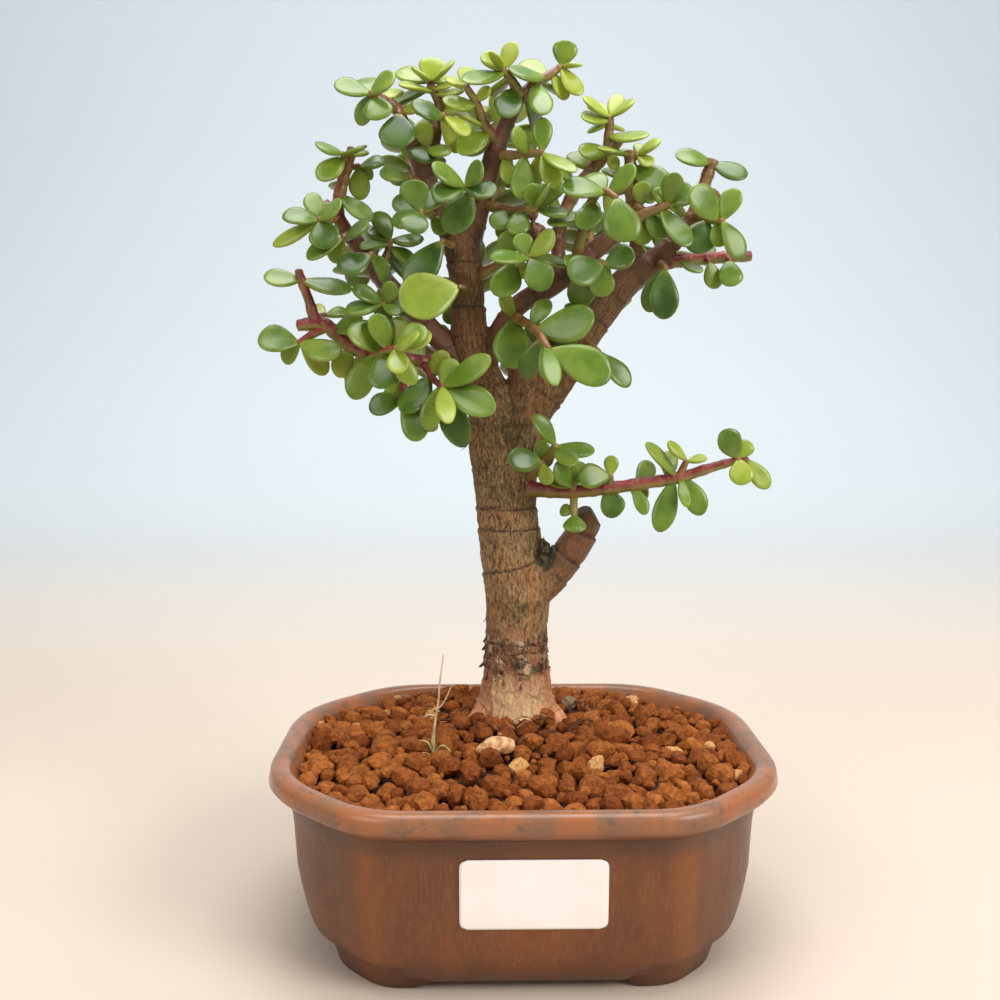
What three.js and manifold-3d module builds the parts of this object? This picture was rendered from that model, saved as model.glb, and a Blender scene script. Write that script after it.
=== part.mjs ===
// Dwarf jade bonsai (Portulacaria afra) in its glazed training pot.
// Units are millimetres. +X is to the right, +Y to the back, +Z up, and the
// pot's feet stand on z = 0 with the pot centred on the origin.
import * as THREE from 'three';
import { mergeVertices } from 'three/addons/utils/BufferGeometryUtils.js';
import Module from 'manifold-3d';

const wasm = await Module();
wasm.setup();
const { Manifold, Mesh: SolidMesh } = wasm;

// ---------------------------------------------------------------- sizes
// Heights in the tables count from a level this far above the feet's undersides.
const TABLE_LEVEL = 6.2;
const POT_HALF_LENGTH = 76;
const POT_HALF_WIDTH = 62;
const LIP_TOP = 50;
const FOOT_HEIGHT = 3;
const POT_UNDERSIDE = FOOT_HEIGHT - TABLE_LEVEL;
const POT_FLOOR_TOP = 1.8;
const CORNER_POINTS = 4;
const SIDE_BEND = 0.42;
const FRONT_BEND = 0.32;
const HOLE_RADIUS = 7;
const HOLE_X = 32;
const FIT_GAP = 0.3;
const TRUNK_X = -1;
const TRUNK_Y = 24;
const SOIL_RIM_Z = 45.5;
const SOIL_MOUND = 7;
const LEAF_THICKNESS = 2.2;
const EYE = [-12, -336, 166];

// Pot sections, from the middle of the underside, out and up the wall, over
// the rolled lip and down inside: [half length, half width, corner cut, z].
const POT_SECTIONS = [
  [56, 48.4, 17, POT_UNDERSIDE],
  [59.6, 51, 19.6, -0.8],
  [64.4, 54.2, 23, 5.8],
  [68.4, 56.4, 26, 21.8],
  [69.6, 57, 27, 39.5],
  [73.5, 60, 28.4, 42.8],
  [POT_HALF_LENGTH, POT_HALF_WIDTH, 29.5, 45.6],
  [75.6, 61.6, 29.2, 48.4],
  [73.6, 59.6, 28.4, LIP_TOP],
  [70.6, 56.6, 27.2, 49.6],
  [68.6, 54.8, 26.4, 46.5],
  [65.4, 52.8, 25, 38],
  [63.6, 51.6, 24.4, 23.8],
  [59.8, 49.6, 22.6, 8.3],
  [55, 46, 19.5, POT_FLOOR_TOP],
];

// ------------------------------------------------------------ materials
function paint(color, roughness, metalness = 0) {
  return new THREE.MeshStandardMaterial({ color, roughness, metalness });
}
const MATERIALS = {
  glaze: paint(0x6f4a30, 0.35),
  screen: paint(0x2c2f2c, 0.6),
  akadama: paint(0xa8683a, 0.95),
  bark: paint(0x7d5d40, 0.85),
  root: paint(0xc9a98b, 0.9),
  leaf: paint(0x6f9a3c, 0.35),
  dry_grass: paint(0x8f8a4a, 0.7),
  label: paint(0xf4f1ec, 0.5),
};

// ------------------------------------------------------- solid handling
function toSolid(geometry) {
  const bare = geometry.index ? geometry.toNonIndexed() : geometry;
  bare.deleteAttribute('normal');
  bare.deleteAttribute('uv');
  const welded = mergeVertices(bare, 1e-4);
  const mesh = new SolidMesh({
    numProp: 3,
    vertProperties: new Float32Array(welded.attributes.position.array),
    triVerts: new Uint32Array(welded.index.array),
  });
  return new Manifold(mesh);
}

function toGeometry(solid) {
  const mesh = solid.getMesh();
  const geometry = new THREE.BufferGeometry();
  geometry.setAttribute('position', new THREE.BufferAttribute(mesh.vertProperties, 3));
  geometry.setIndex(new THREE.BufferAttribute(mesh.triVerts, 1));
  const flat = geometry.toNonIndexed();
  flat.computeVertexNormals();
  return flat;
}

const model = new THREE.Group();
model.name = 'dwarf_jade_bonsai';

function addPart(name, solid, material) {
  const raised = solid.translate([0, 0, TABLE_LEVEL]);
  const mesh = new THREE.Mesh(toGeometry(raised), MATERIALS[material]);
  mesh.name = name;
  model.add(mesh);
}

// A closed skin through rings of equal length, with a flat cap at each end.
function skinRings(rings) {
  const count = rings[0].length;
  const vertices = [];
  const faces = [];
  for (const ring of rings) {
    for (const p of ring) vertices.push(p[0], p[1], p[2]);
  }
  for (let r = 0; r < rings.length - 1; r += 1) {
    for (let i = 0; i < count; i += 1) {
      const j = (i + 1) % count;
      const a = r * count + i;
      const b = r * count + j;
      faces.push(a, b, b + count, a, b + count, a + count);
    }
  }
  const last = (rings.length - 1) * count;
  for (let i = 1; i < count - 1; i += 1) {
    faces.push(0, i + 1, i);
    faces.push(last, last + i, last + i + 1);
  }
  const geometry = new THREE.BufferGeometry();
  geometry.setAttribute('position', new THREE.Float32BufferAttribute(vertices, 3));
  geometry.setIndex(faces);
  return geometry;
}

// Rectangle with cut corners, each of its eight bends drawn as a soft curve.
// The bends at the front and back are tighter than those at the sides.
function potOutline(halfLength, halfWidth, cut, z) {
  const a = halfLength;
  const b = halfWidth;
  const bends = [
    [a, -b + cut], [a, b - cut], [a - cut, b], [-a + cut, b],
    [-a, b - cut], [-a, -b + cut], [-a + cut, -b], [a - cut, -b],
  ];
  const ring = [];
  for (let i = 0; i < 8; i += 1) {
    const bend = new THREE.Vector2(...bends[i]);
    const before = new THREE.Vector2(...bends[(i + 7) % 8]);
    const after = new THREE.Vector2(...bends[(i + 1) % 8]);
    const share = i % 4 < 2 ? SIDE_BEND : FRONT_BEND;
    const reach = Math.min(bend.distanceTo(before), bend.distanceTo(after)) * share;
    const start = before.sub(bend).setLength(reach).add(bend);
    const end = after.sub(bend).setLength(reach).add(bend);
    const curve = new THREE.QuadraticBezierCurve(start, bend, end);
    for (const p of curve.getPoints(CORNER_POINTS - 1)) ring.push([p.x, p.y, z]);
  }
  return ring;
}

function box(sizeX, sizeY, sizeZ, x, y, z) {
  return Manifold.cube([sizeX, sizeY, sizeZ], true).translate([x, y, z]);
}

// ------------------------------------------------------------------ pot
function makePot() {
  let pot = toSolid(skinRings(POT_SECTIONS.map((s) => potOutline(...s))));
  const under = -TABLE_LEVEL;
  const outer = toSolid(skinRings([
    potOutline(55.4, 47.2, 14.4, under), potOutline(56.8, 48.6, 15.4, under + 4.8),
  ]));
  const inner = toSolid(skinRings([
    potOutline(48, 40, 12, under - 1), potOutline(48, 40, 12, under + 6),
  ]));
  let feet = outer.subtract(inner);
  feet = feet.subtract(box(56, 140, 20, 0, 0, under));
  feet = feet.subtract(box(140, 36, 20, 0, 0, under));
  pot = pot.add(feet);
  for (const side of [-1, 1]) {
    const hole = Manifold.cylinder(20, HOLE_RADIUS, HOLE_RADIUS, 16);
    pot = pot.subtract(hole.translate([side * HOLE_X, 0, under - 2]));
  }
  return pot;
}

function makeScreen(x) {
  const side = 22;
  const thickness = 0.8;
  const pitch = 4.4;
  const z = POT_FLOOR_TOP + FIT_GAP + thickness / 2;
  let screen = box(side, side, thickness, x, 0, z);
  for (let i = -1.5; i <= 1.5; i += 1) {
    for (let j = -1.5; j <= 1.5; j += 1) {
      screen = screen.subtract(box(2.8, 2.8, 4, x + i * pitch, j * pitch, z));
    }
  }
  return screen;
}

// ------------------------------------------------------- stems and bark
// A round limb through [x, y, z, radius] points, with a flat cap at each end.
function limb(points, sides, extra = 0) {
  const places = points.map((p) => new THREE.Vector3(p[0], p[1], p[2]));
  const rings = [];
  let side = null;
  places.forEach((place, i) => {
    const before = places[Math.max(i - 1, 0)];
    const after = places[Math.min(i + 1, places.length - 1)];
    const along = after.clone().sub(before).normalize();
    if (side === null) {
      const helper = Math.abs(along.y) < 0.9 ? new THREE.Vector3(0, 1, 0) : new THREE.Vector3(1, 0, 0);
      side = helper.clone().cross(along).normalize();
    }
    side.addScaledVector(along, -side.dot(along)).normalize();
    const other = along.clone().cross(side);
    const radius = points[i][3] + extra;
    const ring = [];
    for (let k = 0; k < sides; k += 1) {
      const angle = (2 * Math.PI * k) / sides;
      const p = place.clone();
      p.addScaledVector(side, radius * Math.cos(angle));
      p.addScaledVector(other, radius * Math.sin(angle));
      ring.push([p.x, p.y, p.z]);
    }
    rings.push(ring);
  });
  return toSolid(skinRings(rings));
}

// Trunk and woody branches: [x, y, z, radius] from the root end outwards.
const TRUNK_LINE = [
  [-1, 24, 36, 9], [-1, 24, 46, 13], [-1, 24, 52, 14.2], [-1, 24, 57, 12.2],
  [-1, 24, 66, 10.8], [-1, 24, 79, 10.1], [-0.5, 24, 92, 10.8], [-2.5, 24, 105, 10.4],
  [-4, 24, 119, 10], [-4.8, 23, 131, 10.5], [-6, 22, 142, 10.6], [-8.5, 21, 152, 8.4],
  [-12, 20, 162, 6.7], [-15.5, 19, 172, 6], [-16.5, 18, 182, 5.6], [-17, 18, 192, 5.4],
  [-18.5, 18, 205, 5.9],
];
const ROOTS = [
  [[-5, 22, 54, 7], [-13, 17, 50, 4.5], [-19, 13, 45, 2.5]],
  [[3, 22, 54, 7], [11, 18, 50, 4.5], [17, 13, 45, 2.5]],
  [[-5, 26, 54, 7], [-13, 33, 49, 4], [-18, 38, 44, 2.5]],
  [[3, 26, 54, 7], [11, 32, 49, 4.5], [18, 37, 44, 2.5]],
  [[0, 20, 53, 7], [1, 11, 49, 4], [2, 5, 44.5, 2.5]],
];
const WOODY_BRANCHES = [
  // cut stub low on the right
  [[-1, 24, 90, 8], [9, 23, 97, 6.8], [15, 21.5, 104, 5.8], [20, 20.5, 111.5, 5.4], [23.4, 20, 120.8, 4.7]],
  // thick right branch
  [[-3, 22, 141, 8.4], [4, 21, 152, 6.7], [12, 20, 163, 6.2], [19, 19, 174, 5.5],
    [26, 18, 184, 5.1], [33.5, 17, 193, 4.9], [41.5, 16, 199, 4.4]],
  [[38, 16.4, 196.5, 3.8], [48, 15.5, 205, 2.9], [52, 15.2, 210, 2.6]],
  [[38, 16.4, 197.8, 3], [49, 16, 199.4, 2.3]],
  // left fork of the leader, then its inner arm
  [[-18.5, 18, 203, 5.2], [-24, 18, 212, 3.5], [-28, 18, 221, 3.2], [-31, 18, 229, 3.2],
    [-34.5, 17.5, 237, 2.3], [-36.5, 17, 242, 1.9]],
  [[-30, 18, 226, 2.8], [-27.3, 18, 234, 2.1], [-26, 18, 241, 1.8]],
  // right fork of the leader
  [[-18, 18, 203, 5.3], [-14, 18, 213, 3.8], [-11, 18, 222, 3.2], [-8.5, 18, 231, 3.3],
    [-5, 18, 240, 2.6], [-1.5, 18, 247, 2.2], [0.8, 18, 251, 2]],
  // left branch
  [[-13, 20, 163, 4.6], [-22, 18.5, 171, 3.8], [-31, 17, 181, 3.4], [-39, 16, 189, 3.2],
    [-45, 15.2, 196, 3], [-50, 15, 203, 2.7], [-56, 15, 210, 2.3]],
  // branch crossing in front of the fork, to the right
  [[-11, 19, 164, 3.2], [-8.4, 17.5, 174, 3.2], [-4.4, 16, 181, 3.3], [0.4, 15, 186.4, 3.3],
    [9, 14, 191, 3.3], [17, 13.2, 197.2, 3.3], [24.5, 12.6, 203.6, 3], [30, 12.5, 208, 2.4]],
  // web of wood that closes the crotch under the leader
  [[0, 21, 138, 9], [1, 20.5, 148, 7.5], [1.6, 20, 158, 6], [1, 20, 168, 4.8], [-1, 19.6, 176, 3.4]],
];

// Leafy shoots. stems: [x, y, z, radius] points, the first one inside the
// branch that the shoot grows from. leaves: [stem, place along it from 0 to 1,
// tip x, tip y, tip z, width, face], where face 0 turns the leaf's upper side
// to the sky and face 90 turns it to the front. reach, one value per stem,
// carries the stem's end and its leaves that far forward along the line from
// the viewing point EYE, so the crown gets its depth and keeps its outline.
const SHOOTS = [
  {
    name: 'low_right_shoot',
    stems: [
      [[-1, 21, 127, 3], [8, 15, 127, 2.4], [16, 12.5, 126.8, 2.2], [28, 11, 128, 2],
        [40, 10, 129.8, 1.9], [50, 9.5, 131.5, 1.8], [58.5, 9, 134.2, 1.6], [66, 9, 136.4, 1.3],
        [72, 9, 137.6, 1]],
      [[17, 12.5, 126.5, 1.4], [17, 11.5, 121, 1.2], [17, 9.5, 119, 0.9]],
      [[28.5, 11, 128, 1.3], [28.3, 9, 132.6, 0.9]],
      [[50, 9.5, 131.5, 1.4], [51.4, 8.5, 135.3, 1.1], [52.4, 8, 137.5, 0.8]],
      [[16, 12.5, 127, 1.4], [17, 9.5, 129, 1]],
      [[67, 9, 136.8, 1.2], [69, 7.3, 138, 0.9]],
    ],
    leaves: [
      [4, 1, 11, 8, 136.8, 8, 50], [4, 1, 9, 12, 131.5, 6, 55], [1, 1, 17, 4.5, 114.6, 7.5, 55],
      [1, 0.7, 12.5, 13, 120.5, 4.5, 60], [2, 1, 18, 6, 131.2, 8.5, 70],
      [2, 1, 28.7, 10, 138.6, 4.8, 70], [0, 0.4, 29.3, 7, 119.2, 8, 80],
      [0, 0.51, 39.2, 7, 119.8, 4.8, 60], [0, 0.53, 42.5, 16, 135.6, 6.5, 75],
      [0, 0.56, 37.6, 15, 124.6, 6, 75], [0, 0.7, 38.8, 5, 142.8, 7, 35],
      [0, 0.68, 43, 4.5, 114.8, 7.6, 60], [3, 1, 46.4, 7, 143.4, 4.6, 40],
      [3, 1, 58.4, 7, 138, 4.5, 25], [0, 0.71, 51.4, 5, 124, 4, 50], [0, 0.72, 57, 6, 120, 7.6, 70],
      [5, 1, 62.8, 5.5, 146.6, 8.4, 70], [5, 0.9, 71.6, 11, 143.4, 6, 60],
      [5, 1, 68.6, 3.5, 129.8, 8, 80], [0, 1, 77.8, 7, 128.2, 6.5, 65],
      [0, 0.66, 48, 5, 139.8, 6, 30], [4, 0.85, 19.4, 14, 136.5, 6, 55],
    ],
  },
  {
    name: 'low_left_shoot',
    reach: [0, 0, 0, 14, 8, 12, -8],
    stems: [
      [[-11, 20, 159, 3.2], [-20, 17, 164.5, 2.4], [-32, 14.5, 168, 2.2], [-46, 12.5, 169.5, 2.2],
        [-54, 12, 173.2, 2.1], [-60, 12, 178.6, 2.1], [-64, 12, 181, 1.9], [-66, 12, 187, 1.5],
        [-68.5, 12, 194, 1.4], [-69, 12, 196.6, 1.2]],
      [[-61, 12, 179.2, 2], [-65, 11.6, 179.6, 2], [-70, 11, 179, 1.8]],
      [[-60, 12, 178.6, 1.4], [-65.5, 10.5, 176, 1.2], [-69.3, 9.5, 173.4, 0.9]],
      [[-47, 12.5, 169.8, 1.5], [-43, 9, 171, 1.2], [-38.5, 6, 172, 0.9]],
      [[-37, 14, 168.5, 1.4], [-36.5, 9.5, 160, 1.1], [-37.3, 8, 153.5, 0.8]],
      [[-31, 14.7, 167.7, 1.4], [-28, 11.5, 163, 1.1], [-24.3, 9, 160, 0.9]],
      [[-64, 12, 181.3, 1.3], [-61.5, 15.5, 182.6, 0.9]],
    ],
    leaves: [
      [0, 0.955, -79.6, 10.5, 194.2, 8, 46], [0, 0.955, -52.4, 9.5, 188.8, 9, 35],
      [2, 1, -81.4, 8, 175, 10.6, 55], [2, 1, -55.6, 5.5, 171.2, 9, 55],
      [2, 0.9, -61, 14, 164, 7, 60], [3, 0.5, -53, 5, 178.2, 9.5, 60],
      [3, 0.7, -45.4, 9.5, 182.5, 7.6, 65], [3, 1, -29.5, 5, 178.4, 9, 50],
      [3, 1, -31.6, 0, 175.4, 6.8, 60], [3, 1, -37, -1.5, 164.6, 7, 75],
      [3, 0.55, -42.6, 1.5, 159.2, 10.5, 80], [3, 0.9, -32.8, 4.5, 161, 6.5, 60],
      [3, 0.2, -52.4, 6, 156.6, 9, 75], [0, 0.5, -57.2, 10, 162.8, 7, 60],
      [4, 0.45, -40.5, 4, 154.4, 8.4, 75], [4, 0.8, -47.5, 8, 153.4, 8, 60],
      [4, 1, -31, 5, 143.6, 8.8, 80], [4, 0.95, -26.6, 10, 146.8, 6.5, 60],
      [5, 1, -21, 9.5, 168.8, 6.8, 60], [5, 1, -9.8, 6, 169.4, 8.5, 55],
      [5, 1, -8.4, 2, 152.4, 10, 65], [5, 0.95, -22.3, 3.5, 151, 6.2, 70],
      [5, 0.85, -17.6, 7.5, 141.4, 9, 80], [5, 0.45, -36.6, 5, 153, 8.8, 70],
      [5, 0.2, -23.2, 15, 168.4, 7, 50], [6, 1, -54, 16, 183.4, 7, 30],
      [6, 1, -67, 19.5, 185, 6, 40], [5, 0.9, -29.3, 12, 147.5, 7, 75],
      [0, 0.45, -55.7, 9, 163.2, 7, 75], [0, 0.5, -49, 10, 182, 8, 60],
      [2, 0.95, -74.2, 12, 167.5, 6, 70], [3, 0.9, -27.5, 5, 176, 8, 50],
      [3, 0.6, -35.8, 6, 181.2, 8, 60], [5, 0.5, -22.8, 10, 170.9, 7, 50],
      [0, 0.7, -49.3, 9, 181.3, 8, 55], [0, 0.6, -57, 9, 163.2, 7, 75],
      [0, 0.3, -35.7, 18, 174.8, 8, 50],
    ],
  },
  {
    name: 'right_stub_shoot',
    stems: [
      [[47, 16, 199.2, 2.2], [60, 16, 200.3, 1.9], [73, 16, 201, 1.6]],
      [[58, 16, 200, 1.3], [59, 12.8, 198.8, 0.9]],
      [[65, 16, 200.6, 1.3], [65.3, 12.8, 199.2, 0.9]],
    ],
    leaves: [
      [1, 1, 61.4, 9, 190.6, 6.5, 50], [2, 1, 64.6, 9, 191.4, 8, 75],
      [0, 0.16, 53.6, 11, 193.4, 5, 45], [0, 0.5, 58, 25, 207, 7, 40],
    ],
  },
  {
    name: 'right_hanging_leaves',
    reach: [6],
    stems: [[[43.5, 16, 199, 1.7], [45, 11.5, 196.6, 1]]],
    leaves: [[0, 1, 44.2, 8, 181.2, 9.5, 80], [0, 0.9, 39.8, 11.5, 183.4, 7.5, 65]],
  },
  {
    name: 'upper_right_shoot',
    reach: [0, 0, 10],
    stems: [
      [[50.5, 15.3, 208, 2.6], [54, 15, 213, 2.5], [57, 15, 222, 2], [59.7, 15, 230.6, 1.8]],
      [[55.5, 15, 215, 2], [61.6, 14, 220.3, 2]],
      [[53.5, 15, 213.5, 1.5], [58.5, 12, 211.5, 1.2], [62.3, 10, 211, 0.9]],
    ],
    leaves: [
      [0, 0.96, 48.2, 11, 232, 8, 50], [0, 0.94, 69.8, 11.5, 224.7, 8, 50],
      [2, 0.9, 51.4, 6, 220, 10, 70], [2, 1, 66.4, 11, 221, 6.8, 50],
      [2, 1, 67.8, 7.5, 199.2, 7.5, 50], [2, 0.5, 52.6, 7.5, 201.2, 10, 75],
      [2, 0.8, 61, 17, 203, 6, 50],
    ],
  },
  {
    name: 'upright_shoot',
    stems: [
      [[35, 17, 195, 2.6], [36.5, 17.2, 206, 2.1], [35, 17, 216, 2], [34.5, 16.5, 225, 1.9],
        [33.8, 16, 233.4, 1.7]],
      [[34.2, 16.2, 230, 1.2], [36.6, 15, 231.8, 0.8]],
    ],
    leaves: [
      [0, 0.78, 42.2, 8.5, 215.6, 7.4, 40], [0, 0.87, 45.2, 9.5, 221.2, 9.6, 65],
      [1, 1, 42.8, 12, 235.8, 5.5, 40], [0, 0.96, 23.6, 10, 233.3, 7, 25],
      [1, 1, 37, 10.5, 236.4, 3.2, 60], [0, 0.7, 30, 24, 222, 8, 50],
      [0, 0.75, 27.2, 22, 231, 7, 40], [1, 1, 40.3, 12, 227.5, 5, 60],
      [0, 0.97, 31.2, 17, 237.1, 4, 45], [0, 0.5, 41.8, 20, 210.7, 7, 50],
    ],
  },
  {
    name: 'rear_right_shoot',
    stems: [
      [[12.6, 13.8, 194, 2.4], [12, 19, 206, 2.2], [15, 21.5, 217, 2.1], [21, 21.5, 226, 2.1],
        [27, 20, 233, 1.9], [31.3, 19, 237.6, 1.9]],
      [[27, 20, 233, 1.5], [27.7, 19, 239, 1.4], [28, 18.5, 244.4, 1.1]],
    ],
    leaves: [
      [1, 1, 19.4, 15, 249.3, 6, 40], [1, 1, 31.6, 17.5, 251.8, 5.5, 60],
      [1, 1, 34.6, 14, 248.2, 6, 40], [1, 0.85, 18.6, 14, 242, 7.5, 45],
      [1, 0.8, 21, 22, 240.6, 7, 30], [1, 0.45, 37.8, 14, 235.4, 8, 45],
      [0, 0.9, 18.2, 15, 232.3, 8, 55], [0, 0.6, 10.5, 17, 229.8, 7, 40],
      [0, 0.6, 24, 30, 222, 8, 50], [0, 0.4, 6, 20, 222, 7, 50], [1, 0.7, 32, 28, 243, 7, 50],
      [0, 0.75, 15.4, 25, 234, 7, 50], [1, 1, 21.5, 17, 249.1, 5, 45],
      [0, 0.9, 30.5, 17, 225.3, 6, 60], [0, 0.35, 8.5, 26, 208.8, 7, 55],
    ],
  },
  {
    name: 'inner_right_shoot',
    reach: [6, 2],
    stems: [
      [[28, 12.5, 206.2, 2.3], [33, 11.5, 209.8, 2], [38, 11.3, 213, 1.8], [46, 10.4, 216.2, 1.1]],
      [[34, 11.4, 211, 1.7], [37.2, 10.8, 216, 1.8]],
    ],
    leaves: [
      [0, 0.5, 38, 6.5, 203.6, 7, 75], [0, 0.62, 44.4, 8.5, 206, 7.4, 55],
      [0, 0.85, 50.4, 6.5, 202.4, 7.8, 50], [0, 1, 52, 9, 221.6, 9.4, 60],
      [0, 0.95, 47, 18, 226, 8, 60], [0, 1, 51.4, 12, 213.9, 6, 50],
      [0, 0.9, 41.7, 14, 221.2, 5, 45], [1, 0.9, 37.3, 16, 222.4, 6, 50],
    ],
  },
  {
    name: 'inner_rising_shoot',
    reach: [12],
    stems: [
      [[17, 13.2, 197.6, 2], [19, 12, 208, 1.6], [22, 11, 217.5, 1.3], [25.6, 9, 219.6, 1.1],
        [29.2, 7, 217.3, 0.9]],
    ],
    leaves: [
      [0, 0.82, 12.8, 5, 221, 9.6, 50], [0, 0.84, 34.4, 4.5, 226.3, 8, 50],
      [0, 0.8, 21.4, 14, 226.5, 7.5, 60], [0, 1, 32.2, 1.5, 204.2, 11.4, 85],
      [0, 0.62, 18.4, 6, 207.4, 8.5, 55], [0, 0.5, 8, 7, 210, 7.4, 35],
      [0, 0.8, 28.1, 12, 213.3, 5, 70], [0, 0.65, 25.3, 14, 212.6, 5, 60],
    ],
  },
  {
    name: 'inner_front_shoot',
    reach: [8],
    stems: [
      [[19.6, 13, 199.4, 1.8], [22.5, 8.5, 198, 1.2], [25.4, 6, 197.4, 0.9]],
    ],
    leaves: [
      [0, 1, 34.2, 3.5, 200.6, 9, 60], [0, 1, 14, 1.5, 193, 10.4, 75],
      [0, 0.95, 24, 5, 187.6, 8, 60], [0, 0.7, 16.5, 11, 184.8, 9, 80],
      [0, 0.4, 13, 15, 197.1, 7, 55],
    ],
  },
  {
    name: 'centre_shoot',
    reach: [16],
    stems: [
      [[-3, 15.6, 182.4, 2], [2, 10, 179.5, 1.4], [5.3, 7.5, 176.6, 1.2], [8.8, 7, 171.4, 0.9]],
    ],
    leaves: [
      [0, 0.08, -2.6, 4, 166.6, 11.8, 80], [0, 0.62, 22, 3, 182, 12.4, 65],
      [0, 0.66, 18.6, 0, 170, 8.5, 45], [0, 1, 27, 2.5, 162.5, 12, 70],
      [0, 0.9, 9.6, 3.5, 161.4, 5.5, 60], [0, 0.8, 0.5, 9, 162.6, 7, 60],
      [0, 0.5, 8.6, 10, 187.2, 6, 60], [0, 0.12, -8.4, 12, 191.9, 7, 75],
      [0, 0.85, 8.3, 8, 161.9, 6, 75],
    ],
  },
  {
    name: 'right_branch_sprig',
    reach: [8],
    stems: [[[19.5, 19, 174.5, 1.8], [22.5, 13, 172.4, 1.2], [24.6, 10.5, 170.6, 0.9]]],
    leaves: [[0, 1, 34, 8.5, 160.4, 7.6, 45], [0, 0.9, 31, 20, 163, 7, 50]],
  },
  {
    name: 'mid_shoot',
    reach: [10],
    stems: [[[-15, 18, 194, 2], [-5, 14, 198.6, 1.4], [3, 10.5, 200.3, 1]]],
    leaves: [
      [0, 1, 9.8, 8, 207.8, 7.4, 50], [0, 0.95, -0.5, 11.5, 207.4, 6.5, 60],
      [0, 1, -9.6, 6, 199, 8, 38], [0, 1, 6.8, 5, 190.4, 9.4, 80],
      [0, 0.7, -7.6, 7.5, 187.8, 9.4, 75], [0, 1, 15.4, 8, 199, 7, 40],
      [0, 0.6, -3.4, 11, 208.5, 7, 60], [0, 0.8, 0.8, 17, 193.2, 6, 75],
    ],
  },
  // dried flower head on its thin stalk
  {
    name: 'dried_flower_sprig',
    stems: [[[8, 14.2, 190.6, 1.3], [5.6, 12, 199, 0.9], [4.2, 10.5, 206, 0.9], [3.6, 10, 211, 0.8]]],
    leaves: [
      [0, 0.95, 2.6, 8.5, 203.4, 4.5, 75], [0, 1, 0.2, 8.5, 206.8, 4, 60],
      [0, 1, 6.6, 8, 206, 4, 60], [0, 1, 3.4, 9, 215.6, 4, 60],
    ],
  },
  {
    name: 'mid_upper_shoot',
    reach: [8],
    stems: [[[-12, 18, 217, 1.8], [-3, 14.5, 214.6, 1.3], [5.3, 11.5, 214.7, 1]]],
    leaves: [
      [0, 1, 2.3, 9, 221.8, 7, 65], [0, 1, 14.6, 8, 213.2, 7.2, 32],
      [0, 0.7, -2, 8, 206.8, 7.6, 60], [0, 0.5, -8.5, 11, 209, 7, 60],
      [0, 0.95, 8, 16, 220.5, 7, 50], [0, 1, 13.3, 13, 224.2, 7, 55],
      [0, 0.6, -9.6, 11, 204.3, 7, 75],
    ],
  },
  {
    name: 'right_fork_shoot',
    reach: [6],
    stems: [[[-8, 18, 231.5, 1.8], [0, 15, 231.6, 1.3], [7, 12.5, 231.8, 1]]],
    leaves: [
      [0, 0.7, -2.8, 9, 238, 6.6, 60], [0, 1, 6.8, 12, 242.8, 6.4, 50],
      [0, 1, 15.8, 9, 224.3, 6.2, 35], [0, 0.6, 0, 9, 216.8, 7.6, 80], [0, 0.8, 1, 18, 240, 6, 50],
      [0, 0.9, 5, 19, 223.5, 6, 50], [0, 0.2, -3.4, 13, 222.4, 5.5, 75],
      [0, 1, 10.7, 12, 220.2, 7, 60],
    ],
  },
  {
    name: 'crest_right_shoot',
    reach: [-4, 6],
    stems: [
      [[0, 18, 249.5, 1.9], [4, 17.8, 253.4, 1.5], [9, 17.3, 256, 1.3], [13, 16.5, 258.7, 1]],
      [[0, 18, 249.5, 1.9], [-3, 17.4, 254.6, 1.3], [-6.2, 16.5, 257.6, 1]],
    ],
    leaves: [
      [0, 1, 14.4, 16.5, 266.2, 8, 65], [0, 1, 18.6, 14, 258.8, 4.6, 15],
      [0, 0.75, 14.4, 11, 248.7, 6.2, 45], [0, 0.95, 18.2, 13.5, 248.9, 6.4, 50],
      [0, 0.65, 0, 21, 261.2, 7.5, 50], [0, 0.6, -3.6, 10, 255, 8.6, 50],
      [0, 0.35, 6.4, 10.5, 242.3, 7.6, 80], [1, 1, -2, 15, 265, 5.8, 60],
      [1, 1, -12, 14, 261, 6.4, 60], [1, 0.85, -17.4, 9.5, 250.4, 8.4, 45],
      [1, 1, -9, 11, 260, 4.6, 45], [1, 0.3, -5.4, 9, 241.6, 8.8, 85], [0, 0.5, 12, 26, 253, 8, 40],
      [1, 0.7, -8, 26, 252, 8, 40], [0, 0.12, 7.7, 20, 243.1, 8.6, 75],
    ],
  },
  {
    name: 'red_spur_shoot',
    reach: [8],
    stems: [[[-7, 18, 235, 2], [-11, 16.5, 240.5, 1.5], [-14, 16, 247.5, 1.3], [-17.5, 15, 252.6, 0.9]]],
    leaves: [
      [0, 1, -17.2, 17, 261.2, 6.4, 70], [0, 0.66, -23.5, 10.5, 247.4, 7.6, 50],
      [0, 0.5, -12.5, 23, 248, 6.5, 50], [0, 0.25, -19, 9, 230.8, 8.4, 60],
      [0, 0.35, -20.2, 12, 244, 6.4, 30], [0, 0.2, -19.6, 23, 235.7, 8, 60],
      [0, 0.95, -23, 13, 253.3, 5, 40], [0, 0.72, -9.6, 12, 251.6, 5, 50],
    ],
  },
  {
    name: 'crest_left_shoot',
    reach: [-4, 8],
    stems: [
      [[-26, 18, 239.5, 1.8], [-25.2, 18, 247, 1.5], [-27.6, 16, 252, 1.2], [-28.2, 15.5, 254, 0.9]],
      [[-25.6, 18, 243, 1.2], [-23.6, 13.5, 243, 0.9]],
    ],
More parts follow.
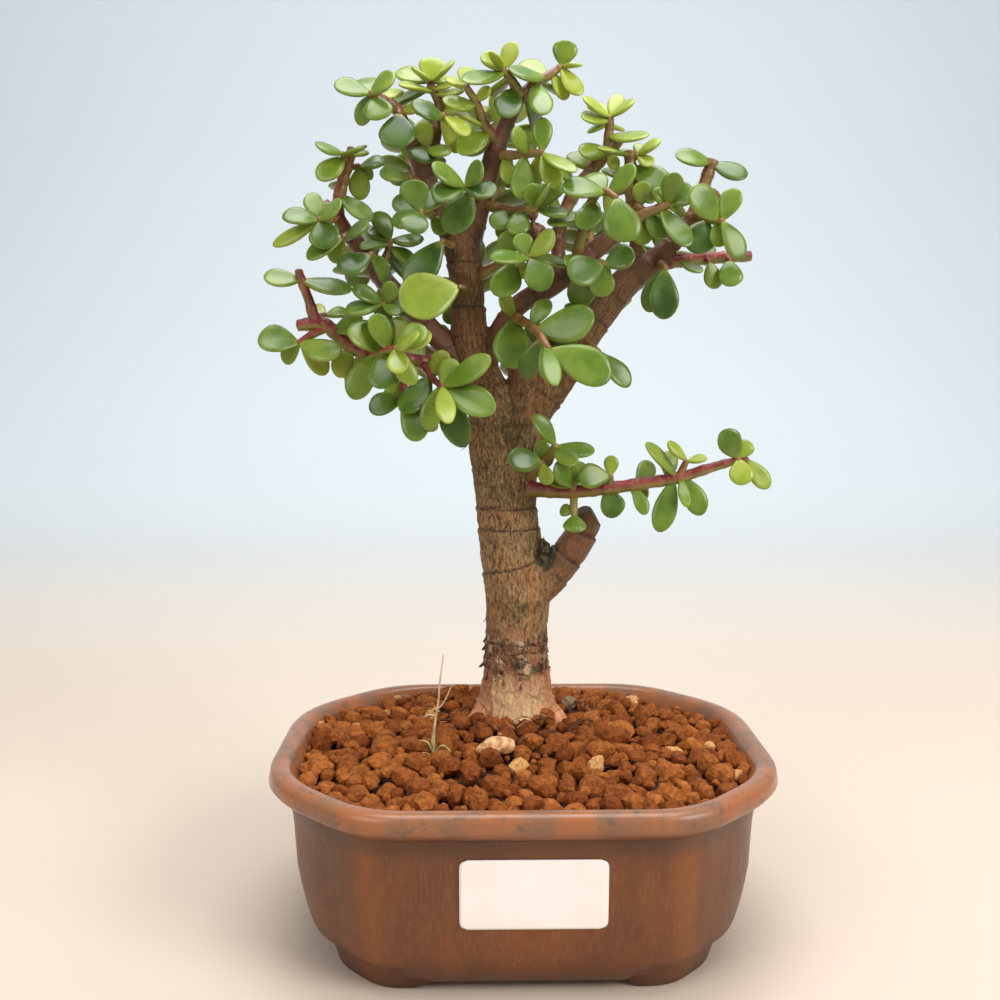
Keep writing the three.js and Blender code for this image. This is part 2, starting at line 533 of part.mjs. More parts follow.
    leaves: [
      [0, 0.85, -42.2, 13, 248, 8, 40], [0, 1, -38.4, 19.5, 258.6, 8, 50],
      [0, 1, -26.4, 18, 261.2, 9, 70], [0, 1, -32.6, 9.5, 256, 7.6, 35],
      [0, 0.75, -36.6, 8.5, 251.4, 8.2, 30], [0, 0.7, -17.8, 11.5, 249.6, 7, 30],
      [0, 1, -20.2, 12.5, 257, 7.6, 40], [1, 1, -33, 8.5, 244.6, 8.4, 55],
      [1, 0.9, -16.2, 9.5, 236.4, 6.6, 35], [1, 0.6, -19, 14, 233.2, 6.8, 50],
      [0, 0.3, -33, 22, 248, 7.4, 50], [0, 0.6, -22, 27, 252, 8, 45],
      [0, 1, -21.1, 12, 255.4, 6, 45], [0, 0.4, -17.9, 17, 245.9, 6.5, 55],
      [0, 0.8, -21.8, 13, 251.8, 4.6, 45], [0, 0.2, -34.4, 23, 243.3, 6, 60],
    ],
  },
  {
    name: 'left_fork_shoot',
    reach: [6, 6],
    stems: [
      [[-35.5, 17.2, 240, 1.9], [-38.5, 16.5, 245.5, 1.7], [-42.5, 15.6, 248, 1.4],
        [-46.8, 14, 249.8, 1]],
      [[-37.2, 16.9, 243.2, 1.4], [-37.6, 13.2, 243.6, 1]],
    ],
    leaves: [
      [0, 1, -57, 12, 252, 8.4, 50], [0, 1, -38.6, 11, 254.6, 8.4, 50],
      [0, 1, -49.8, 20, 256.4, 7.4, 55], [0, 0.85, -43.6, 8.5, 240.5, 9.4, 80],
      [0, 0.9, -51.6, 19, 241.8, 8, 55], [1, 1, -38.4, 8.5, 232, 11.4, 85],
      [0, 0.5, -45, 26, 245, 8, 45], [0, 0.7, -36.6, 20, 253.8, 6, 40],
      [0, 0.3, -30.5, 20, 247.2, 5.5, 50],
    ],
  },
  {
    name: 'fork_gap_shoot',
    stems: [[[-29, 18, 229.5, 1.6], [-28.5, 14, 234, 1]]],
    leaves: [
      [0, 1, -31, 9, 228.4, 8.8, 75], [0, 0.8, -30.6, 21, 241, 6.2, 55],
      [0, 0.85, -21.4, 17, 230.6, 7, 60],
    ],
  },
  {
    name: 'leader_upper_shoot',
    reach: [10],
    stems: [[[-12, 18, 218, 1.6], [-15, 14, 220.4, 1.2], [-17.4, 11, 221.2, 0.9]]],
    leaves: [
      [0, 1, -27, 8.5, 227.4, 7.6, 50], [0, 1, -12, 9.5, 228, 7.6, 50],
      [0, 0.95, -26.4, 5, 217.4, 8.6, 55], [0, 0.95, -8.2, 6, 219, 8.4, 50],
      [0, 0.6, -22.6, 8, 207.6, 10, 80], [0, 0.5, -20.6, 19, 214.1, 7, 60],
    ],
  },
  {
    name: 'leader_left_shoot',
    reach: [14],
    stems: [[[-24.5, 18, 212, 1.6], [-28, 13.5, 213, 1.2], [-31.2, 10.5, 213.8, 0.9]]],
    leaves: [
      [0, 1, -34.8, 9, 222.6, 8.2, 75], [0, 0.9, -26, 13, 220.8, 8, 60],
      [0, 0.95, -40, 9, 210.8, 8, 50], [0, 1, -32.4, 5, 206.6, 8.6, 80],
      [0, 0.7, -39.6, 17, 219, 8, 60], [0, 0.5, -23, 15, 207.8, 6, 60],
    ],
  },
  {
    name: 'left_end_shoot',
    reach: [0, 0, 4, -6, 10],
    stems: [
      [[-55, 15, 209, 2.3], [-57, 15, 214, 2], [-55.6, 15, 222, 1.8], [-53, 15, 230, 1.5],
        [-52.4, 15, 234, 1.2]],
      [[-56.5, 15, 212, 1.8], [-61.6, 14, 217, 1.7]],
      [[-53.5, 15, 229, 1.2], [-55, 13, 231.6, 0.8]],
      [[-54, 15, 227.5, 1.2], [-49.6, 13.6, 227.8, 0.8]],
      [[-56.6, 15, 213, 1.4], [-59.5, 12.5, 211.2, 1.1], [-62.6, 11, 211.2, 0.9]],
    ],
    leaves: [
      [2, 1, -62.8, 10, 233.9, 8, 32], [2, 1, -47.2, 10.5, 232.8, 7, 20],
      [2, 0.7, -62, 9, 223.6, 8.2, 55], [3, 1, -41.6, 12, 229, 7.4, 40],
      [3, 1, -49.2, 10, 217.4, 6.8, 55], [0, 0.42, -46, 9, 211, 7, 40], [4, 1, -73, 9, 213, 8, 45],
      [4, 1, -54.6, 7.5, 216, 8.2, 45], [4, 0.85, -65.4, 17, 220.4, 6, 45],
      [4, 0.6, -62, 20, 217.5, 6.5, 55], [4, 0.95, -76.4, 14, 203, 5.6, 55],
      [4, 0.95, -59, 5.5, 202.6, 9.4, 75], [0, 0.6, -58, 26, 224, 8, 45],
      [0, 0.9, -47, 15, 232.5, 4, 30], [3, 0.9, -45.7, 17, 225.1, 5, 60],
    ],
  },
  {
    name: 'fork_side_leaves',
    stems: [[[-29, 18, 223.5, 1.6], [-33, 16.4, 224.4, 1.1], [-35.2, 16, 224.7, 0.8]]],
    leaves: [[0, 1, -43.8, 14, 225.6, 7.4, 50], [0, 0.9, -38, 25, 218, 8, 55]],
  },
  {
    name: 'left_branch_shoot',
    reach: [10],
    stems: [[[-53.5, 15, 207, 1.6], [-55, 11.8, 206, 0.9]]],
    leaves: [
      [0, 1, -47, 8.5, 209.8, 8, 40], [0, 1, -66, 9.5, 199.4, 7, 45],
      [0, 0.9, -58.8, 14.5, 198.6, 6, 60],
    ],
  },
  {
    name: 'left_branch_leaf',
    reach: [10],
    stems: [[[-47.5, 15, 199.5, 1.7], [-46.4, 11, 200.8, 1]]],
    leaves: [[0, 1, -56, 7.5, 195.6, 9.4, 55], [0, 0.8, -40, 22, 193.5, 8, 50]],
  },
  {
    name: 'left_twig',
    reach: [-6],
    stems: [[[-45, 15.2, 196, 1.7], [-42, 13.5, 200.5, 1.2], [-40.3, 12.5, 205.8, 0.9]]],
    leaves: [
      [0, 1, -44.8, 12, 214, 7, 45], [0, 0.95, -47.4, 9.5, 209, 7, 45],
      [0, 1, -30, 10.5, 204.6, 7.4, 38], [0, 0.85, -47.8, 8.5, 203, 6.5, 32],
      [0, 0.75, -33, 11.5, 198.6, 6.6, 38], [0, 0.5, -35.8, 11, 194, 6.4, 50],
      [0, 0.5, -38.3, 18, 204.1, 6.5, 50],
    ],
  },
  {
    name: 'leader_leaf',
    reach: [8],
    stems: [[[-20, 18, 203, 1.3], [-23, 13, 204.8, 0.9], [-24.6, 11, 205, 0.7]]],
    leaves: [[0, 1, -35.4, 7, 191.2, 10.6, 65], [0, 0.8, -28, 24, 200, 8, 50]],
  },
  {
    name: 'leader_front_leaf',
    reach: [11],
    stems: [[[-17, 18, 190, 1.3], [-18, 10.5, 190.8, 0.8], [-19, 8, 190.8, 0.7]]],
    leaves: [[0, 1, -37.4, 4.5, 186, 14.8, 78]],
  },
  {
    name: 'left_branch_underside',
    reach: [8],
    stems: [[[-38, 16.1, 188, 1.7], [-41, 12, 186, 1.2], [-43, 10.5, 185.5, 0.9]]],
    leaves: [
      [0, 0.9, -39.4, 8, 192.2, 6, 65], [0, 1, -54, 9, 183.6, 8.4, 35],
      [0, 0.6, -34, 9.5, 183.6, 8, 50], [0, 1, -51.4, 13, 190.8, 6, 55],
      [0, 1, -35.2, 12, 181.1, 6, 50], [0, 0.95, -43.1, 13, 179.9, 6, 70],
    ],
  },
  {
    name: 'trunk_spur_shoot',
    reach: [4, 6],
    stems: [
      [[2, 18, 131, 2.2], [8, 12.3, 136, 1.7], [11.3, 10, 142, 1.2]],
      [[7.6, 12.6, 135.6, 1.3], [6.6, 9, 136.4, 0.9]],
    ],
    leaves: [
      [0, 1, 4.8, 7.5, 151.6, 6.4, 42], [0, 1, 22.9, 6.5, 140.8, 6.8, 42],
      [0, 0.9, 14.8, 4, 137, 6.8, 42], [1, 1, -3.8, 4.5, 138.2, 8.6, 65],
      [0, 0.45, 6.9, 15, 143.4, 5.5, 60], [1, 1, 8.9, 9, 129.3, 5, 75],
    ],
  },
  // shoots that fill the sides and the back of the crown
  {
    name: 'rear_low_left_shoot',
    reach: [-13],
    stems: [[[-16.5, 19.5, 166, 2], [-27, 27, 170, 1.6], [-36, 34, 176, 1]]],
    leaves: [
      [0, 1, -46, 38, 181, 8, -30], [0, 1, -31, 44, 181, 9, -40], [0, 0.95, -42, 36, 167, 9, -75],
      [0, 0.6, -40, 25, 176, 8, -20], [0, 0.55, -22, 35, 172, 8, -30], [0, 0.6, -32, 30, 163, 9, -80],
      [0, 0.8, -38, 32, 187, 8, -50], [0, 0.75, -36, 44, 170, 8, -60], [0, 0.35, -26, 24, 180, 7, -40],
    ],
  },
  {
    name: 'rear_left_shoot',
    reach: [-13],
    stems: [[[-38, 16.2, 188, 1.9], [-46, 25, 194, 1.5], [-51, 33, 203, 1]]],
    leaves: [
      [0, 1, -62, 37, 206, 8, -35], [0, 1, -44, 43, 208, 9, -45], [0, 0.95, -55, 36, 193, 9, -75],
      [0, 0.6, -60, 24, 198, 8, -20], [0, 0.55, -39, 32, 199, 8, -30], [0, 0.7, -51, 30, 213, 8, -60],
      [0, 0.4, -42, 27, 185, 7, -70], [0, 0.75, -47, 42, 197, 8, -60],
    ],
  },
  {
    name: 'rear_left_crest_shoot',
    reach: [-12],
    stems: [[[-28, 18, 221, 1.9], [-33.5, 27, 227, 1.5], [-37, 35, 237, 1]]],
    leaves: [
      [0, 1, -45, 38, 240, 8, -35], [0, 1, -30, 43, 243, 9, -45], [0, 0.95, -41, 39, 226, 9, -75],
      [0, 0.6, -45, 26, 232, 8, -20], [0, 0.55, -24, 33, 233, 8, -30], [0, 0.75, -37, 30, 246, 8, -60],
      [0, 0.7, -31, 40, 227, 8, -65], [0, 0.4, -35, 22, 219, 7, -60],
    ],
  },
  {
    name: 'rear_leader_shoot',
    reach: [-12],
    stems: [[[-16.3, 18.4, 179, 2], [-16.5, 29, 188, 1.6], [-15, 38, 201, 1]]],
    leaves: [
      [0, 1, -26, 43, 206, 9, -35], [0, 1, -5, 45, 207, 9, -45], [0, 0.95, -17, 45, 191, 10, -75],
      [0, 0.6, -28, 30, 194, 8, -20], [0, 0.55, -4, 32, 196, 8, -30], [0, 0.75, -15, 34, 210, 8, -60],
      [0, 0.8, -4, 42, 195, 8, -60], [0, 0.35, -25, 27, 182, 7, -60],
    ],
  },
  {
    name: 'rear_crest_shoot',
    reach: [-14],
    stems: [[[-8.4, 18, 231.5, 1.9], [-8, 27, 237.5, 1.4], [-7, 34, 247, 1]]],
    leaves: [
      [0, 1, -17, 37, 250, 8, -35], [0, 1, 3, 40, 251, 8, -45], [0, 0.95, -9, 40, 237, 9, -75],
      [0, 0.6, -17, 28, 240, 8, -20], [0, 0.55, 6, 30, 242, 8, -30], [0, 0.8, -6, 30, 256, 7, -60],
      [0, 0.4, -15.9, 30, 244.5, 8, 60],
      [0, 0.75, 2, 38, 240, 8, -60], [0, 0.7, -18, 36, 236, 7, -60],
    ],
  },
  {
    name: 'rear_fork_shoot',
    reach: [-12],
    stems: [[[-14, 18, 213, 1.9], [-10, 28, 218, 1.5], [-5, 37, 226, 1]]],
    leaves: [
      [0, 1, -15, 43, 230, 9, -35], [0, 1, 6, 42, 231, 9, -45], [0, 0.95, -4, 44, 216, 9, -75],
      [0, 0.6, -19, 29, 220, 8, -20], [0, 0.55, 4, 30, 222, 8, -30],
      [0, 0.75, -18, 37, 222, 8, -60], [0, 0.8, 6, 40, 220, 8, -60], [0, 0.9, -5, 34, 236, 7, -50],
    ],
  },
  {
    name: 'rear_centre_shoot',
    reach: [-12],
    stems: [[[6, 21, 154, 2], [5.5, 31, 161, 1.6], [5, 39, 171, 1]]],
    leaves: [
      [0, 1, -6, 43, 175, 9, -35], [0, 1, 14, 46, 178, 10, -45], [0, 0.95, 4, 46, 160, 11, -75],
      [0, 0.6, -5, 30, 166, 9, -20], [0, 0.55, 20, 33, 166, 9, -30], [0, 0.75, 5, 35, 182, 8, -60],
      [0, 0.8, -6, 44, 165, 8, -60], [0, 0.8, 16, 45, 167, 8, -60],
    ],
  },
  {
    name: 'rear_mid_right_shoot',
    reach: [-13],
    stems: [[[20, 19, 175.5, 2], [25, 29, 182, 1.5], [28, 37, 192, 1]]],
    leaves: [
      [0, 1, 17, 42, 197, 9, -35], [0, 1, 38, 43, 198, 9, -45], [0, 0.95, 29, 44, 182, 10, -75],
      [0, 0.6, 15, 29, 187, 8, -20], [0, 0.55, 37, 31, 189, 8, -30], [0, 0.75, 27, 33, 202, 8, -60],
      [0, 0.8, 18, 43, 187, 8, -60],
    ],
  },
  {
    name: 'rear_right_end_shoot',
    reach: [-14],
    stems: [[[34.5, 16.9, 193.6, 2], [42.5, 26, 199.5, 1.5], [48, 33, 209, 1]]],
    leaves: [
      [0, 1, 38, 38, 214, 8, -35], [0, 1, 58, 38, 216, 9, -45], [0, 0.95, 51, 40, 199, 9, -75],
      [0, 0.6, 57, 26, 202, 8, -20], [0, 0.55, 36, 30, 206, 8, -30], [0, 0.75, 47, 28, 219, 8, -60],
      [0, 0.5, 50.2, 24, 208.1, 8, 50],
      [0, 0.75, 40, 40, 203, 8, -60],
    ],
  },
  {
    name: 'rear_inner_shoot',
    reach: [-13],
    stems: [[[21.5, 13, 200.8, 1.9], [23, 26, 205, 1.5], [24, 35, 211, 1]]],
    leaves: [
      [0, 1, 14, 40, 217, 9, -35], [0, 1, 33, 41, 218, 9, -45], [0, 0.95, 24, 44, 203, 9, -75],
      [0, 0.75, 34, 29, 212, 8, -20], [0, 0.7, 14, 31, 209, 8, -30],
      [0, 0.85, 15, 42, 207, 8, -60], [0, 0.85, 34, 41, 206, 8, -60], [0, 0.9, 24, 33, 221, 7, -50],
    ],
  },
];

function carryForward([x, y, z, ...rest], distance) {
  const scale = (y - distance - EYE[1]) / (y - EYE[1]);
  return [EYE[0] + (x - EYE[0]) * scale, y - distance, EYE[2] + (z - EYE[2]) * scale, ...rest];
}

function spreadShoot(shoot) {
  const reach = shoot.reach ?? shoot.stems.map(() => 0);
  const stems = shoot.stems.map((points, k) => (
    points.map((p, i) => carryForward(p, (reach[k] * i) / (points.length - 1)))
  ));
  const spread = shoot.leaves.map(([k, at, x, y, z, width, face]) => (
    [k, at, ...carryForward([x, y, z], reach[k] * at), width, face]
  ));
  return { name: shoot.name, stems, leaves: spread };
}
const GROWN = SHOOTS.map(spreadShoot);

// ---------------------------------------------------------------- leaves
// Half width of a leaf along its length, as a share of its full width.
const LEAF_STATIONS = [0, 0.12, 0.3, 0.5, 0.7, 0.88, 0.97, 1];
const LEAF_HALF_WIDTHS = [0.09, 0.17, 0.37, 0.48, 0.5, 0.38, 0.19, 0];
const SAMPLE_STATIONS = [0.15, 0.3, 0.45, 0.6, 0.75, 0.9, 1];
const SAMPLE_ACROSS = [-0.9, -0.45, 0, 0.45, 0.9];
const TIP_SHIFTS = [0, -2, 2, -4, 4, -6, 6, -8, 8, -11, 11, -14, 14];
const LEAF_SCALES = [1, 0.86, 0.72];
const OTHER_CLEARANCE = 2.6;
const OWN_CLEARANCE = 1.7;

function leafHalfShare(s) {
  const t = Math.min(Math.max(s, 0), 1);
  for (let i = 1; i < LEAF_STATIONS.length; i += 1) {
    if (t <= LEAF_STATIONS[i]) {
      const span = LEAF_STATIONS[i] - LEAF_STATIONS[i - 1];
      const f = (t - LEAF_STATIONS[i - 1]) / span;
      return LEAF_HALF_WIDTHS[i - 1] * (1 - f) + LEAF_HALF_WIDTHS[i] * f;
    }
  }
  return 0;
}

function pointAlong(points, share) {
  const lengths = [];
  let total = 0;
  for (let i = 1; i < points.length; i += 1) {
    const step = Math.hypot(...[0, 1, 2].map((k) => points[i][k] - points[i - 1][k]));
    lengths.push(step);
    total += step;
  }
  let left = Math.min(share * total, total - 0.6);
  for (let i = 0; i < lengths.length; i += 1) {
    if (left <= lengths[i]) {
      const f = left / lengths[i];
      return [0, 1, 2].map((k) => points[i][k] * (1 - f) + points[i + 1][k] * f);
    }
    left -= lengths[i];
  }
  return points[points.length - 1].slice(0, 3);
}

// A leaf as a frame: base, unit axes (length, across, upper face) and sizes.
function leafFrame(base, tip, width, face, scale) {
  const b = new THREE.Vector3(...base);
  const along = new THREE.Vector3(...tip).sub(b);
  const length = along.length() * scale;
  along.normalize();
  const turn = THREE.MathUtils.degToRad(face);
  const up = new THREE.Vector3(0, -Math.sin(turn), Math.cos(turn));
  up.addScaledVector(along, -up.dot(along)).normalize();
  const across = up.clone().cross(along);
  const samples = [];
  for (const s of SAMPLE_STATIONS) {
    for (const t of SAMPLE_ACROSS) {
      const p = b.clone().addScaledVector(along, s * length);
      p.addScaledVector(across, t * leafHalfShare(s) * width * scale);
      samples.push({ p, s });
    }
  }
  return { b, along, across, up, length, width: width * scale, samples };
}

function samplesHit(from, other, clearance, keepOut) {
  for (const { p } of from.samples) {
    if (keepOut > 0 && p.distanceTo(from.b) < keepOut) continue;
    const d = p.clone().sub(other.b);
    const s = d.dot(other.along) / other.length;
    if (s < -0.03 || s > 1.05) continue;
    if (Math.abs(d.dot(other.up)) > clearance) continue;
    if (Math.abs(d.dot(other.across)) < leafHalfShare(s) * other.width + 0.5) return true;
  }
  return false;
}

function leavesClash(a, b, sameShoot) {
  const clearance = sameShoot ? OWN_CLEARANCE : OTHER_CLEARANCE;
  const keepOut = sameShoot ? 4.5 : 0;
  return samplesHit(a, b, clearance, keepOut) || samplesHit(b, a, clearance, keepOut);
}

// Distance from a point to a tapered segment's skin.
function skinDistance(p, start, end) {
  const a = new THREE.Vector3(start[0], start[1], start[2]);
  const axis = new THREE.Vector3(end[0], end[1], end[2]).sub(a);
  const f = THREE.MathUtils.clamp(p.clone().sub(a).dot(axis) / axis.lengthSq(), 0, 1);
  const radius = start[3] * (1 - f) + end[3] * f;
  return p.distanceTo(a.addScaledVector(axis, f)) - radius;
}

function limbsClash(leaf, shootName, limbs) {
  for (const { p, s } of leaf.samples) {
    const near = p.distanceTo(leaf.b) < 4;
    const skin = 0.35 + 1.1 * Math.min(1, s * 2);
    for (const { owner, points } of limbs) {
      const own = owner === shootName;
      if (own && near) continue;
      const room = own ? 1 : skin;
      for (let i = 1; i < points.length; i += 1) {
        if (skinDistance(p, points[i - 1], points[i]) < room) return true;
      }
    }
  }
  return false;
}

// The widest leaves are placed first. A leaf that would touch something swings
// to the front or back, then gets smaller, and is left off as the last resort.
function placeLeaves() {
  const woody = [TRUNK_LINE, ...WOODY_BRANCHES].map((points) => ({ owner: 'trunk', points }));
  const limbs = [...woody];
  const wanted = [];
  for (const shoot of GROWN) {
    for (const points of shoot.stems) limbs.push({ owner: shoot.name, points });
    for (const leaf of shoot.leaves) wanted.push({ shoot: shoot.name, stem: shoot.stems[leaf[0]], leaf });
  }
  wanted.sort((a, b) => b.leaf[5] - a.leaf[5]);
  const placed = [];
  for (const { shoot, stem, leaf } of wanted) {
    const [, at, x, y, z, width, face] = leaf;
    const base = pointAlong(stem, at);
    let chosen = null;
    for (const scale of LEAF_SCALES) {
      for (const shift of TIP_SHIFTS) {
        const frame = leafFrame(base, [x, y + shift, z], width, face, scale);
        const blocked = limbsClash(frame, shoot, limbs)
          || placed.some((other) => leavesClash(frame, other.frame, other.shoot === shoot));
        if (!blocked) {
          chosen = frame;
          break;
        }
      }
      if (chosen) break;
    }
    if (chosen) placed.push({ shoot, frame: chosen });
  }
  return placed;
}

// Lens-shaped leaf: a seven-point outline with one raised point on each face.
function leafSolid(frame) {
  const half = LEAF_THICKNESS / 2;
  const point = (s, t, h) => frame.b.clone()
    .addScaledVector(frame.along, s * frame.length + 0.2)
    .addScaledVector(frame.across, t * frame.width)
    .addScaledVector(frame.up, h);
  const rim = [
    [0, 0.06], [0.36, 0.42], [0.78, 0.47], [1.02, 0], [0.78, -0.47], [0.36, -0.42], [0, -0.06],
  ];
  const points = rim.map(([s, t]) => point(s, t, 0));
  points.push(point(0.52, 0, half), point(0.52, 0, -half));
  const vertices = points.flatMap((p) => [p.x, p.y, p.z]);
  const faces = [];
  for (let i = 0; i < rim.length; i += 1) {
    const j = (i + 1) % rim.length;
    faces.push(j, i, 7, i, j, 8);
  }
  const geometry = new THREE.BufferGeometry();
  geometry.setAttribute('position', new THREE.Float32BufferAttribute(vertices, 3));
  geometry.setIndex(faces);
  return toSolid(geometry);
}

// ----------------------------------------------------------------- soil
function soilHeight(x, y) {
  const spread = ((x - TRUNK_X) / 46) ** 2 + ((y - TRUNK_Y) / 40) ** 2;
  const bumps = 0.6 * Math.sin(x * 0.55 + y * 0.2) * Math.sin(y * 0.6 - x * 0.15);
  return SOIL_RIM_Z + SOIL_MOUND * Math.exp(-spread) + bumps;
}

function makeSoil(trunkSpace, sprigSpace) {
  const walls = [
    [54.6, 45.6, 19.3, POT_FLOOR_TOP + FIT_GAP], [59.3, 49.1, 22.4, 8.3],
    [63.1, 51.1, 24.2, 23.8], [64.9, 52.3, 24.8, 38], [67.6, 53.9, 26, 45],
  ];
  const rings = walls.map((s) => potOutline(...s));
  const edge = rings[rings.length - 1];
  const rows = 5;
  for (let k = 0; k < rows; k += 1) {
    const reach = 1 - (k + 0.25) / rows;
    rings.push(edge.map(([x, y]) => {
      const px = TRUNK_X + (x - TRUNK_X) * reach;
      const py = TRUNK_Y + (y - TRUNK_Y) * reach;
      return [px, py, soilHeight(px, py)];
    }));
  }
  let soil = toSolid(skinRings(rings));
  for (const side of [-1, 1]) soil = soil.subtract(box(22.8, 22.8, 2.6, side * HOLE_X, 0, POT_FLOOR_TOP));
  return soil.subtract(trunkSpace).subtract(sprigSpace);
}

// ---------------------------------------------------------------- label
function makeLabel() {
  const centreX = 1.5;
  const centreZ = 26.1;
  const wallGap = 0.15;
  const sheet = 0.35;
  const wall = [[15, 55.47], [21.8, 56.4], [37, 56.92]];
  const profile = new THREE.Shape();
  wall.forEach(([z, y], i) => (i ? profile.lineTo(-y - wallGap, z) : profile.moveTo(-y - wallGap, z)));
  [...wall].reverse().forEach(([z, y]) => profile.lineTo(-y - wallGap - sheet, z));
  const strip = new THREE.ExtrudeGeometry(profile, { depth: 40, bevelEnabled: false });
  const basis = new THREE.Matrix4().makeBasis(
    new THREE.Vector3(0, 1, 0), new THREE.Vector3(0, 0, 1), new THREE.Vector3(1, 0, 0),
  );
  strip.applyMatrix4(basis);
  strip.translate(centreX - 20, 0, 0);
  const outline = new THREE.Shape();
  const corner = 2.2;
  outline.moveTo(-20 + corner, -10);
  outline.lineTo(20 - corner, -10);
  outline.absarc(20 - corner, -10 + corner, corner, -Math.PI / 2, 0);
  outline.lineTo(20, 10 - corner);
  outline.absarc(20 - corner, 10 - corner, corner, 0, Math.PI / 2);
  outline.lineTo(-20 + corner, 10);
  outline.absarc(-20 + corner, 10 - corner, corner, Math.PI / 2, Math.PI);
  outline.lineTo(-20, -10 + corner);
  outline.absarc(-20 + corner, -10 + corner, corner, Math.PI, Math.PI * 1.5);
  const stamp = new THREE.ExtrudeGeometry(outline, { depth: 20, bevelEnabled: false, curveSegments: 3 });
  stamp.rotateX(Math.PI / 2);
  stamp.translate(centreX, -45, centreZ);
  return toSolid(strip).intersect(toSolid(stamp));
}

// ------------------------------------------------------------- assembly
function trunkSolid(extra) {
  let solid = limb(TRUNK_LINE, 12, extra);
  for (const points of WOODY_BRANCHES) solid = solid.add(limb(points, 8, extra));
  for (const points of ROOTS) solid = solid.add(limb(points, 6, extra));
  return solid;
}

const SPRIG_LINE = [
  [-27.5, -10, 45, 0.6], [-27, -10, 58, 0.55], [-25.5, -10, 70, 0.5], [-24, -10, 80, 0.4],
];
const SPRIG_TWIG = [[-26.6, -10, 62, 0.4], [-23.5, -11, 66, 0.4], [-21.5, -11.5, 71, 0.35]];

const trunk = trunkSolid(0).simplify(0.06);
const trunkSpace = trunkSolid(FIT_GAP);
const sprig = limb(SPRIG_LINE, 6).add(limb(SPRIG_TWIG, 5));
const sprigSpace = limb(SPRIG_LINE.slice(0, 2), 6, FIT_GAP);

addPart('pot', makePot(), 'glaze');
addPart('drain_screen_left', makeScreen(-HOLE_X), 'screen');
addPart('drain_screen_right', makeScreen(HOLE_X), 'screen');
addPart('akadama_soil', makeSoil(trunkSpace, sprigSpace), 'akadama');
addPart('blank_label', makeLabel(), 'label');
addPart('trunk', trunk, 'bark');

const lump = Manifold.sphere(1, 12).scale([5.6, 3.2, 2.3]).rotate([0, 8, 12]);
const lumpZ = soilHeight(-8, -12) + 3;
addPart('exposed_root', lump.translate([-8, -12, lumpZ]), 'root');
addPart('grass_sprig', sprig, 'dry_grass');

const leaves = placeLeaves();
for (const shoot of GROWN) {
  let solid = null;
  for (const points of shoot.stems) {
    const stem = limb(points, 5);
    solid = solid ? solid.add(stem) : stem;
  }
  for (const { frame } of leaves.filter((leaf) => leaf.shoot === shoot.name)) {
    solid = solid.add(leafSolid(frame));
  }
  addPart(shoot.name, solid.subtract(trunkSpace).simplify(0.12), 'leaf');
}

export default model;
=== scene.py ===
"""Dwarf jade bonsai in a low brown pot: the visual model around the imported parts.

The tables give places in millimetres: +X is to the right, +Y to the back and +Z up.
Their heights count from a level 6.2 mm above the table that the pot's feet stand on.
"""

import bmesh
import bpy
import numpy as np
from mathutils import Euler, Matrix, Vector


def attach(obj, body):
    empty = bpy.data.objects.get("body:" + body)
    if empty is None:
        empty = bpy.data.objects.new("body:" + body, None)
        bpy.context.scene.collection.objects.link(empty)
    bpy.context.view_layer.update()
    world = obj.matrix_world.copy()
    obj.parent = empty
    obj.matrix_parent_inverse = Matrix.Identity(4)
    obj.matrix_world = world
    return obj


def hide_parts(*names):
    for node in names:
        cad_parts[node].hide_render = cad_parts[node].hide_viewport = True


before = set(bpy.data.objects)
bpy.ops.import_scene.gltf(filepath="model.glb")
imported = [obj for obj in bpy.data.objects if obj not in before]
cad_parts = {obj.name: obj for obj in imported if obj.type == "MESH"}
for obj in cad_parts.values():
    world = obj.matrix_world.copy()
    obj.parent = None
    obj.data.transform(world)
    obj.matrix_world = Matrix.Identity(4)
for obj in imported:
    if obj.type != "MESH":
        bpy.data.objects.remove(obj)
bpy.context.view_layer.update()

MM = 0.001
TABLE_LEVEL = 6.2
EYE = np.array([-12.0, -336.0, 166.0])
EYE_DOWN = 6.85
EYE_RIGHT = 0.9
FOCAL = 39.6
SENSOR = 36.0

POT_UNDERSIDE = -3.2
SIDE_BEND = 0.42
FRONT_BEND = 0.32
HOLE_RADIUS = 7.0
HOLE_X = 32.0
TRUNK_X = -1.0
TRUNK_Y = 24.0
SOIL_RIM_Z = 45.5
SOIL_MOUND = 7.0

# Pot sections, from the middle of the underside, out and up the wall, over the
# rolled lip and down inside: half length, half width, corner cut, z.
POT_SECTIONS = np.array([
    [56, 48.4, 17, -3.2], [59.6, 51, 19.6, -0.8], [64.4, 54.2, 23, 5.8], [68.4, 56.4, 26, 21.8],
    [69.6, 57, 27, 39.5], [73.5, 60, 28.4, 42.8], [76, 62, 29.5, 45.6], [75.6, 61.6, 29.2, 48.4],
    [73.6, 59.6, 28.4, 50], [70.6, 56.6, 27.2, 49.6], [68.6, 54.8, 26.4, 46.5], [65.4, 52.8, 25, 38],
    [63.6, 51.6, 24.4, 23.8], [59.8, 49.6, 22.6, 8.3], [55, 46, 19.5, 1.8],
])

# One foot's skin, from the underside out: down its inner face, along the ground, up outside.
FOOT_SECTIONS = np.array([
    [40, 32, 9, -3.2], [46.6, 38.6, 11.6, -3.2], [47.8, 39.8, 12.2, -5.6], [48.6, 40.6, 12.6, -6.2],
    [54.4, 46.2, 14, -6.2], [55.4, 47.2, 14.5, -5.6], [56.6, 48.6, 15.4, -1.6],
])
FOOT_SLOPE = np.array([0.3, 0.3, 0.2])

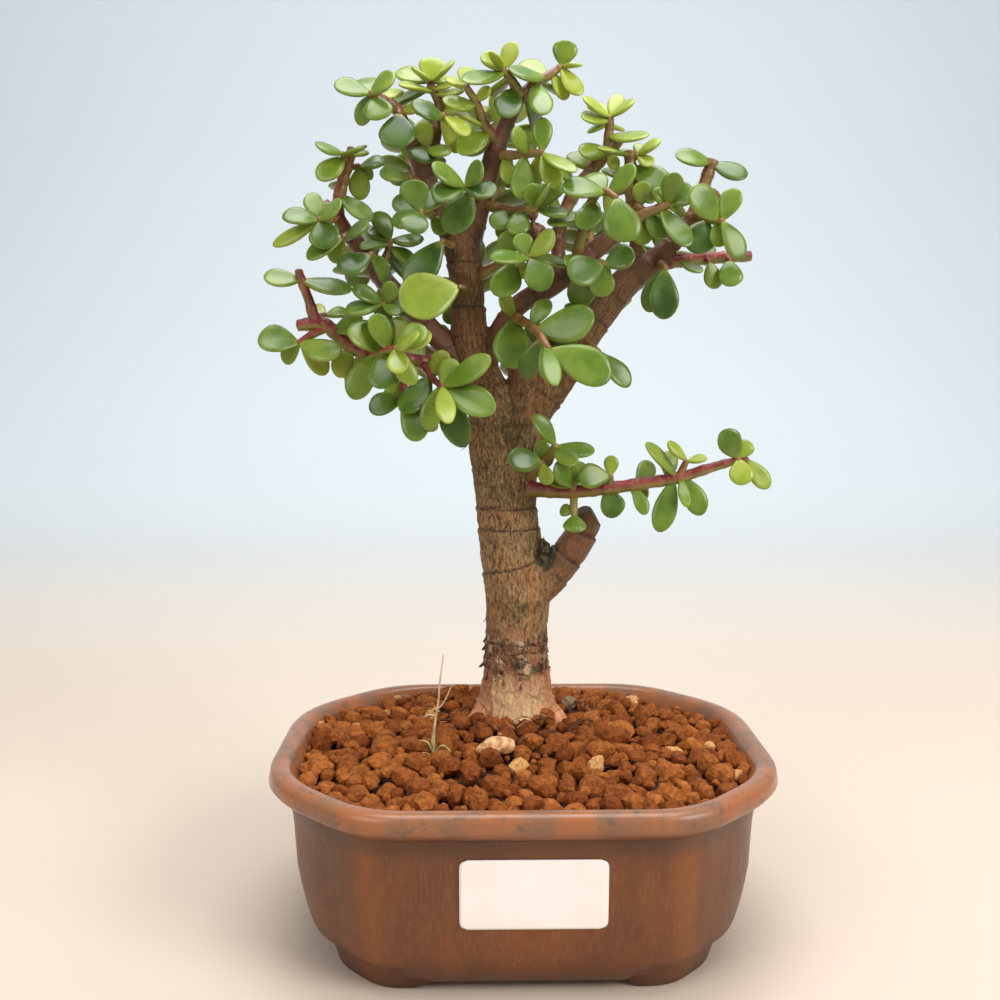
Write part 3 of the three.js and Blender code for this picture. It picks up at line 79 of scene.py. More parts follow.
# Trunk and woody branches: x, y, z, radius from the root end outwards.
TRUNK_LINE = [
    [-1, 24, 36, 9], [-1, 24, 46, 13], [-1, 24, 52, 14.2], [-1, 24, 57, 12.2],
    [-1, 24, 66, 10.8], [-1, 24, 79, 10.1], [-0.5, 24, 92, 10.8], [-2.5, 24, 105, 10.4],
    [-4, 24, 119, 10], [-4.8, 23, 131, 10.5], [-6, 22, 142, 10.6], [-8.5, 21, 152, 8.4],
    [-12, 20, 162, 6.7], [-15.5, 19, 172, 6], [-16.5, 18, 182, 5.6], [-17, 18, 192, 5.4],
    [-18.5, 18, 205, 5.9],
]
ROOTS = [
    [[-5, 22, 54, 7], [-13, 17, 50, 4.5], [-19, 13, 45, 2.5]],
    [[3, 22, 54, 7], [11, 18, 50, 4.5], [17, 13, 45, 2.5]],
    [[-5, 26, 54, 7], [-13, 33, 49, 4], [-18, 38, 44, 2.5]],
    [[3, 26, 54, 7], [11, 32, 49, 4.5], [18, 37, 44, 2.5]],
    [[0, 20, 53, 7], [1, 11, 49, 4], [2, 5, 44.5, 2.5]],
]
WOODY_BRANCHES = [
    [[-1, 24, 90, 8], [9, 23, 97, 6.8], [15, 21.5, 104, 5.8], [20, 20.5, 111.5, 5.4],
     [23.4, 20, 120.8, 4.7]],
    [[-3, 22, 141, 8.4], [4, 21, 152, 6.7], [12, 20, 163, 6.2], [19, 19, 174, 5.5],
     [26, 18, 184, 5.1], [33.5, 17, 193, 4.9], [41.5, 16, 199, 4.4]],
    [[38, 16.4, 196.5, 3.8], [48, 15.5, 205, 2.9], [52, 15.2, 210, 2.6]],
    [[38, 16.4, 197.8, 3], [49, 16, 199.4, 2.3]],
    [[-18.5, 18, 203, 5.2], [-24, 18, 212, 3.5], [-28, 18, 221, 3.2], [-31, 18, 229, 3.2],
     [-34.5, 17.5, 237, 2.3], [-36.5, 17, 242, 1.9]],
    [[-30, 18, 226, 2.8], [-27.3, 18, 234, 2.1], [-26, 18, 241, 1.8]],
    [[-18, 18, 203, 5.3], [-14, 18, 213, 3.8], [-11, 18, 222, 3.2], [-8.5, 18, 231, 3.3],
     [-5, 18, 240, 2.6], [-1.5, 18, 247, 2.2], [0.8, 18, 251, 2]],
    [[-13, 20, 163, 4.6], [-22, 18.5, 171, 3.8], [-31, 17, 181, 3.4], [-39, 16, 189, 3.2],
     [-45, 15.2, 196, 3], [-50, 15, 203, 2.7], [-56, 15, 210, 2.3]],
    [[-11, 19, 164, 3.2], [-8.4, 17.5, 174, 3.2], [-4.4, 16, 181, 3.3], [0.4, 15, 186.4, 3.3],
     [9, 14, 191, 3.3], [17, 13.2, 197.2, 3.3], [24.5, 12.6, 203.6, 3], [30, 12.5, 208, 2.4]],
    [[0, 21, 138, 9], [1, 20.5, 148, 7.5], [1.6, 20, 158, 6], [1, 20, 168, 4.8],
     [-1, 19.6, 176, 3.4]],
]

# Leafy shoots. stems: x, y, z, radius points. leaves: stem, place along it from
# 0 to 1, tip x, y, z, width, face (0 turns the upper side to the sky, 90 to the
# front). reach, one value per stem, carries the stem's end and its leaves that
# far forward along the line from EYE.
SHOOTS = [
  {
    "name": "low_right_shoot",
    "stems": [
      [[-1, 21, 127, 3], [8, 15, 127, 2.4], [16, 12.5, 126.8, 2.2], [28, 11, 128, 2],
        [40, 10, 129.8, 1.9], [50, 9.5, 131.5, 1.8], [58.5, 9, 134.2, 1.6], [66, 9, 136.4, 1.3],
        [72, 9, 137.6, 1]],
      [[17, 12.5, 126.5, 1.4], [17, 11.5, 121, 1.2], [17, 9.5, 119, 0.9]],
      [[28.5, 11, 128, 1.3], [28.3, 9, 132.6, 0.9]],
      [[50, 9.5, 131.5, 1.4], [51.4, 8.5, 135.3, 1.1], [52.4, 8, 137.5, 0.8]],
      [[16, 12.5, 127, 1.4], [17, 9.5, 129, 1]],
      [[67, 9, 136.8, 1.2], [69, 7.3, 138, 0.9]],
    ],
    "leaves": [
      [4, 1, 11, 8, 136.8, 8, 50], [4, 1, 9, 12, 131.5, 6, 55], [1, 1, 17, 4.5, 114.6, 7.5, 55],
      [1, 0.7, 12.5, 13, 120.5, 4.5, 60], [2, 1, 18, 6, 131.2, 8.5, 70],
      [2, 1, 28.7, 10, 138.6, 4.8, 70], [0, 0.4, 29.3, 7, 119.2, 8, 80],
      [0, 0.51, 39.2, 7, 119.8, 4.8, 60], [0, 0.53, 42.5, 16, 135.6, 6.5, 75],
      [0, 0.56, 37.6, 15, 124.6, 6, 75], [0, 0.7, 38.8, 5, 142.8, 7, 35],
      [0, 0.68, 43, 4.5, 114.8, 7.6, 60], [3, 1, 46.4, 7, 143.4, 4.6, 40],
      [3, 1, 58.4, 7, 138, 4.5, 25], [0, 0.71, 51.4, 5, 124, 4, 50], [0, 0.72, 57, 6, 120, 7.6, 70],
      [5, 1, 62.8, 5.5, 146.6, 8.4, 70], [5, 0.9, 71.6, 11, 143.4, 6, 60],
      [5, 1, 68.6, 3.5, 129.8, 8, 80], [0, 1, 77.8, 7, 128.2, 6.5, 65],
      [0, 0.66, 48, 5, 139.8, 6, 30], [4, 0.85, 19.4, 14, 136.5, 6, 55],
    ],
  },
  {
    "name": "low_left_shoot",
    "reach": [0, 0, 0, 14, 8, 12, -8],
    "stems": [
      [[-11, 20, 159, 3.2], [-20, 17, 164.5, 2.4], [-32, 14.5, 168, 2.2], [-46, 12.5, 169.5, 2.2],
        [-54, 12, 173.2, 2.1], [-60, 12, 178.6, 2.1], [-64, 12, 181, 1.9], [-66, 12, 187, 1.5],
        [-68.5, 12, 194, 1.4], [-69, 12, 196.6, 1.2]],
      [[-61, 12, 179.2, 2], [-65, 11.6, 179.6, 2], [-70, 11, 179, 1.8]],
      [[-60, 12, 178.6, 1.4], [-65.5, 10.5, 176, 1.2], [-69.3, 9.5, 173.4, 0.9]],
      [[-47, 12.5, 169.8, 1.5], [-43, 9, 171, 1.2], [-38.5, 6, 172, 0.9]],
      [[-37, 14, 168.5, 1.4], [-36.5, 9.5, 160, 1.1], [-37.3, 8, 153.5, 0.8]],
      [[-31, 14.7, 167.7, 1.4], [-28, 11.5, 163, 1.1], [-24.3, 9, 160, 0.9]],
      [[-64, 12, 181.3, 1.3], [-61.5, 15.5, 182.6, 0.9]],
    ],
    "leaves": [
      [0, 0.955, -79.6, 10.5, 194.2, 8, 46], [0, 0.955, -52.4, 9.5, 188.8, 9, 35],
      [2, 1, -81.4, 8, 175, 10.6, 55], [2, 1, -55.6, 5.5, 171.2, 9, 55],
      [2, 0.9, -61, 14, 164, 7, 60], [3, 0.5, -53, 5, 178.2, 9.5, 60],
      [3, 0.7, -45.4, 9.5, 182.5, 7.6, 65], [3, 1, -29.5, 5, 178.4, 9, 50],
      [3, 1, -31.6, 0, 175.4, 6.8, 60], [3, 1, -37, -1.5, 164.6, 7, 75],
      [3, 0.55, -42.6, 1.5, 159.2, 10.5, 80], [3, 0.9, -32.8, 4.5, 161, 6.5, 60],
      [3, 0.2, -52.4, 6, 156.6, 9, 75], [0, 0.5, -57.2, 10, 162.8, 7, 60],
      [4, 0.45, -40.5, 4, 154.4, 8.4, 75], [4, 0.8, -47.5, 8, 153.4, 8, 60],
      [4, 1, -31, 5, 143.6, 8.8, 80], [4, 0.95, -26.6, 10, 146.8, 6.5, 60],
      [5, 1, -21, 9.5, 168.8, 6.8, 60], [5, 1, -9.8, 6, 169.4, 8.5, 55],
      [5, 1, -8.4, 2, 152.4, 10, 65], [5, 0.95, -22.3, 3.5, 151, 6.2, 70],
      [5, 0.85, -17.6, 7.5, 141.4, 9, 80], [5, 0.45, -36.6, 5, 153, 8.8, 70],
      [5, 0.2, -23.2, 15, 168.4, 7, 50], [6, 1, -54, 16, 183.4, 7, 30],
      [6, 1, -67, 19.5, 185, 6, 40], [5, 0.9, -29.3, 12, 147.5, 7, 75],
      [0, 0.45, -55.7, 9, 163.2, 7, 75], [0, 0.5, -49, 10, 182, 8, 60],
      [2, 0.95, -74.2, 12, 167.5, 6, 70], [3, 0.9, -27.5, 5, 176, 8, 50],
      [3, 0.6, -35.8, 6, 181.2, 8, 60], [5, 0.5, -22.8, 10, 170.9, 7, 50],
      [0, 0.7, -49.3, 9, 181.3, 8, 55], [0, 0.6, -57, 9, 163.2, 7, 75],
      [0, 0.3, -35.7, 18, 174.8, 8, 50],
    ],
  },
  {
    "name": "right_stub_shoot",
    "stems": [
      [[47, 16, 199.2, 2.2], [60, 16, 200.3, 1.9], [73, 16, 201, 1.6]],
      [[58, 16, 200, 1.3], [59, 12.8, 198.8, 0.9]],
      [[65, 16, 200.6, 1.3], [65.3, 12.8, 199.2, 0.9]],
    ],
    "leaves": [
      [1, 1, 61.4, 9, 190.6, 6.5, 50], [2, 1, 64.6, 9, 191.4, 8, 75],
      [0, 0.16, 53.6, 11, 193.4, 5, 45], [0, 0.5, 58, 25, 207, 7, 40],
    ],
  },
  {
    "name": "right_hanging_leaves",
    "reach": [6],
    "stems": [[[43.5, 16, 199, 1.7], [45, 11.5, 196.6, 1]]],
    "leaves": [[0, 1, 44.2, 8, 181.2, 9.5, 80], [0, 0.9, 39.8, 11.5, 183.4, 7.5, 65]],
  },
  {
    "name": "upper_right_shoot",
    "reach": [0, 0, 10],
    "stems": [
      [[50.5, 15.3, 208, 2.6], [54, 15, 213, 2.5], [57, 15, 222, 2], [59.7, 15, 230.6, 1.8]],
      [[55.5, 15, 215, 2], [61.6, 14, 220.3, 2]],
      [[53.5, 15, 213.5, 1.5], [58.5, 12, 211.5, 1.2], [62.3, 10, 211, 0.9]],
    ],
    "leaves": [
      [0, 0.96, 48.2, 11, 232, 8, 50], [0, 0.94, 69.8, 11.5, 224.7, 8, 50],
      [2, 0.9, 51.4, 6, 220, 10, 70], [2, 1, 66.4, 11, 221, 6.8, 50],
      [2, 1, 67.8, 7.5, 199.2, 7.5, 50], [2, 0.5, 52.6, 7.5, 201.2, 10, 75],
      [2, 0.8, 61, 17, 203, 6, 50],
    ],
  },
  {
    "name": "upright_shoot",
    "stems": [
      [[35, 17, 195, 2.6], [36.5, 17.2, 206, 2.1], [35, 17, 216, 2], [34.5, 16.5, 225, 1.9],
        [33.8, 16, 233.4, 1.7]],
      [[34.2, 16.2, 230, 1.2], [36.6, 15, 231.8, 0.8]],
    ],
    "leaves": [
      [0, 0.78, 42.2, 8.5, 215.6, 7.4, 40], [0, 0.87, 45.2, 9.5, 221.2, 9.6, 65],
      [1, 1, 42.8, 12, 235.8, 5.5, 40], [0, 0.96, 23.6, 10, 233.3, 7, 25],
      [1, 1, 37, 10.5, 236.4, 3.2, 60], [0, 0.7, 30, 24, 222, 8, 50],
      [0, 0.75, 27.2, 22, 231, 7, 40], [1, 1, 40.3, 12, 227.5, 5, 60],
      [0, 0.97, 31.2, 17, 237.1, 4, 45], [0, 0.5, 41.8, 20, 210.7, 7, 50],
    ],
  },
  {
    "name": "rear_right_shoot",
    "stems": [
      [[12.6, 13.8, 194, 2.4], [12, 19, 206, 2.2], [15, 21.5, 217, 2.1], [21, 21.5, 226, 2.1],
        [27, 20, 233, 1.9], [31.3, 19, 237.6, 1.9]],
      [[27, 20, 233, 1.5], [27.7, 19, 239, 1.4], [28, 18.5, 244.4, 1.1]],
    ],
    "leaves": [
      [1, 1, 19.4, 15, 249.3, 6, 40], [1, 1, 31.6, 17.5, 251.8, 5.5, 60],
      [1, 1, 34.6, 14, 248.2, 6, 40], [1, 0.85, 18.6, 14, 242, 7.5, 45],
      [1, 0.8, 21, 22, 240.6, 7, 30], [1, 0.45, 37.8, 14, 235.4, 8, 45],
      [0, 0.9, 18.2, 15, 232.3, 8, 55], [0, 0.6, 10.5, 17, 229.8, 7, 40],
      [0, 0.6, 24, 30, 222, 8, 50], [0, 0.4, 6, 20, 222, 7, 50], [1, 0.7, 32, 28, 243, 7, 50],
      [0, 0.75, 15.4, 25, 234, 7, 50], [1, 1, 21.5, 17, 249.1, 5, 45],
      [0, 0.9, 30.5, 17, 225.3, 6, 60], [0, 0.35, 8.5, 26, 208.8, 7, 55],
    ],
  },
  {
    "name": "inner_right_shoot",
    "reach": [6, 2],
    "stems": [
      [[28, 12.5, 206.2, 2.3], [33, 11.5, 209.8, 2], [38, 11.3, 213, 1.8], [46, 10.4, 216.2, 1.1]],
      [[34, 11.4, 211, 1.7], [37.2, 10.8, 216, 1.8]],
    ],
    "leaves": [
      [0, 0.5, 38, 6.5, 203.6, 7, 75], [0, 0.62, 44.4, 8.5, 206, 7.4, 55],
      [0, 0.85, 50.4, 6.5, 202.4, 7.8, 50], [0, 1, 52, 9, 221.6, 9.4, 60],
      [0, 0.95, 47, 18, 226, 8, 60], [0, 1, 51.4, 12, 213.9, 6, 50],
      [0, 0.9, 41.7, 14, 221.2, 5, 45], [1, 0.9, 37.3, 16, 222.4, 6, 50],
    ],
  },
  {
    "name": "inner_rising_shoot",
    "reach": [12],
    "stems": [
      [[17, 13.2, 197.6, 2], [19, 12, 208, 1.6], [22, 11, 217.5, 1.3], [25.6, 9, 219.6, 1.1],
        [29.2, 7, 217.3, 0.9]],
    ],
    "leaves": [
      [0, 0.82, 12.8, 5, 221, 9.6, 50], [0, 0.84, 34.4, 4.5, 226.3, 8, 50],
      [0, 0.8, 21.4, 14, 226.5, 7.5, 60], [0, 1, 32.2, 1.5, 204.2, 11.4, 85],
      [0, 0.62, 18.4, 6, 207.4, 8.5, 55], [0, 0.5, 8, 7, 210, 7.4, 35],
      [0, 0.8, 28.1, 12, 213.3, 5, 70], [0, 0.65, 25.3, 14, 212.6, 5, 60],
    ],
  },
  {
    "name": "inner_front_shoot",
    "reach": [8],
    "stems": [
      [[19.6, 13, 199.4, 1.8], [22.5, 8.5, 198, 1.2], [25.4, 6, 197.4, 0.9]],
    ],
    "leaves": [
      [0, 1, 34.2, 3.5, 200.6, 9, 60], [0, 1, 14, 1.5, 193, 10.4, 75],
      [0, 0.95, 24, 5, 187.6, 8, 60], [0, 0.7, 16.5, 11, 184.8, 9, 80],
      [0, 0.4, 13, 15, 197.1, 7, 55],
    ],
  },
  {
    "name": "centre_shoot",
    "reach": [16],
    "stems": [
      [[-3, 15.6, 182.4, 2], [2, 10, 179.5, 1.4], [5.3, 7.5, 176.6, 1.2], [8.8, 7, 171.4, 0.9]],
    ],
    "leaves": [
      [0, 0.08, -2.6, 4, 166.6, 11.8, 80], [0, 0.62, 22, 3, 182, 12.4, 65],
      [0, 0.66, 18.6, 0, 170, 8.5, 45], [0, 1, 27, 2.5, 162.5, 12, 70],
      [0, 0.9, 9.6, 3.5, 161.4, 5.5, 60], [0, 0.8, 0.5, 9, 162.6, 7, 60],
      [0, 0.5, 8.6, 10, 187.2, 6, 60], [0, 0.12, -8.4, 12, 191.9, 7, 75],
      [0, 0.85, 8.3, 8, 161.9, 6, 75],
    ],
  },
  {
    "name": "right_branch_sprig",
    "reach": [8],
    "stems": [[[19.5, 19, 174.5, 1.8], [22.5, 13, 172.4, 1.2], [24.6, 10.5, 170.6, 0.9]]],
    "leaves": [[0, 1, 34, 8.5, 160.4, 7.6, 45], [0, 0.9, 31, 20, 163, 7, 50]],
  },
  {
    "name": "mid_shoot",
    "reach": [10],
    "stems": [[[-15, 18, 194, 2], [-5, 14, 198.6, 1.4], [3, 10.5, 200.3, 1]]],
    "leaves": [
      [0, 1, 9.8, 8, 207.8, 7.4, 50], [0, 0.95, -0.5, 11.5, 207.4, 6.5, 60],
      [0, 1, -9.6, 6, 199, 8, 38], [0, 1, 6.8, 5, 190.4, 9.4, 80],
      [0, 0.7, -7.6, 7.5, 187.8, 9.4, 75], [0, 1, 15.4, 8, 199, 7, 40],
      [0, 0.6, -3.4, 11, 208.5, 7, 60], [0, 0.8, 0.8, 17, 193.2, 6, 75],
    ],
  },
  # dried flower head on its thin stalk
  {
    "name": "dried_flower_sprig",
    "stems": [[[8, 14.2, 190.6, 1.3], [5.6, 12, 199, 0.9], [4.2, 10.5, 206, 0.9], [3.6, 10, 211, 0.8]]],
    "leaves": [
      [0, 0.95, 2.6, 8.5, 203.4, 4.5, 75], [0, 1, 0.2, 8.5, 206.8, 4, 60],
      [0, 1, 6.6, 8, 206, 4, 60], [0, 1, 3.4, 9, 215.6, 4, 60],
    ],
  },
  {
    "name": "mid_upper_shoot",
    "reach": [8],
    "stems": [[[-12, 18, 217, 1.8], [-3, 14.5, 214.6, 1.3], [5.3, 11.5, 214.7, 1]]],
    "leaves": [
      [0, 1, 2.3, 9, 221.8, 7, 65], [0, 1, 14.6, 8, 213.2, 7.2, 32],
      [0, 0.7, -2, 8, 206.8, 7.6, 60], [0, 0.5, -8.5, 11, 209, 7, 60],
      [0, 0.95, 8, 16, 220.5, 7, 50], [0, 1, 13.3, 13, 224.2, 7, 55],
      [0, 0.6, -9.6, 11, 204.3, 7, 75],
    ],
  },
  {
    "name": "right_fork_shoot",
    "reach": [6],
    "stems": [[[-8, 18, 231.5, 1.8], [0, 15, 231.6, 1.3], [7, 12.5, 231.8, 1]]],
    "leaves": [
      [0, 0.7, -2.8, 9, 238, 6.6, 60], [0, 1, 6.8, 12, 242.8, 6.4, 50],
      [0, 1, 15.8, 9, 224.3, 6.2, 35], [0, 0.6, 0, 9, 216.8, 7.6, 80], [0, 0.8, 1, 18, 240, 6, 50],
      [0, 0.9, 5, 19, 223.5, 6, 50], [0, 0.2, -3.4, 13, 222.4, 5.5, 75],
      [0, 1, 10.7, 12, 220.2, 7, 60],
    ],
  },
  {
    "name": "crest_right_shoot",
    "reach": [-4, 6],
    "stems": [
      [[0, 18, 249.5, 1.9], [4, 17.8, 253.4, 1.5], [9, 17.3, 256, 1.3], [13, 16.5, 258.7, 1]],
      [[0, 18, 249.5, 1.9], [-3, 17.4, 254.6, 1.3], [-6.2, 16.5, 257.6, 1]],
    ],
    "leaves": [
      [0, 1, 14.4, 16.5, 266.2, 8, 65], [0, 1, 18.6, 14, 258.8, 4.6, 15],
      [0, 0.75, 14.4, 11, 248.7, 6.2, 45], [0, 0.95, 18.2, 13.5, 248.9, 6.4, 50],
      [0, 0.65, 0, 21, 261.2, 7.5, 50], [0, 0.6, -3.6, 10, 255, 8.6, 50],
      [0, 0.35, 6.4, 10.5, 242.3, 7.6, 80], [1, 1, -2, 15, 265, 5.8, 60],
      [1, 1, -12, 14, 261, 6.4, 60], [1, 0.85, -17.4, 9.5, 250.4, 8.4, 45],
      [1, 1, -9, 11, 260, 4.6, 45], [1, 0.3, -5.4, 9, 241.6, 8.8, 85], [0, 0.5, 12, 26, 253, 8, 40],
      [1, 0.7, -8, 26, 252, 8, 40], [0, 0.12, 7.7, 20, 243.1, 8.6, 75],
    ],
  },
  {
    "name": "red_spur_shoot",
    "reach": [8],
    "stems": [[[-7, 18, 235, 2], [-11, 16.5, 240.5, 1.5], [-14, 16, 247.5, 1.3], [-17.5, 15, 252.6, 0.9]]],
    "leaves": [
      [0, 1, -17.2, 17, 261.2, 6.4, 70], [0, 0.66, -23.5, 10.5, 247.4, 7.6, 50],
      [0, 0.5, -12.5, 23, 248, 6.5, 50], [0, 0.25, -19, 9, 230.8, 8.4, 60],
      [0, 0.35, -20.2, 12, 244, 6.4, 30], [0, 0.2, -19.6, 23, 235.7, 8, 60],
      [0, 0.95, -23, 13, 253.3, 5, 40], [0, 0.72, -9.6, 12, 251.6, 5, 50],
    ],
  },
  {
    "name": "crest_left_shoot",
    "reach": [-4, 8],
    "stems": [
      [[-26, 18, 239.5, 1.8], [-25.2, 18, 247, 1.5], [-27.6, 16, 252, 1.2], [-28.2, 15.5, 254, 0.9]],
      [[-25.6, 18, 243, 1.2], [-23.6, 13.5, 243, 0.9]],
    ],
    "leaves": [
      [0, 0.85, -42.2, 13, 248, 8, 40], [0, 1, -38.4, 19.5, 258.6, 8, 50],
      [0, 1, -26.4, 18, 261.2, 9, 70], [0, 1, -32.6, 9.5, 256, 7.6, 35],
      [0, 0.75, -36.6, 8.5, 251.4, 8.2, 30], [0, 0.7, -17.8, 11.5, 249.6, 7, 30],
      [0, 1, -20.2, 12.5, 257, 7.6, 40], [1, 1, -33, 8.5, 244.6, 8.4, 55],
      [1, 0.9, -16.2, 9.5, 236.4, 6.6, 35], [1, 0.6, -19, 14, 233.2, 6.8, 50],
      [0, 0.3, -33, 22, 248, 7.4, 50], [0, 0.6, -22, 27, 252, 8, 45],
      [0, 1, -21.1, 12, 255.4, 6, 45], [0, 0.4, -17.9, 17, 245.9, 6.5, 55],
      [0, 0.8, -21.8, 13, 251.8, 4.6, 45], [0, 0.2, -34.4, 23, 243.3, 6, 60],
    ],
  },
  {
    "name": "left_fork_shoot",
    "reach": [6, 6],
    "stems": [
      [[-35.5, 17.2, 240, 1.9], [-38.5, 16.5, 245.5, 1.7], [-42.5, 15.6, 248, 1.4],
        [-46.8, 14, 249.8, 1]],
      [[-37.2, 16.9, 243.2, 1.4], [-37.6, 13.2, 243.6, 1]],
    ],
    "leaves": [
      [0, 1, -57, 12, 252, 8.4, 50], [0, 1, -38.6, 11, 254.6, 8.4, 50],
      [0, 1, -49.8, 20, 256.4, 7.4, 55], [0, 0.85, -43.6, 8.5, 240.5, 9.4, 80],
      [0, 0.9, -51.6, 19, 241.8, 8, 55], [1, 1, -38.4, 8.5, 232, 11.4, 85],
      [0, 0.5, -45, 26, 245, 8, 45], [0, 0.7, -36.6, 20, 253.8, 6, 40],
      [0, 0.3, -30.5, 20, 247.2, 5.5, 50],
    ],
  },
  {
    "name": "fork_gap_shoot",
    "stems": [[[-29, 18, 229.5, 1.6], [-28.5, 14, 234, 1]]],
    "leaves": [
      [0, 1, -31, 9, 228.4, 8.8, 75], [0, 0.8, -30.6, 21, 241, 6.2, 55],
      [0, 0.85, -21.4, 17, 230.6, 7, 60],
    ],
  },
  {
    "name": "leader_upper_shoot",
    "reach": [10],
    "stems": [[[-12, 18, 218, 1.6], [-15, 14, 220.4, 1.2], [-17.4, 11, 221.2, 0.9]]],
    "leaves": [
      [0, 1, -27, 8.5, 227.4, 7.6, 50], [0, 1, -12, 9.5, 228, 7.6, 50],
      [0, 0.95, -26.4, 5, 217.4, 8.6, 55], [0, 0.95, -8.2, 6, 219, 8.4, 50],
      [0, 0.6, -22.6, 8, 207.6, 10, 80], [0, 0.5, -20.6, 19, 214.1, 7, 60],
    ],
  },
  {
    "name": "leader_left_shoot",
    "reach": [14],
    "stems": [[[-24.5, 18, 212, 1.6], [-28, 13.5, 213, 1.2], [-31.2, 10.5, 213.8, 0.9]]],
    "leaves": [
      [0, 1, -34.8, 9, 222.6, 8.2, 75], [0, 0.9, -26, 13, 220.8, 8, 60],
      [0, 0.95, -40, 9, 210.8, 8, 50], [0, 1, -32.4, 5, 206.6, 8.6, 80],
      [0, 0.7, -39.6, 17, 219, 8, 60], [0, 0.5, -23, 15, 207.8, 6, 60],
    ],
  },
  {
    "name": "left_end_shoot",
    "reach": [0, 0, 4, -6, 10],
    "stems": [
      [[-55, 15, 209, 2.3], [-57, 15, 214, 2], [-55.6, 15, 222, 1.8], [-53, 15, 230, 1.5],
        [-52.4, 15, 234, 1.2]],
      [[-56.5, 15, 212, 1.8], [-61.6, 14, 217, 1.7]],
      [[-53.5, 15, 229, 1.2], [-55, 13, 231.6, 0.8]],
      [[-54, 15, 227.5, 1.2], [-49.6, 13.6, 227.8, 0.8]],
      [[-56.6, 15, 213, 1.4], [-59.5, 12.5, 211.2, 1.1], [-62.6, 11, 211.2, 0.9]],
    ],
    "leaves": [
      [2, 1, -62.8, 10, 233.9, 8, 32], [2, 1, -47.2, 10.5, 232.8, 7, 20],
      [2, 0.7, -62, 9, 223.6, 8.2, 55], [3, 1, -41.6, 12, 229, 7.4, 40],
      [3, 1, -49.2, 10, 217.4, 6.8, 55], [0, 0.42, -46, 9, 211, 7, 40], [4, 1, -73, 9, 213, 8, 45],
      [4, 1, -54.6, 7.5, 216, 8.2, 45], [4, 0.85, -65.4, 17, 220.4, 6, 45],
      [4, 0.6, -62, 20, 217.5, 6.5, 55], [4, 0.95, -76.4, 14, 203, 5.6, 55],
      [4, 0.95, -59, 5.5, 202.6, 9.4, 75], [0, 0.6, -58, 26, 224, 8, 45],
      [0, 0.9, -47, 15, 232.5, 4, 30], [3, 0.9, -45.7, 17, 225.1, 5, 60],
    ],
  },
  {
    "name": "fork_side_leaves",
    "stems": [[[-29, 18, 223.5, 1.6], [-33, 16.4, 224.4, 1.1], [-35.2, 16, 224.7, 0.8]]],
    "leaves": [[0, 1, -43.8, 14, 225.6, 7.4, 50], [0, 0.9, -38, 25, 218, 8, 55]],
  },
  {
    "name": "left_branch_shoot",
    "reach": [10],
    "stems": [[[-53.5, 15, 207, 1.6], [-55, 11.8, 206, 0.9]]],
    "leaves": [
      [0, 1, -47, 8.5, 209.8, 8, 40], [0, 1, -66, 9.5, 199.4, 7, 45],
      [0, 0.9, -58.8, 14.5, 198.6, 6, 60],
    ],
  },
  {
    "name": "left_branch_leaf",
    "reach": [10],
    "stems": [[[-47.5, 15, 199.5, 1.7], [-46.4, 11, 200.8, 1]]],
    "leaves": [[0, 1, -56, 7.5, 195.6, 9.4, 55], [0, 0.8, -40, 22, 193.5, 8, 50]],
  },
  {
    "name": "left_twig",
    "reach": [-6],
    "stems": [[[-45, 15.2, 196, 1.7], [-42, 13.5, 200.5, 1.2], [-40.3, 12.5, 205.8, 0.9]]],
    "leaves": [
      [0, 1, -44.8, 12, 214, 7, 45], [0, 0.95, -47.4, 9.5, 209, 7, 45],
      [0, 1, -30, 10.5, 204.6, 7.4, 38], [0, 0.85, -47.8, 8.5, 203, 6.5, 32],
      [0, 0.75, -33, 11.5, 198.6, 6.6, 38], [0, 0.5, -35.8, 11, 194, 6.4, 50],
      [0, 0.5, -38.3, 18, 204.1, 6.5, 50],
    ],
  },
  {
    "name": "leader_leaf",
    "reach": [8],
    "stems": [[[-20, 18, 203, 1.3], [-23, 13, 204.8, 0.9], [-24.6, 11, 205, 0.7]]],
    "leaves": [[0, 1, -35.4, 7, 191.2, 10.6, 65], [0, 0.8, -28, 24, 200, 8, 50]],
  },
  {
    "name": "leader_front_leaf",
    "reach": [11],
    "stems": [[[-17, 18, 190, 1.3], [-18, 10.5, 190.8, 0.8], [-19, 8, 190.8, 0.7]]],
    "leaves": [[0, 1, -37.4, 4.5, 186, 14.8, 78]],
  },
  {
    "name": "left_branch_underside",
    "reach": [8],
    "stems": [[[-38, 16.1, 188, 1.7], [-41, 12, 186, 1.2], [-43, 10.5, 185.5, 0.9]]],
    "leaves": [
      [0, 0.9, -39.4, 8, 192.2, 6, 65], [0, 1, -54, 9, 183.6, 8.4, 35],
      [0, 0.6, -34, 9.5, 183.6, 8, 50], [0, 1, -51.4, 13, 190.8, 6, 55],
      [0, 1, -35.2, 12, 181.1, 6, 50], [0, 0.95, -43.1, 13, 179.9, 6, 70],
    ],
  },
  {
    "name": "trunk_spur_shoot",
    "reach": [4, 6],
    "stems": [
      [[2, 18, 131, 2.2], [8, 12.3, 136, 1.7], [11.3, 10, 142, 1.2]],
      [[7.6, 12.6, 135.6, 1.3], [6.6, 9, 136.4, 0.9]],
    ],
    "leaves": [
      [0, 1, 4.8, 7.5, 151.6, 6.4, 42], [0, 1, 22.9, 6.5, 140.8, 6.8, 42],
      [0, 0.9, 14.8, 4, 137, 6.8, 42], [1, 1, -3.8, 4.5, 138.2, 8.6, 65],
      [0, 0.45, 6.9, 15, 143.4, 5.5, 60], [1, 1, 8.9, 9, 129.3, 5, 75],
    ],
  },
  # shoots that fill the sides and the back of the crown
  {
    "name": "rear_low_left_shoot",
    "reach": [-13],
    "stems": [[[-16.5, 19.5, 166, 2], [-27, 27, 170, 1.6], [-36, 34, 176, 1]]],
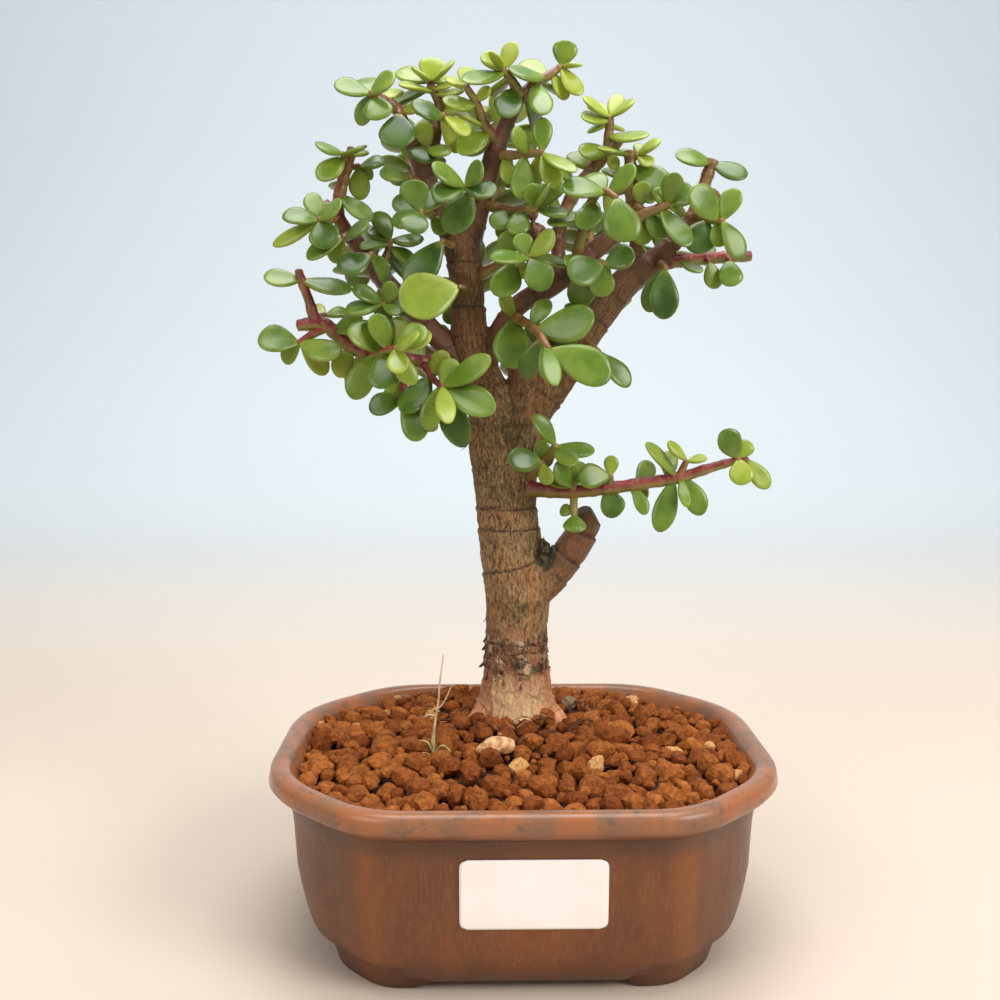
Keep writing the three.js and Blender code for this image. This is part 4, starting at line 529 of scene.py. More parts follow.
    "leaves": [
      [0, 1, -46, 38, 181, 8, -30], [0, 1, -31, 44, 181, 9, -40], [0, 0.95, -42, 36, 167, 9, -75],
      [0, 0.6, -40, 25, 176, 8, -20], [0, 0.55, -22, 35, 172, 8, -30], [0, 0.6, -32, 30, 163, 9, -80],
      [0, 0.8, -38, 32, 187, 8, -50], [0, 0.75, -36, 44, 170, 8, -60], [0, 0.35, -26, 24, 180, 7, -40],
    ],
  },
  {
    "name": "rear_left_shoot",
    "reach": [-13],
    "stems": [[[-38, 16.2, 188, 1.9], [-46, 25, 194, 1.5], [-51, 33, 203, 1]]],
    "leaves": [
      [0, 1, -62, 37, 206, 8, -35], [0, 1, -44, 43, 208, 9, -45], [0, 0.95, -55, 36, 193, 9, -75],
      [0, 0.6, -60, 24, 198, 8, -20], [0, 0.55, -39, 32, 199, 8, -30], [0, 0.7, -51, 30, 213, 8, -60],
      [0, 0.4, -42, 27, 185, 7, -70], [0, 0.75, -47, 42, 197, 8, -60],
    ],
  },
  {
    "name": "rear_left_crest_shoot",
    "reach": [-12],
    "stems": [[[-28, 18, 221, 1.9], [-33.5, 27, 227, 1.5], [-37, 35, 237, 1]]],
    "leaves": [
      [0, 1, -45, 38, 240, 8, -35], [0, 1, -30, 43, 243, 9, -45], [0, 0.95, -41, 39, 226, 9, -75],
      [0, 0.6, -45, 26, 232, 8, -20], [0, 0.55, -24, 33, 233, 8, -30], [0, 0.75, -37, 30, 246, 8, -60],
      [0, 0.7, -31, 40, 227, 8, -65], [0, 0.4, -35, 22, 219, 7, -60],
    ],
  },
  {
    "name": "rear_leader_shoot",
    "reach": [-12],
    "stems": [[[-16.3, 18.4, 179, 2], [-16.5, 29, 188, 1.6], [-15, 38, 201, 1]]],
    "leaves": [
      [0, 1, -26, 43, 206, 9, -35], [0, 1, -5, 45, 207, 9, -45], [0, 0.95, -17, 45, 191, 10, -75],
      [0, 0.6, -28, 30, 194, 8, -20], [0, 0.55, -4, 32, 196, 8, -30], [0, 0.75, -15, 34, 210, 8, -60],
      [0, 0.8, -4, 42, 195, 8, -60], [0, 0.35, -25, 27, 182, 7, -60],
    ],
  },
  {
    "name": "rear_crest_shoot",
    "reach": [-14],
    "stems": [[[-8.4, 18, 231.5, 1.9], [-8, 27, 237.5, 1.4], [-7, 34, 247, 1]]],
    "leaves": [
      [0, 1, -17, 37, 250, 8, -35], [0, 1, 3, 40, 251, 8, -45], [0, 0.95, -9, 40, 237, 9, -75],
      [0, 0.6, -17, 28, 240, 8, -20], [0, 0.55, 6, 30, 242, 8, -30], [0, 0.8, -6, 30, 256, 7, -60],
      [0, 0.4, -15.9, 30, 244.5, 8, 60],
      [0, 0.75, 2, 38, 240, 8, -60], [0, 0.7, -18, 36, 236, 7, -60],
    ],
  },
  {
    "name": "rear_fork_shoot",
    "reach": [-12],
    "stems": [[[-14, 18, 213, 1.9], [-10, 28, 218, 1.5], [-5, 37, 226, 1]]],
    "leaves": [
      [0, 1, -15, 43, 230, 9, -35], [0, 1, 6, 42, 231, 9, -45], [0, 0.95, -4, 44, 216, 9, -75],
      [0, 0.6, -19, 29, 220, 8, -20], [0, 0.55, 4, 30, 222, 8, -30],
      [0, 0.75, -18, 37, 222, 8, -60], [0, 0.8, 6, 40, 220, 8, -60], [0, 0.9, -5, 34, 236, 7, -50],
    ],
  },
  {
    "name": "rear_centre_shoot",
    "reach": [-12],
    "stems": [[[6, 21, 154, 2], [5.5, 31, 161, 1.6], [5, 39, 171, 1]]],
    "leaves": [
      [0, 1, -6, 43, 175, 9, -35], [0, 1, 14, 46, 178, 10, -45], [0, 0.95, 4, 46, 160, 11, -75],
      [0, 0.6, -5, 30, 166, 9, -20], [0, 0.55, 20, 33, 166, 9, -30], [0, 0.75, 5, 35, 182, 8, -60],
      [0, 0.8, -6, 44, 165, 8, -60], [0, 0.8, 16, 45, 167, 8, -60],
    ],
  },
  {
    "name": "rear_mid_right_shoot",
    "reach": [-13],
    "stems": [[[20, 19, 175.5, 2], [25, 29, 182, 1.5], [28, 37, 192, 1]]],
    "leaves": [
      [0, 1, 17, 42, 197, 9, -35], [0, 1, 38, 43, 198, 9, -45], [0, 0.95, 29, 44, 182, 10, -75],
      [0, 0.6, 15, 29, 187, 8, -20], [0, 0.55, 37, 31, 189, 8, -30], [0, 0.75, 27, 33, 202, 8, -60],
      [0, 0.8, 18, 43, 187, 8, -60],
    ],
  },
  {
    "name": "rear_right_end_shoot",
    "reach": [-14],
    "stems": [[[34.5, 16.9, 193.6, 2], [42.5, 26, 199.5, 1.5], [48, 33, 209, 1]]],
    "leaves": [
      [0, 1, 38, 38, 214, 8, -35], [0, 1, 58, 38, 216, 9, -45], [0, 0.95, 51, 40, 199, 9, -75],
      [0, 0.6, 57, 26, 202, 8, -20], [0, 0.55, 36, 30, 206, 8, -30], [0, 0.75, 47, 28, 219, 8, -60],
      [0, 0.5, 50.2, 24, 208.1, 8, 50],
      [0, 0.75, 40, 40, 203, 8, -60],
    ],
  },
  {
    "name": "rear_inner_shoot",
    "reach": [-13],
    "stems": [[[21.5, 13, 200.8, 1.9], [23, 26, 205, 1.5], [24, 35, 211, 1]]],
    "leaves": [
      [0, 1, 14, 40, 217, 9, -35], [0, 1, 33, 41, 218, 9, -45], [0, 0.95, 24, 44, 203, 9, -75],
      [0, 0.75, 34, 29, 212, 8, -20], [0, 0.7, 14, 31, 209, 8, -30],
      [0, 0.85, 15, 42, 207, 8, -60], [0, 0.85, 34, 41, 206, 8, -60], [0, 0.9, 24, 33, 221, 7, -50],
    ],
  },
]


# ------------------------------------------------------------ mesh making
def put_mesh(name, points, quads, triangles, marks=None, smooth=True, level=TABLE_LEVEL):
    """Mesh object from points in millimetres, faces and values kept at each point."""
    points = (np.asarray(points) + [0, 0, level]) * MM
    corners = np.concatenate([np.ravel(quads), np.ravel(triangles)]).astype(np.int32)
    sizes = np.concatenate([np.full(len(quads), 4), np.full(len(triangles), 3)])
    starts = (np.cumsum(sizes) - sizes).astype(np.int32)
    mesh = bpy.data.meshes.new(name)
    mesh.vertices.add(len(points))
    mesh.vertices.foreach_set("co", points.astype(np.float32).ravel())
    mesh.loops.add(len(corners))
    mesh.loops.foreach_set("vertex_index", corners)
    mesh.polygons.add(len(sizes))
    mesh.polygons.foreach_set("loop_start", starts)
    mesh.polygons.foreach_set("use_smooth", np.full(len(sizes), smooth))
    mesh.update(calc_edges=True)
    for key, values in (marks or {}).items():
        values = np.asarray(values, dtype=np.float32)
        kind = "FLOAT" if values.ndim == 1 else "FLOAT_VECTOR"
        field = "value" if values.ndim == 1 else "vector"
        mesh.attributes.new(key, kind, "POINT").data.foreach_set(field, values.ravel())
    piece = bpy.data.objects.new(name, mesh)
    bpy.context.scene.collection.objects.link(piece)
    return piece


def seat(piece, material, slot, *nodes):
    """Gives a piece its finish and its place on the tree's one body."""
    piece.data.materials.clear()
    piece.data.materials.append(material)
    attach(piece, "root")
    if nodes:
        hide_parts(*nodes)
    return piece


def skins(rings, low=None, high=None):
    """Closed skins, one for each item of rings (items, rows, around, 3).

    Quads join neighbouring rings, and a fan to one pole point closes each end. The poles
    are low and high (items, 3), or the middles of the end rings.
    """
    items, rows, around, _ = rings.shape
    low = rings[:, 0].mean(axis=1) if low is None else low
    high = rings[:, -1].mean(axis=1) if high is None else high
    body = rings.reshape(items, rows * around, 3)
    points = np.concatenate([body, low[:, None], high[:, None]], axis=1)
    index = np.arange(rows * around).reshape(rows, around)
    turned = np.roll(index, -1, axis=1)
    quads = np.stack([index[:-1], turned[:-1], turned[1:], index[1:]], axis=-1).reshape(-1, 4)
    pole = np.full(around, rows * around)
    fans = np.concatenate([
        np.stack([pole, turned[0], index[0]], axis=-1),
        np.stack([pole + 1, index[-1], turned[-1]], axis=-1),
    ])
    shift = (np.arange(items) * (rows * around + 2))[:, None, None]
    return (
        points.reshape(-1, 3),
        (quads[None] + shift).reshape(-1, 4),
        (fans[None] + shift).reshape(-1, 3),
    )


def with_poles(values):
    """Per-ring values (items, rows, around) with the end rings' means added for the poles."""
    items = len(values)
    flat = values.reshape(items, -1)
    low = values[:, 0].mean(axis=1, keepdims=True)
    high = values[:, -1].mean(axis=1, keepdims=True)
    return np.concatenate([flat, low, high], axis=1).ravel()


def unit(vectors):
    """Vectors made one long."""
    return vectors / np.maximum(np.linalg.norm(vectors, axis=-1, keepdims=True), 1e-9)


def smooth_path(points, step):
    """Even points a step apart on a smooth curve through x, y, z, radius points.

    Each span is the cubic whose slope at a point is half the step between its neighbours.
    """
    p = np.asarray(points, dtype=float)
    p = np.vstack([2 * p[0] - p[1], p, 2 * p[-1] - p[-2]])
    t = np.linspace(0, 1, 16, endpoint=False)[None, :, None]
    a, b, c, d = (p[k:len(p) - 3 + k, None] for k in range(4))
    curve = 0.5 * (2 * b + (c - a) * t + (2 * a - 5 * b + 4 * c - d) * t ** 2
                   + (3 * b - a - 3 * c + d) * t ** 3)
    curve = np.vstack([curve.reshape(-1, p.shape[1]), p[-2]])
    length = np.append(0, np.cumsum(np.linalg.norm(np.diff(curve[:, :3], axis=0), axis=1)))
    even = np.linspace(0, length[-1], max(int(round(length[-1] / step)), 3) + 1)
    return np.stack([np.interp(even, length, column) for column in curve.T], axis=1), even


def tube(points, step, around, swell=None, blunt=False):
    """Rings of a round limb along a smooth path, with domed ends.

    swell(distance) multiplies the radius. The last radius of the limb closes like a ball,
    or like a clean cut when blunt. Gives rings, distance along and turn angle.
    """
    path, along = smooth_path(points, step)
    places, radius = path[:, :3], path[:, 3].copy()
    if swell is not None:
        radius = radius * swell(along)
    left = (along[-1] - along) / max(radius[-1] * (0.25 if blunt else 1.0), 0.2)
    radius = radius * np.sqrt(np.clip(1 - (1 - np.clip(left, 0.02, 1)) ** 2, 0.02, 1))
    heading = unit(np.gradient(places, axis=0))
    helper = np.eye(3)[np.argmin(np.abs(heading).mean(axis=0))]
    side = unit(np.cross(helper, heading))
    other = np.cross(heading, side)
    turn = np.linspace(0, 2 * np.pi, around, endpoint=False)
    ring = side[:, None] * np.cos(turn)[None, :, None] + other[:, None] * np.sin(turn)[None, :, None]
    rings = places[:, None] + ring * radius[:, None, None]
    return rings, np.repeat(along[:, None], around, axis=1), np.repeat(turn[None], len(along), axis=0)


def join(parts):
    """One set of points and faces from several (points, quads, triangles)."""
    points, quads, triangles, start = [], [], [], 0
    for p, q, t in parts:
        points.append(p)
        quads.append(q + start)
        triangles.append(t + start)
        start += len(p)
    return np.concatenate(points), np.concatenate(quads), np.concatenate(triangles)


def ripple(places, size, seed, waves=9):
    """Smooth uneven values near -1..1: a sum of plane waves of random directions."""
    chance = np.random.default_rng(seed)
    directions = unit(chance.normal(size=(waves, places.shape[-1])))
    pace = 2 * np.pi / (size * chance.uniform(0.7, 1.5, waves))
    phase = chance.uniform(0, 2 * np.pi, waves)
    return np.sin(places @ (directions * pace[:, None]).T + phase).sum(axis=-1) * (1.5 / waves)


def step_up(values, low, high):
    """0 below low, 1 above high, and a smooth rise between."""
    t = np.clip((values - low) / (high - low), 0, 1)
    return t * t * (3 - 2 * t)


# --------------------------------------------------------------- finishes
def colour(red, green, blue):
    """A paint colour given on the usual 0 to 255 scale, as light values."""
    share = np.array([red, green, blue]) / 255
    light = np.where(share < 0.04045, share / 12.92, ((share + 0.055) / 1.055) ** 2.4)
    return (*[float(v) for v in light], 1.0)


class Finish:
    """A material with short calls for the nodes that feed its one shader."""

    def __init__(self, name, **constants):
        self.material = bpy.data.materials.new(name)
        self.material.use_nodes = True
        self.tree = self.material.node_tree
        self.shader = self.tree.nodes["Principled BSDF"]
        for key, value in constants.items():
            self.shader.inputs[key.replace("_", " ")].default_value = value
        self.place = self.node("ShaderNodeTexCoord").outputs["Object"]

    def node(self, kind, settings=None, **inputs):
        """A node with its settings and inputs; an input is a number, a colour or another socket."""
        made = self.tree.nodes.new(kind)
        for key, value in (settings or {}).items():
            setattr(made, key, value)
        for key, value in inputs.items():
            socket = made.inputs[int(key[1:]) if key[0] == "_" else key.replace("_", " ")]
            if isinstance(value, bpy.types.NodeSocket):
                self.tree.links.new(value, socket)
            else:
                socket.default_value = value
        return made

    def stretch(self, x, y, z, source=None):
        """Coordinates multiplied along each axis."""
        return self.node("ShaderNodeVectorMath", {"operation": "MULTIPLY"},
                         _0=source or self.place, _1=(x, y, z)).outputs[0]

    def warp(self, where, scale, reach):
        """Coordinates pushed about by clouds."""
        push = self.node("ShaderNodeTexNoise", Vector=where, Scale=scale, Detail=3.0).outputs["Color"]
        return self.node("ShaderNodeVectorMath", {"operation": "MULTIPLY_ADD"},
                         _0=push, _1=(reach, reach, reach), _2=where).outputs[0]

    def cells(self, where, scale):
        """A chance value for each of many cells, and the distance to the cell's edge."""
        chance = self.node("ShaderNodeTexVoronoi", Vector=where, Scale=scale).outputs["Color"]
        edge = self.node("ShaderNodeTexVoronoi", {"feature": "DISTANCE_TO_EDGE"},
                         Vector=where, Scale=scale).outputs["Distance"]
        return self.axis("X", chance), edge

    def noise(self, where, scale=1.0, detail=3.0, roughness=0.55, distortion=0.0):
        """Cloudy values from 0 to 1."""
        return self.node("ShaderNodeTexNoise", Vector=where, Scale=scale, Detail=detail,
                         Roughness=roughness, Distortion=distortion).outputs["Fac"]

    def dots(self, where, scale, size):
        """1 in small round spots, 0 elsewhere."""
        spots = self.node("ShaderNodeTexVoronoi", Vector=where, Scale=scale).outputs["Distance"]
        return self.range(spots, size, size * 0.5)

    def range(self, value, low, high, low_out=0.0, high_out=1.0):
        """A value's stretch from low to high, spread over another stretch."""
        return self.node("ShaderNodeMapRange", {"interpolation_type": "SMOOTHSTEP"}, Value=value,
                         From_Min=low, From_Max=high, To_Min=low_out, To_Max=high_out).outputs[0]

    def sum(self, a, b, operation="ADD"):
        """Two values put together."""
        return self.node("ShaderNodeMath", {"operation": operation}, _0=a, _1=b).outputs[0]

    def blend(self, share, a, b, way="MIX"):
        """Colour a turning into colour b."""
        return self.node("ShaderNodeMix", {"data_type": "RGBA", "blend_type": way},
                         _0=share, _6=a, _7=b).outputs[2]

    def mark(self, name, output="Fac"):
        """A value kept at the mesh's points."""
        return self.node("ShaderNodeAttribute", {"attribute_name": name}).outputs[output]

    def axis(self, name, source=None):
        """One coordinate: X, Y or Z."""
        return self.node("ShaderNodeSeparateXYZ", Vector=source or self.place).outputs[name]

    def bump(self, height, strength, depth, under=None):
        """Relief for the shader, on top of another relief."""
        made = self.node("ShaderNodeBump", Strength=strength, Distance=depth, Height=height)
        if under is not None:
            self.tree.links.new(under, made.inputs["Normal"])
        return made.outputs[0]

    def feed(self, **sockets):
        """Links sockets to the shader's inputs."""
        for key, value in sockets.items():
            self.tree.links.new(value, self.shader.inputs[key.replace("_", " ")])
        return self.material


def glaze_finish():
    """Satin brown glaze: soft upright streaks, orange along the bends, a warmer glossier lip, and painted
    shade on the cut corners, under the lip and low on the wall.
    """
    f = Finish("satin_brown_glaze", Coat_Weight=0.06, Coat_Roughness=0.3, Specular_IOR_Level=0.4)
    height = f.axis("Z")
    broad = f.noise(f.stretch(60, 60, 14), detail=4, distortion=0.4)
    fine = f.noise(f.stretch(1300, 1300, 220), detail=4)
    cloud = f.noise(f.stretch(90, 90, 60), detail=5, roughness=0.6)
    side = f.sum(f.axis("X"), 0.0, "ABSOLUTE")
    wall = f.blend(f.range(broad, 0.3, 0.7), colour(98, 58, 33), colour(122, 70, 34))
    bend = f.sum(f.range(side, 0.038, 0.042), f.range(side, 0.048, 0.044), "MULTIPLY")
    wall = f.blend(f.sum(bend, 0.45, "MULTIPLY"), wall, colour(134, 78, 30))
    # Painted shade: the cut-corner facets and the ends, turned away from the front lamps, are darker.
    wall = f.blend(f.range(side, 0.046, 0.052, 0, 0.5), wall, colour(84, 54, 34))
    wall = f.blend(f.range(fine, 0.45, 0.68, 0, 0.22), wall, colour(150, 98, 58))
    wall = f.blend(f.range(cloud, 0.55, 0.75, 0, 0.35), wall, colour(92, 66, 50))
    shade = f.sum(f.range(height, 0.040, 0.045), f.range(height, 0.0497, 0.0477), "MULTIPLY")
    wall = f.blend(f.sum(shade, 0.55, "MULTIPLY"), wall, colour(72, 50, 36))
    # Painted shade low on the wall, where it curves in towards the feet.
    wall = f.blend(f.range(height, 0.014, 0.005, 0, 0.55), wall, colour(80, 50, 32))
    lip = f.blend(f.range(cloud, 0.4, 0.62), colour(156, 98, 62), colour(132, 94, 70))
    lip = f.blend(f.range(f.noise(f.stretch(260, 260, 260), detail=3), 0.56, 0.7, 0, 0.75), lip,
                  colour(104, 80, 68))
    inside = f.range(height, 0.0487, 0.0517)
    base = f.blend(inside, wall, lip)
    specks = f.dots(f.place, 260, 0.06)
    base = f.blend(f.sum(specks, 0.45, "MULTIPLY"), base, colour(176, 140, 108))
    pits = f.dots(f.stretch(1.3, 1.3, 1.3), 210, 0.06)
    base = f.blend(f.sum(pits, 0.8, "MULTIPLY"), base, colour(40, 28, 20))
    rough = f.sum(f.range(cloud, 0.3, 0.7, 0.34, 0.46), f.range(inside, 0, 1, 0.04, -0.12))
    relief = f.bump(f.noise(f.place, 160, 3), 0.25, 0.0006)
    relief = f.bump(fine, 0.1, 0.0003, relief)
    return f.feed(Base_Color=base, Roughness=rough, Normal=relief)


def leaf_finish():
    """Thick waxy leaf: green by age and by painted light and shade, a thin paler rim, light passing
    through, soft gloss.
    """
    f = Finish("waxy_leaf", Subsurface_Weight=0.06, Subsurface_Scale=0.001,
               Subsurface_Radius=(0.6, 1.0, 0.2), Coat_Weight=0.1, Coat_Roughness=0.12,
               Specular_IOR_Level=0.4)
    # age carries leaf age together with painted light and shade: paler for lit leaves, deeper green for
    # leaves in shade.
    age = f.mark("youth_and_painted_light")
    cloud = f.noise(f.place, 120, 3)
    deep = f.blend(f.range(cloud, 0.35, 0.65), colour(46, 74, 20), colour(68, 98, 30))
    middle = f.blend(f.range(cloud, 0.35, 0.65), colour(88, 118, 34), colour(110, 136, 44))
    young = f.blend(f.range(cloud, 0.35, 0.65), colour(152, 170, 54), colour(172, 184, 72))
    base = f.blend(f.range(age, 0.0, 0.5), deep, middle)
    base = f.blend(f.range(age, 0.5, 1.0), base, young)
    base = f.blend(f.range(f.mark("share"), 0.22, 0.0, 0, 0.5), base, colour(160, 170, 66))
    base = f.blend(f.sum(f.mark("rim"), 0.22, "MULTIPLY"), base, colour(164, 172, 84))
    base = f.blend(f.sum(f.mark("underside"), 0.3, "MULTIPLY"), base, colour(128, 146, 62))
    scars = f.dots(f.place, 70, 0.035)
    base = f.blend(f.sum(scars, 0.8, "MULTIPLY"), base, colour(128, 92, 50))
    relief = f.bump(f.noise(f.place, 240, 3), 0.15, 0.0005)
    return f.feed(Base_Color=base, Roughness=f.range(cloud, 0.3, 0.7, 0.24, 0.34), Normal=relief)


def stem_finish():
    """Young stem: red where the sun falls, olive below, brown where woody, pale node rings."""
    f = Finish("young_stem", Subsurface_Weight=0.08, Subsurface_Scale=0.0008,
               Subsurface_Radius=(1.0, 0.5, 0.3), Coat_Weight=0.1, Coat_Roughness=0.3)
    cloud = f.noise(f.place, 210, 4)
    line = f.mark("limb_place", "Vector")
    grain = f.noise(f.stretch(1, 1, 0.3, line), 2.6, 3)
    green = f.blend(f.range(cloud, 0.4, 0.6), colour(112, 108, 44), colour(134, 126, 60))
    red = f.blend(f.range(cloud, 0.4, 0.6), colour(118, 30, 42), colour(146, 48, 50))
    sun = f.sum(f.range(f.mark("sky"), -0.55, 0.35), f.mark("redness"), "MULTIPLY")
    base = f.blend(sun, green, red)
    wood = f.blend(f.range(grain, 0.4, 0.62), colour(92, 58, 34), colour(132, 90, 54))
    base = f.blend(f.mark("woodiness"), base, wood)
    base = f.blend(f.sum(f.mark("ring"), 0.55, "MULTIPLY"), base, colour(150, 110, 74))
    base = f.blend(f.mark("cut"), base, colour(158, 118, 82))
    relief = f.bump(grain, 0.3, 0.0004)
    return f.feed(Base_Color=base, Roughness=f.range(f.mark("woodiness"), 0, 1, 0.36, 0.72),
                  Normal=relief)


def bark_finish():
    """Bark: short fibres over tan and olive patches, knotty scraps and pale raw wood low down, with
    painted highlights on the knots and on the raw wood, and painted shade on the raw wood's flanks.
    """
    f = Finish("fibrous_bark")
    line = f.mark("limb_place", "Vector")
    age = f.mark("age")
    height = f.axis("Z")
    smoothness = f.mark("smoothness")
    grain = f.noise(f.stretch(1, 1, 0.42, line), 2.3, 6, 0.68, 0.5)
    streak = f.noise(f.stretch(1, 1, 0.14, line), 1.6, 5, 0.66, 0.5)
    speck = f.noise(f.stretch(1, 1, 0.38), 1150, 5, 0.74)
    patch = f.noise(f.place, 60, 5, 0.6)
    tint = f.noise(f.stretch(1.2, 1.2, 0.9), 100, 5, 0.6)
    old = f.blend(f.range(grain, 0.36, 0.64), colour(92, 66, 36), colour(194, 157, 106))
    old = f.blend(f.range(height, 0.128, 0.096, 0, 0.45), old, colour(214, 166, 114))
    old = f.blend(f.range(patch, 0.47, 0.6, 0, 0.65), old, colour(104, 96, 52))
    old = f.blend(f.range(tint, 0.52, 0.64, 0, 0.6), old, colour(194, 124, 76))
    old = f.blend(f.range(tint, 0.44, 0.33, 0, 0.45), old, colour(150, 136, 100))
    old = f.blend(f.range(speck, 0.52, 0.64, 0, 0.6), old, colour(224, 192, 144))
    old = f.blend(f.range(speck, 0.48, 0.38, 0, 0.75), old, colour(56, 38, 24))
    fresh = f.blend(f.range(streak, 0.38, 0.62), colour(88, 55, 29), colour(150, 102, 58))
    fresh = f.blend(f.range(grain, 0.56, 0.7, 0, 0.45), fresh, colour(170, 126, 82))
    fresh = f.blend(f.range(patch, 0.5, 0.66, 0, 0.35), fresh, colour(92, 76, 36))
    base = f.blend(age, fresh, old)
    smooth = f.blend(f.range(tint, 0.4, 0.62), colour(92, 68, 34), colour(114, 72, 44))
    smooth = f.blend(f.range(f.mark("sky"), -0.1, 0.6, 0, 0.6), smooth, colour(120, 52, 36))
    pores = f.dots(f.place, 330, 0.12)
    smooth = f.blend(f.sum(pores, 0.7, "MULTIPLY"), smooth, colour(56, 34, 24))
    base = f.blend(smoothness, base, smooth)
    rough_part = f.sum(1.0, smoothness, "SUBTRACT")
    cracks = f.sum(f.range(streak, 0.43, 0.33), rough_part, "MULTIPLY")
    base = f.blend(f.sum(cracks, 0.65, "MULTIPLY"), base, colour(52, 36, 22))
    bare = f.blend(f.range(speck, 0.35, 0.65), colour(168, 104, 66), colour(216, 160, 118))
    base = f.blend(f.sum(f.mark("bare"), 0.85, "MULTIPLY"), base, bare)
    knot, gap = f.cells(f.warp(f.place, 260, 0.006), 300)
    scraps = f.blend(f.range(knot, 0.2, 0.45), colour(148, 102, 72), colour(204, 154, 116))
    # The palest knot cells are painted highlights on the knots' bumps.
    scraps = f.blend(f.range(knot, 0.55, 0.8), scraps, colour(250, 210, 172))
    scraps = f.blend(f.range(speck, 0.46, 0.36, 0, 0.6), scraps, colour(66, 46, 32))
    scraps = f.blend(f.range(grain, 0.46, 0.34, 0, 0.6), scraps, colour(74, 50, 36))
    scraps = f.blend(f.range(gap, 0.09, 0.01, 0, 0.8), scraps, colour(52, 32, 22))
    base = f.blend(f.sum(f.mark("knotty"), 0.85, "MULTIPLY"), base, scraps)
    wrinkle, fold = f.cells(f.warp(f.stretch(1, 1, 0.13, line), 0.5, 2.8), 0.42)
    # Amber towards the flanks, pale in the middle: partly the wood's own colour, partly painted shade at
    # the sides and a painted highlight on the front.
    flank = f.range(f.sum(f.sum(f.axis("X"), 0.001, "ADD"), 0.0, "ABSOLUTE"), 0.0025, 0.0125)
    amber_and_edge_shade_share = f.range(f.sum(flank, tint, "ADD"), 0.85, 1.45)
    raw = f.blend(f.range(streak, 0.36, 0.58), colour(246, 176, 120), colour(255, 220, 168))
    amber = f.blend(f.range(streak, 0.36, 0.6), colour(204, 118, 68), colour(248, 178, 128))
    raw = f.blend(amber_and_edge_shade_share, raw, amber)
    raw = f.blend(f.range(wrinkle, 0.55, 0.9, 0, 0.5), raw, colour(248, 186, 146))
    raw = f.blend(f.range(height, 0.0665, 0.0745, 0, 0.6), raw, colour(176, 96, 58))
    # Near-white specks: painted glints on the glossy raw wood.
    raw = f.blend(f.range(speck, 0.6, 0.74, 0, 0.5), raw, colour(255, 236, 206))
    raw = f.blend(f.range(fold, 0.07, 0.0, 0, 0.35), raw, colour(150, 84, 52))
    raw = f.blend(f.range(streak, 0.34, 0.27, 0, 0.7), raw, colour(120, 62, 38))
    base = f.blend(f.mark("raw"), base, raw)
    flake = f.blend(f.range(grain, 0.42, 0.62), colour(42, 26, 20), colour(122, 74, 50))
    base = f.blend(f.mark("flaking"), base, flake)
    moss = f.blend(f.range(speck, 0.42, 0.6), colour(40, 35, 26), colour(92, 80, 58))
    base = f.blend(f.mark("moss"), base, moss)
    base = f.blend(f.mark("ring"), base, colour(56, 36, 24))
    base = f.blend(f.mark("cut"), base, colour(104, 78, 54))
    relief = f.bump(streak, 0.5, 0.0012)
    relief = f.bump(f.sum(grain, rough_part, "MULTIPLY"), 0.9, 0.0013, relief)
    relief = f.bump(f.sum(speck, rough_part, "MULTIPLY"), 0.7, 0.0006, relief)
    relief = f.bump(f.sum(f.range(fold, 0.0, 0.3), f.mark("raw"), "MULTIPLY"), 0.6, 0.001, relief)
    relief = f.bump(f.sum(f.range(gap, 0.0, 0.3), f.mark("knotty"), "MULTIPLY"), 0.7, 0.001, relief)
    rough = f.sum(f.range(age, 0, 1, 0.6, 0.85), f.sum(smoothness, 0.8, "MULTIPLY"), "SUBTRACT")
    rough = f.sum(rough, f.sum(f.mark("raw"), 0.5, "MULTIPLY"), "SUBTRACT")
    rough = f.sum(rough, 0.36, "MAXIMUM")
    return f.feed(Base_Color=base, Roughness=rough, Normal=relief)


def grain_finish():
    """Baked clay granules: dusty, orange-brown, each its own shade."""
    f = Finish("akadama_grains", Specular_IOR_Level=0.2)
    shade = f.mark("shade")
    kind = f.mark("kind")
    dust = f.noise(f.place, 700, 5, 0.65)
    cloud = f.noise(f.place, 190, 3)
    dark = f.blend(f.range(dust, 0.35, 0.65), colour(98, 46, 17), colour(134, 70, 27))
    light = f.blend(f.range(dust, 0.35, 0.65), colour(144, 80, 33), colour(182, 110, 52))
    base = f.blend(shade, dark, light)
    pale = f.blend(f.range(dust, 0.35, 0.65), colour(182, 130, 76), colour(222, 172, 112))
    grey = f.blend(f.range(dust, 0.35, 0.65), colour(112, 88, 70), colour(166, 138, 112))
    base = f.blend(f.range(kind, 0.2, 0.5), base, pale)
    base = f.blend(f.range(kind, 0.6, 0.9), base, grey)
    base = f.blend(f.range(cloud, 0.56, 0.72, 0, 0.5), base, colour(98, 50, 24))
    holes = f.dots(f.place, 520, 0.2)
    base = f.blend(f.sum(holes, 0.5, "MULTIPLY"), base, colour(70, 38, 20))
    relief = f.bump(dust, 0.8, 0.0009)
    relief = f.bump(holes, 0.4, -0.0005, relief)
    return f.feed(Base_Color=base, Roughness=f.range(dust, 0, 1, 0.9, 1.0), Normal=relief)


def plain_finish(name, low, high, scale, roughness, relief=0.3, depth=0.0004, stretch=(1, 1, 1),
                 **constants):
    """Two shades of one stuff, clouded together, with a matching relief."""
    f = Finish(name, **constants)
    cloud = f.noise(f.stretch(*stretch), scale, 4)
    base = f.blend(f.range(cloud, 0.35, 0.65), colour(*low), colour(*high))
    rough = f.range(cloud, 0, 1, roughness - 0.06, roughness + 0.06)
    return f.feed(Base_Color=base, Roughness=rough, Normal=f.bump(cloud, relief, depth))


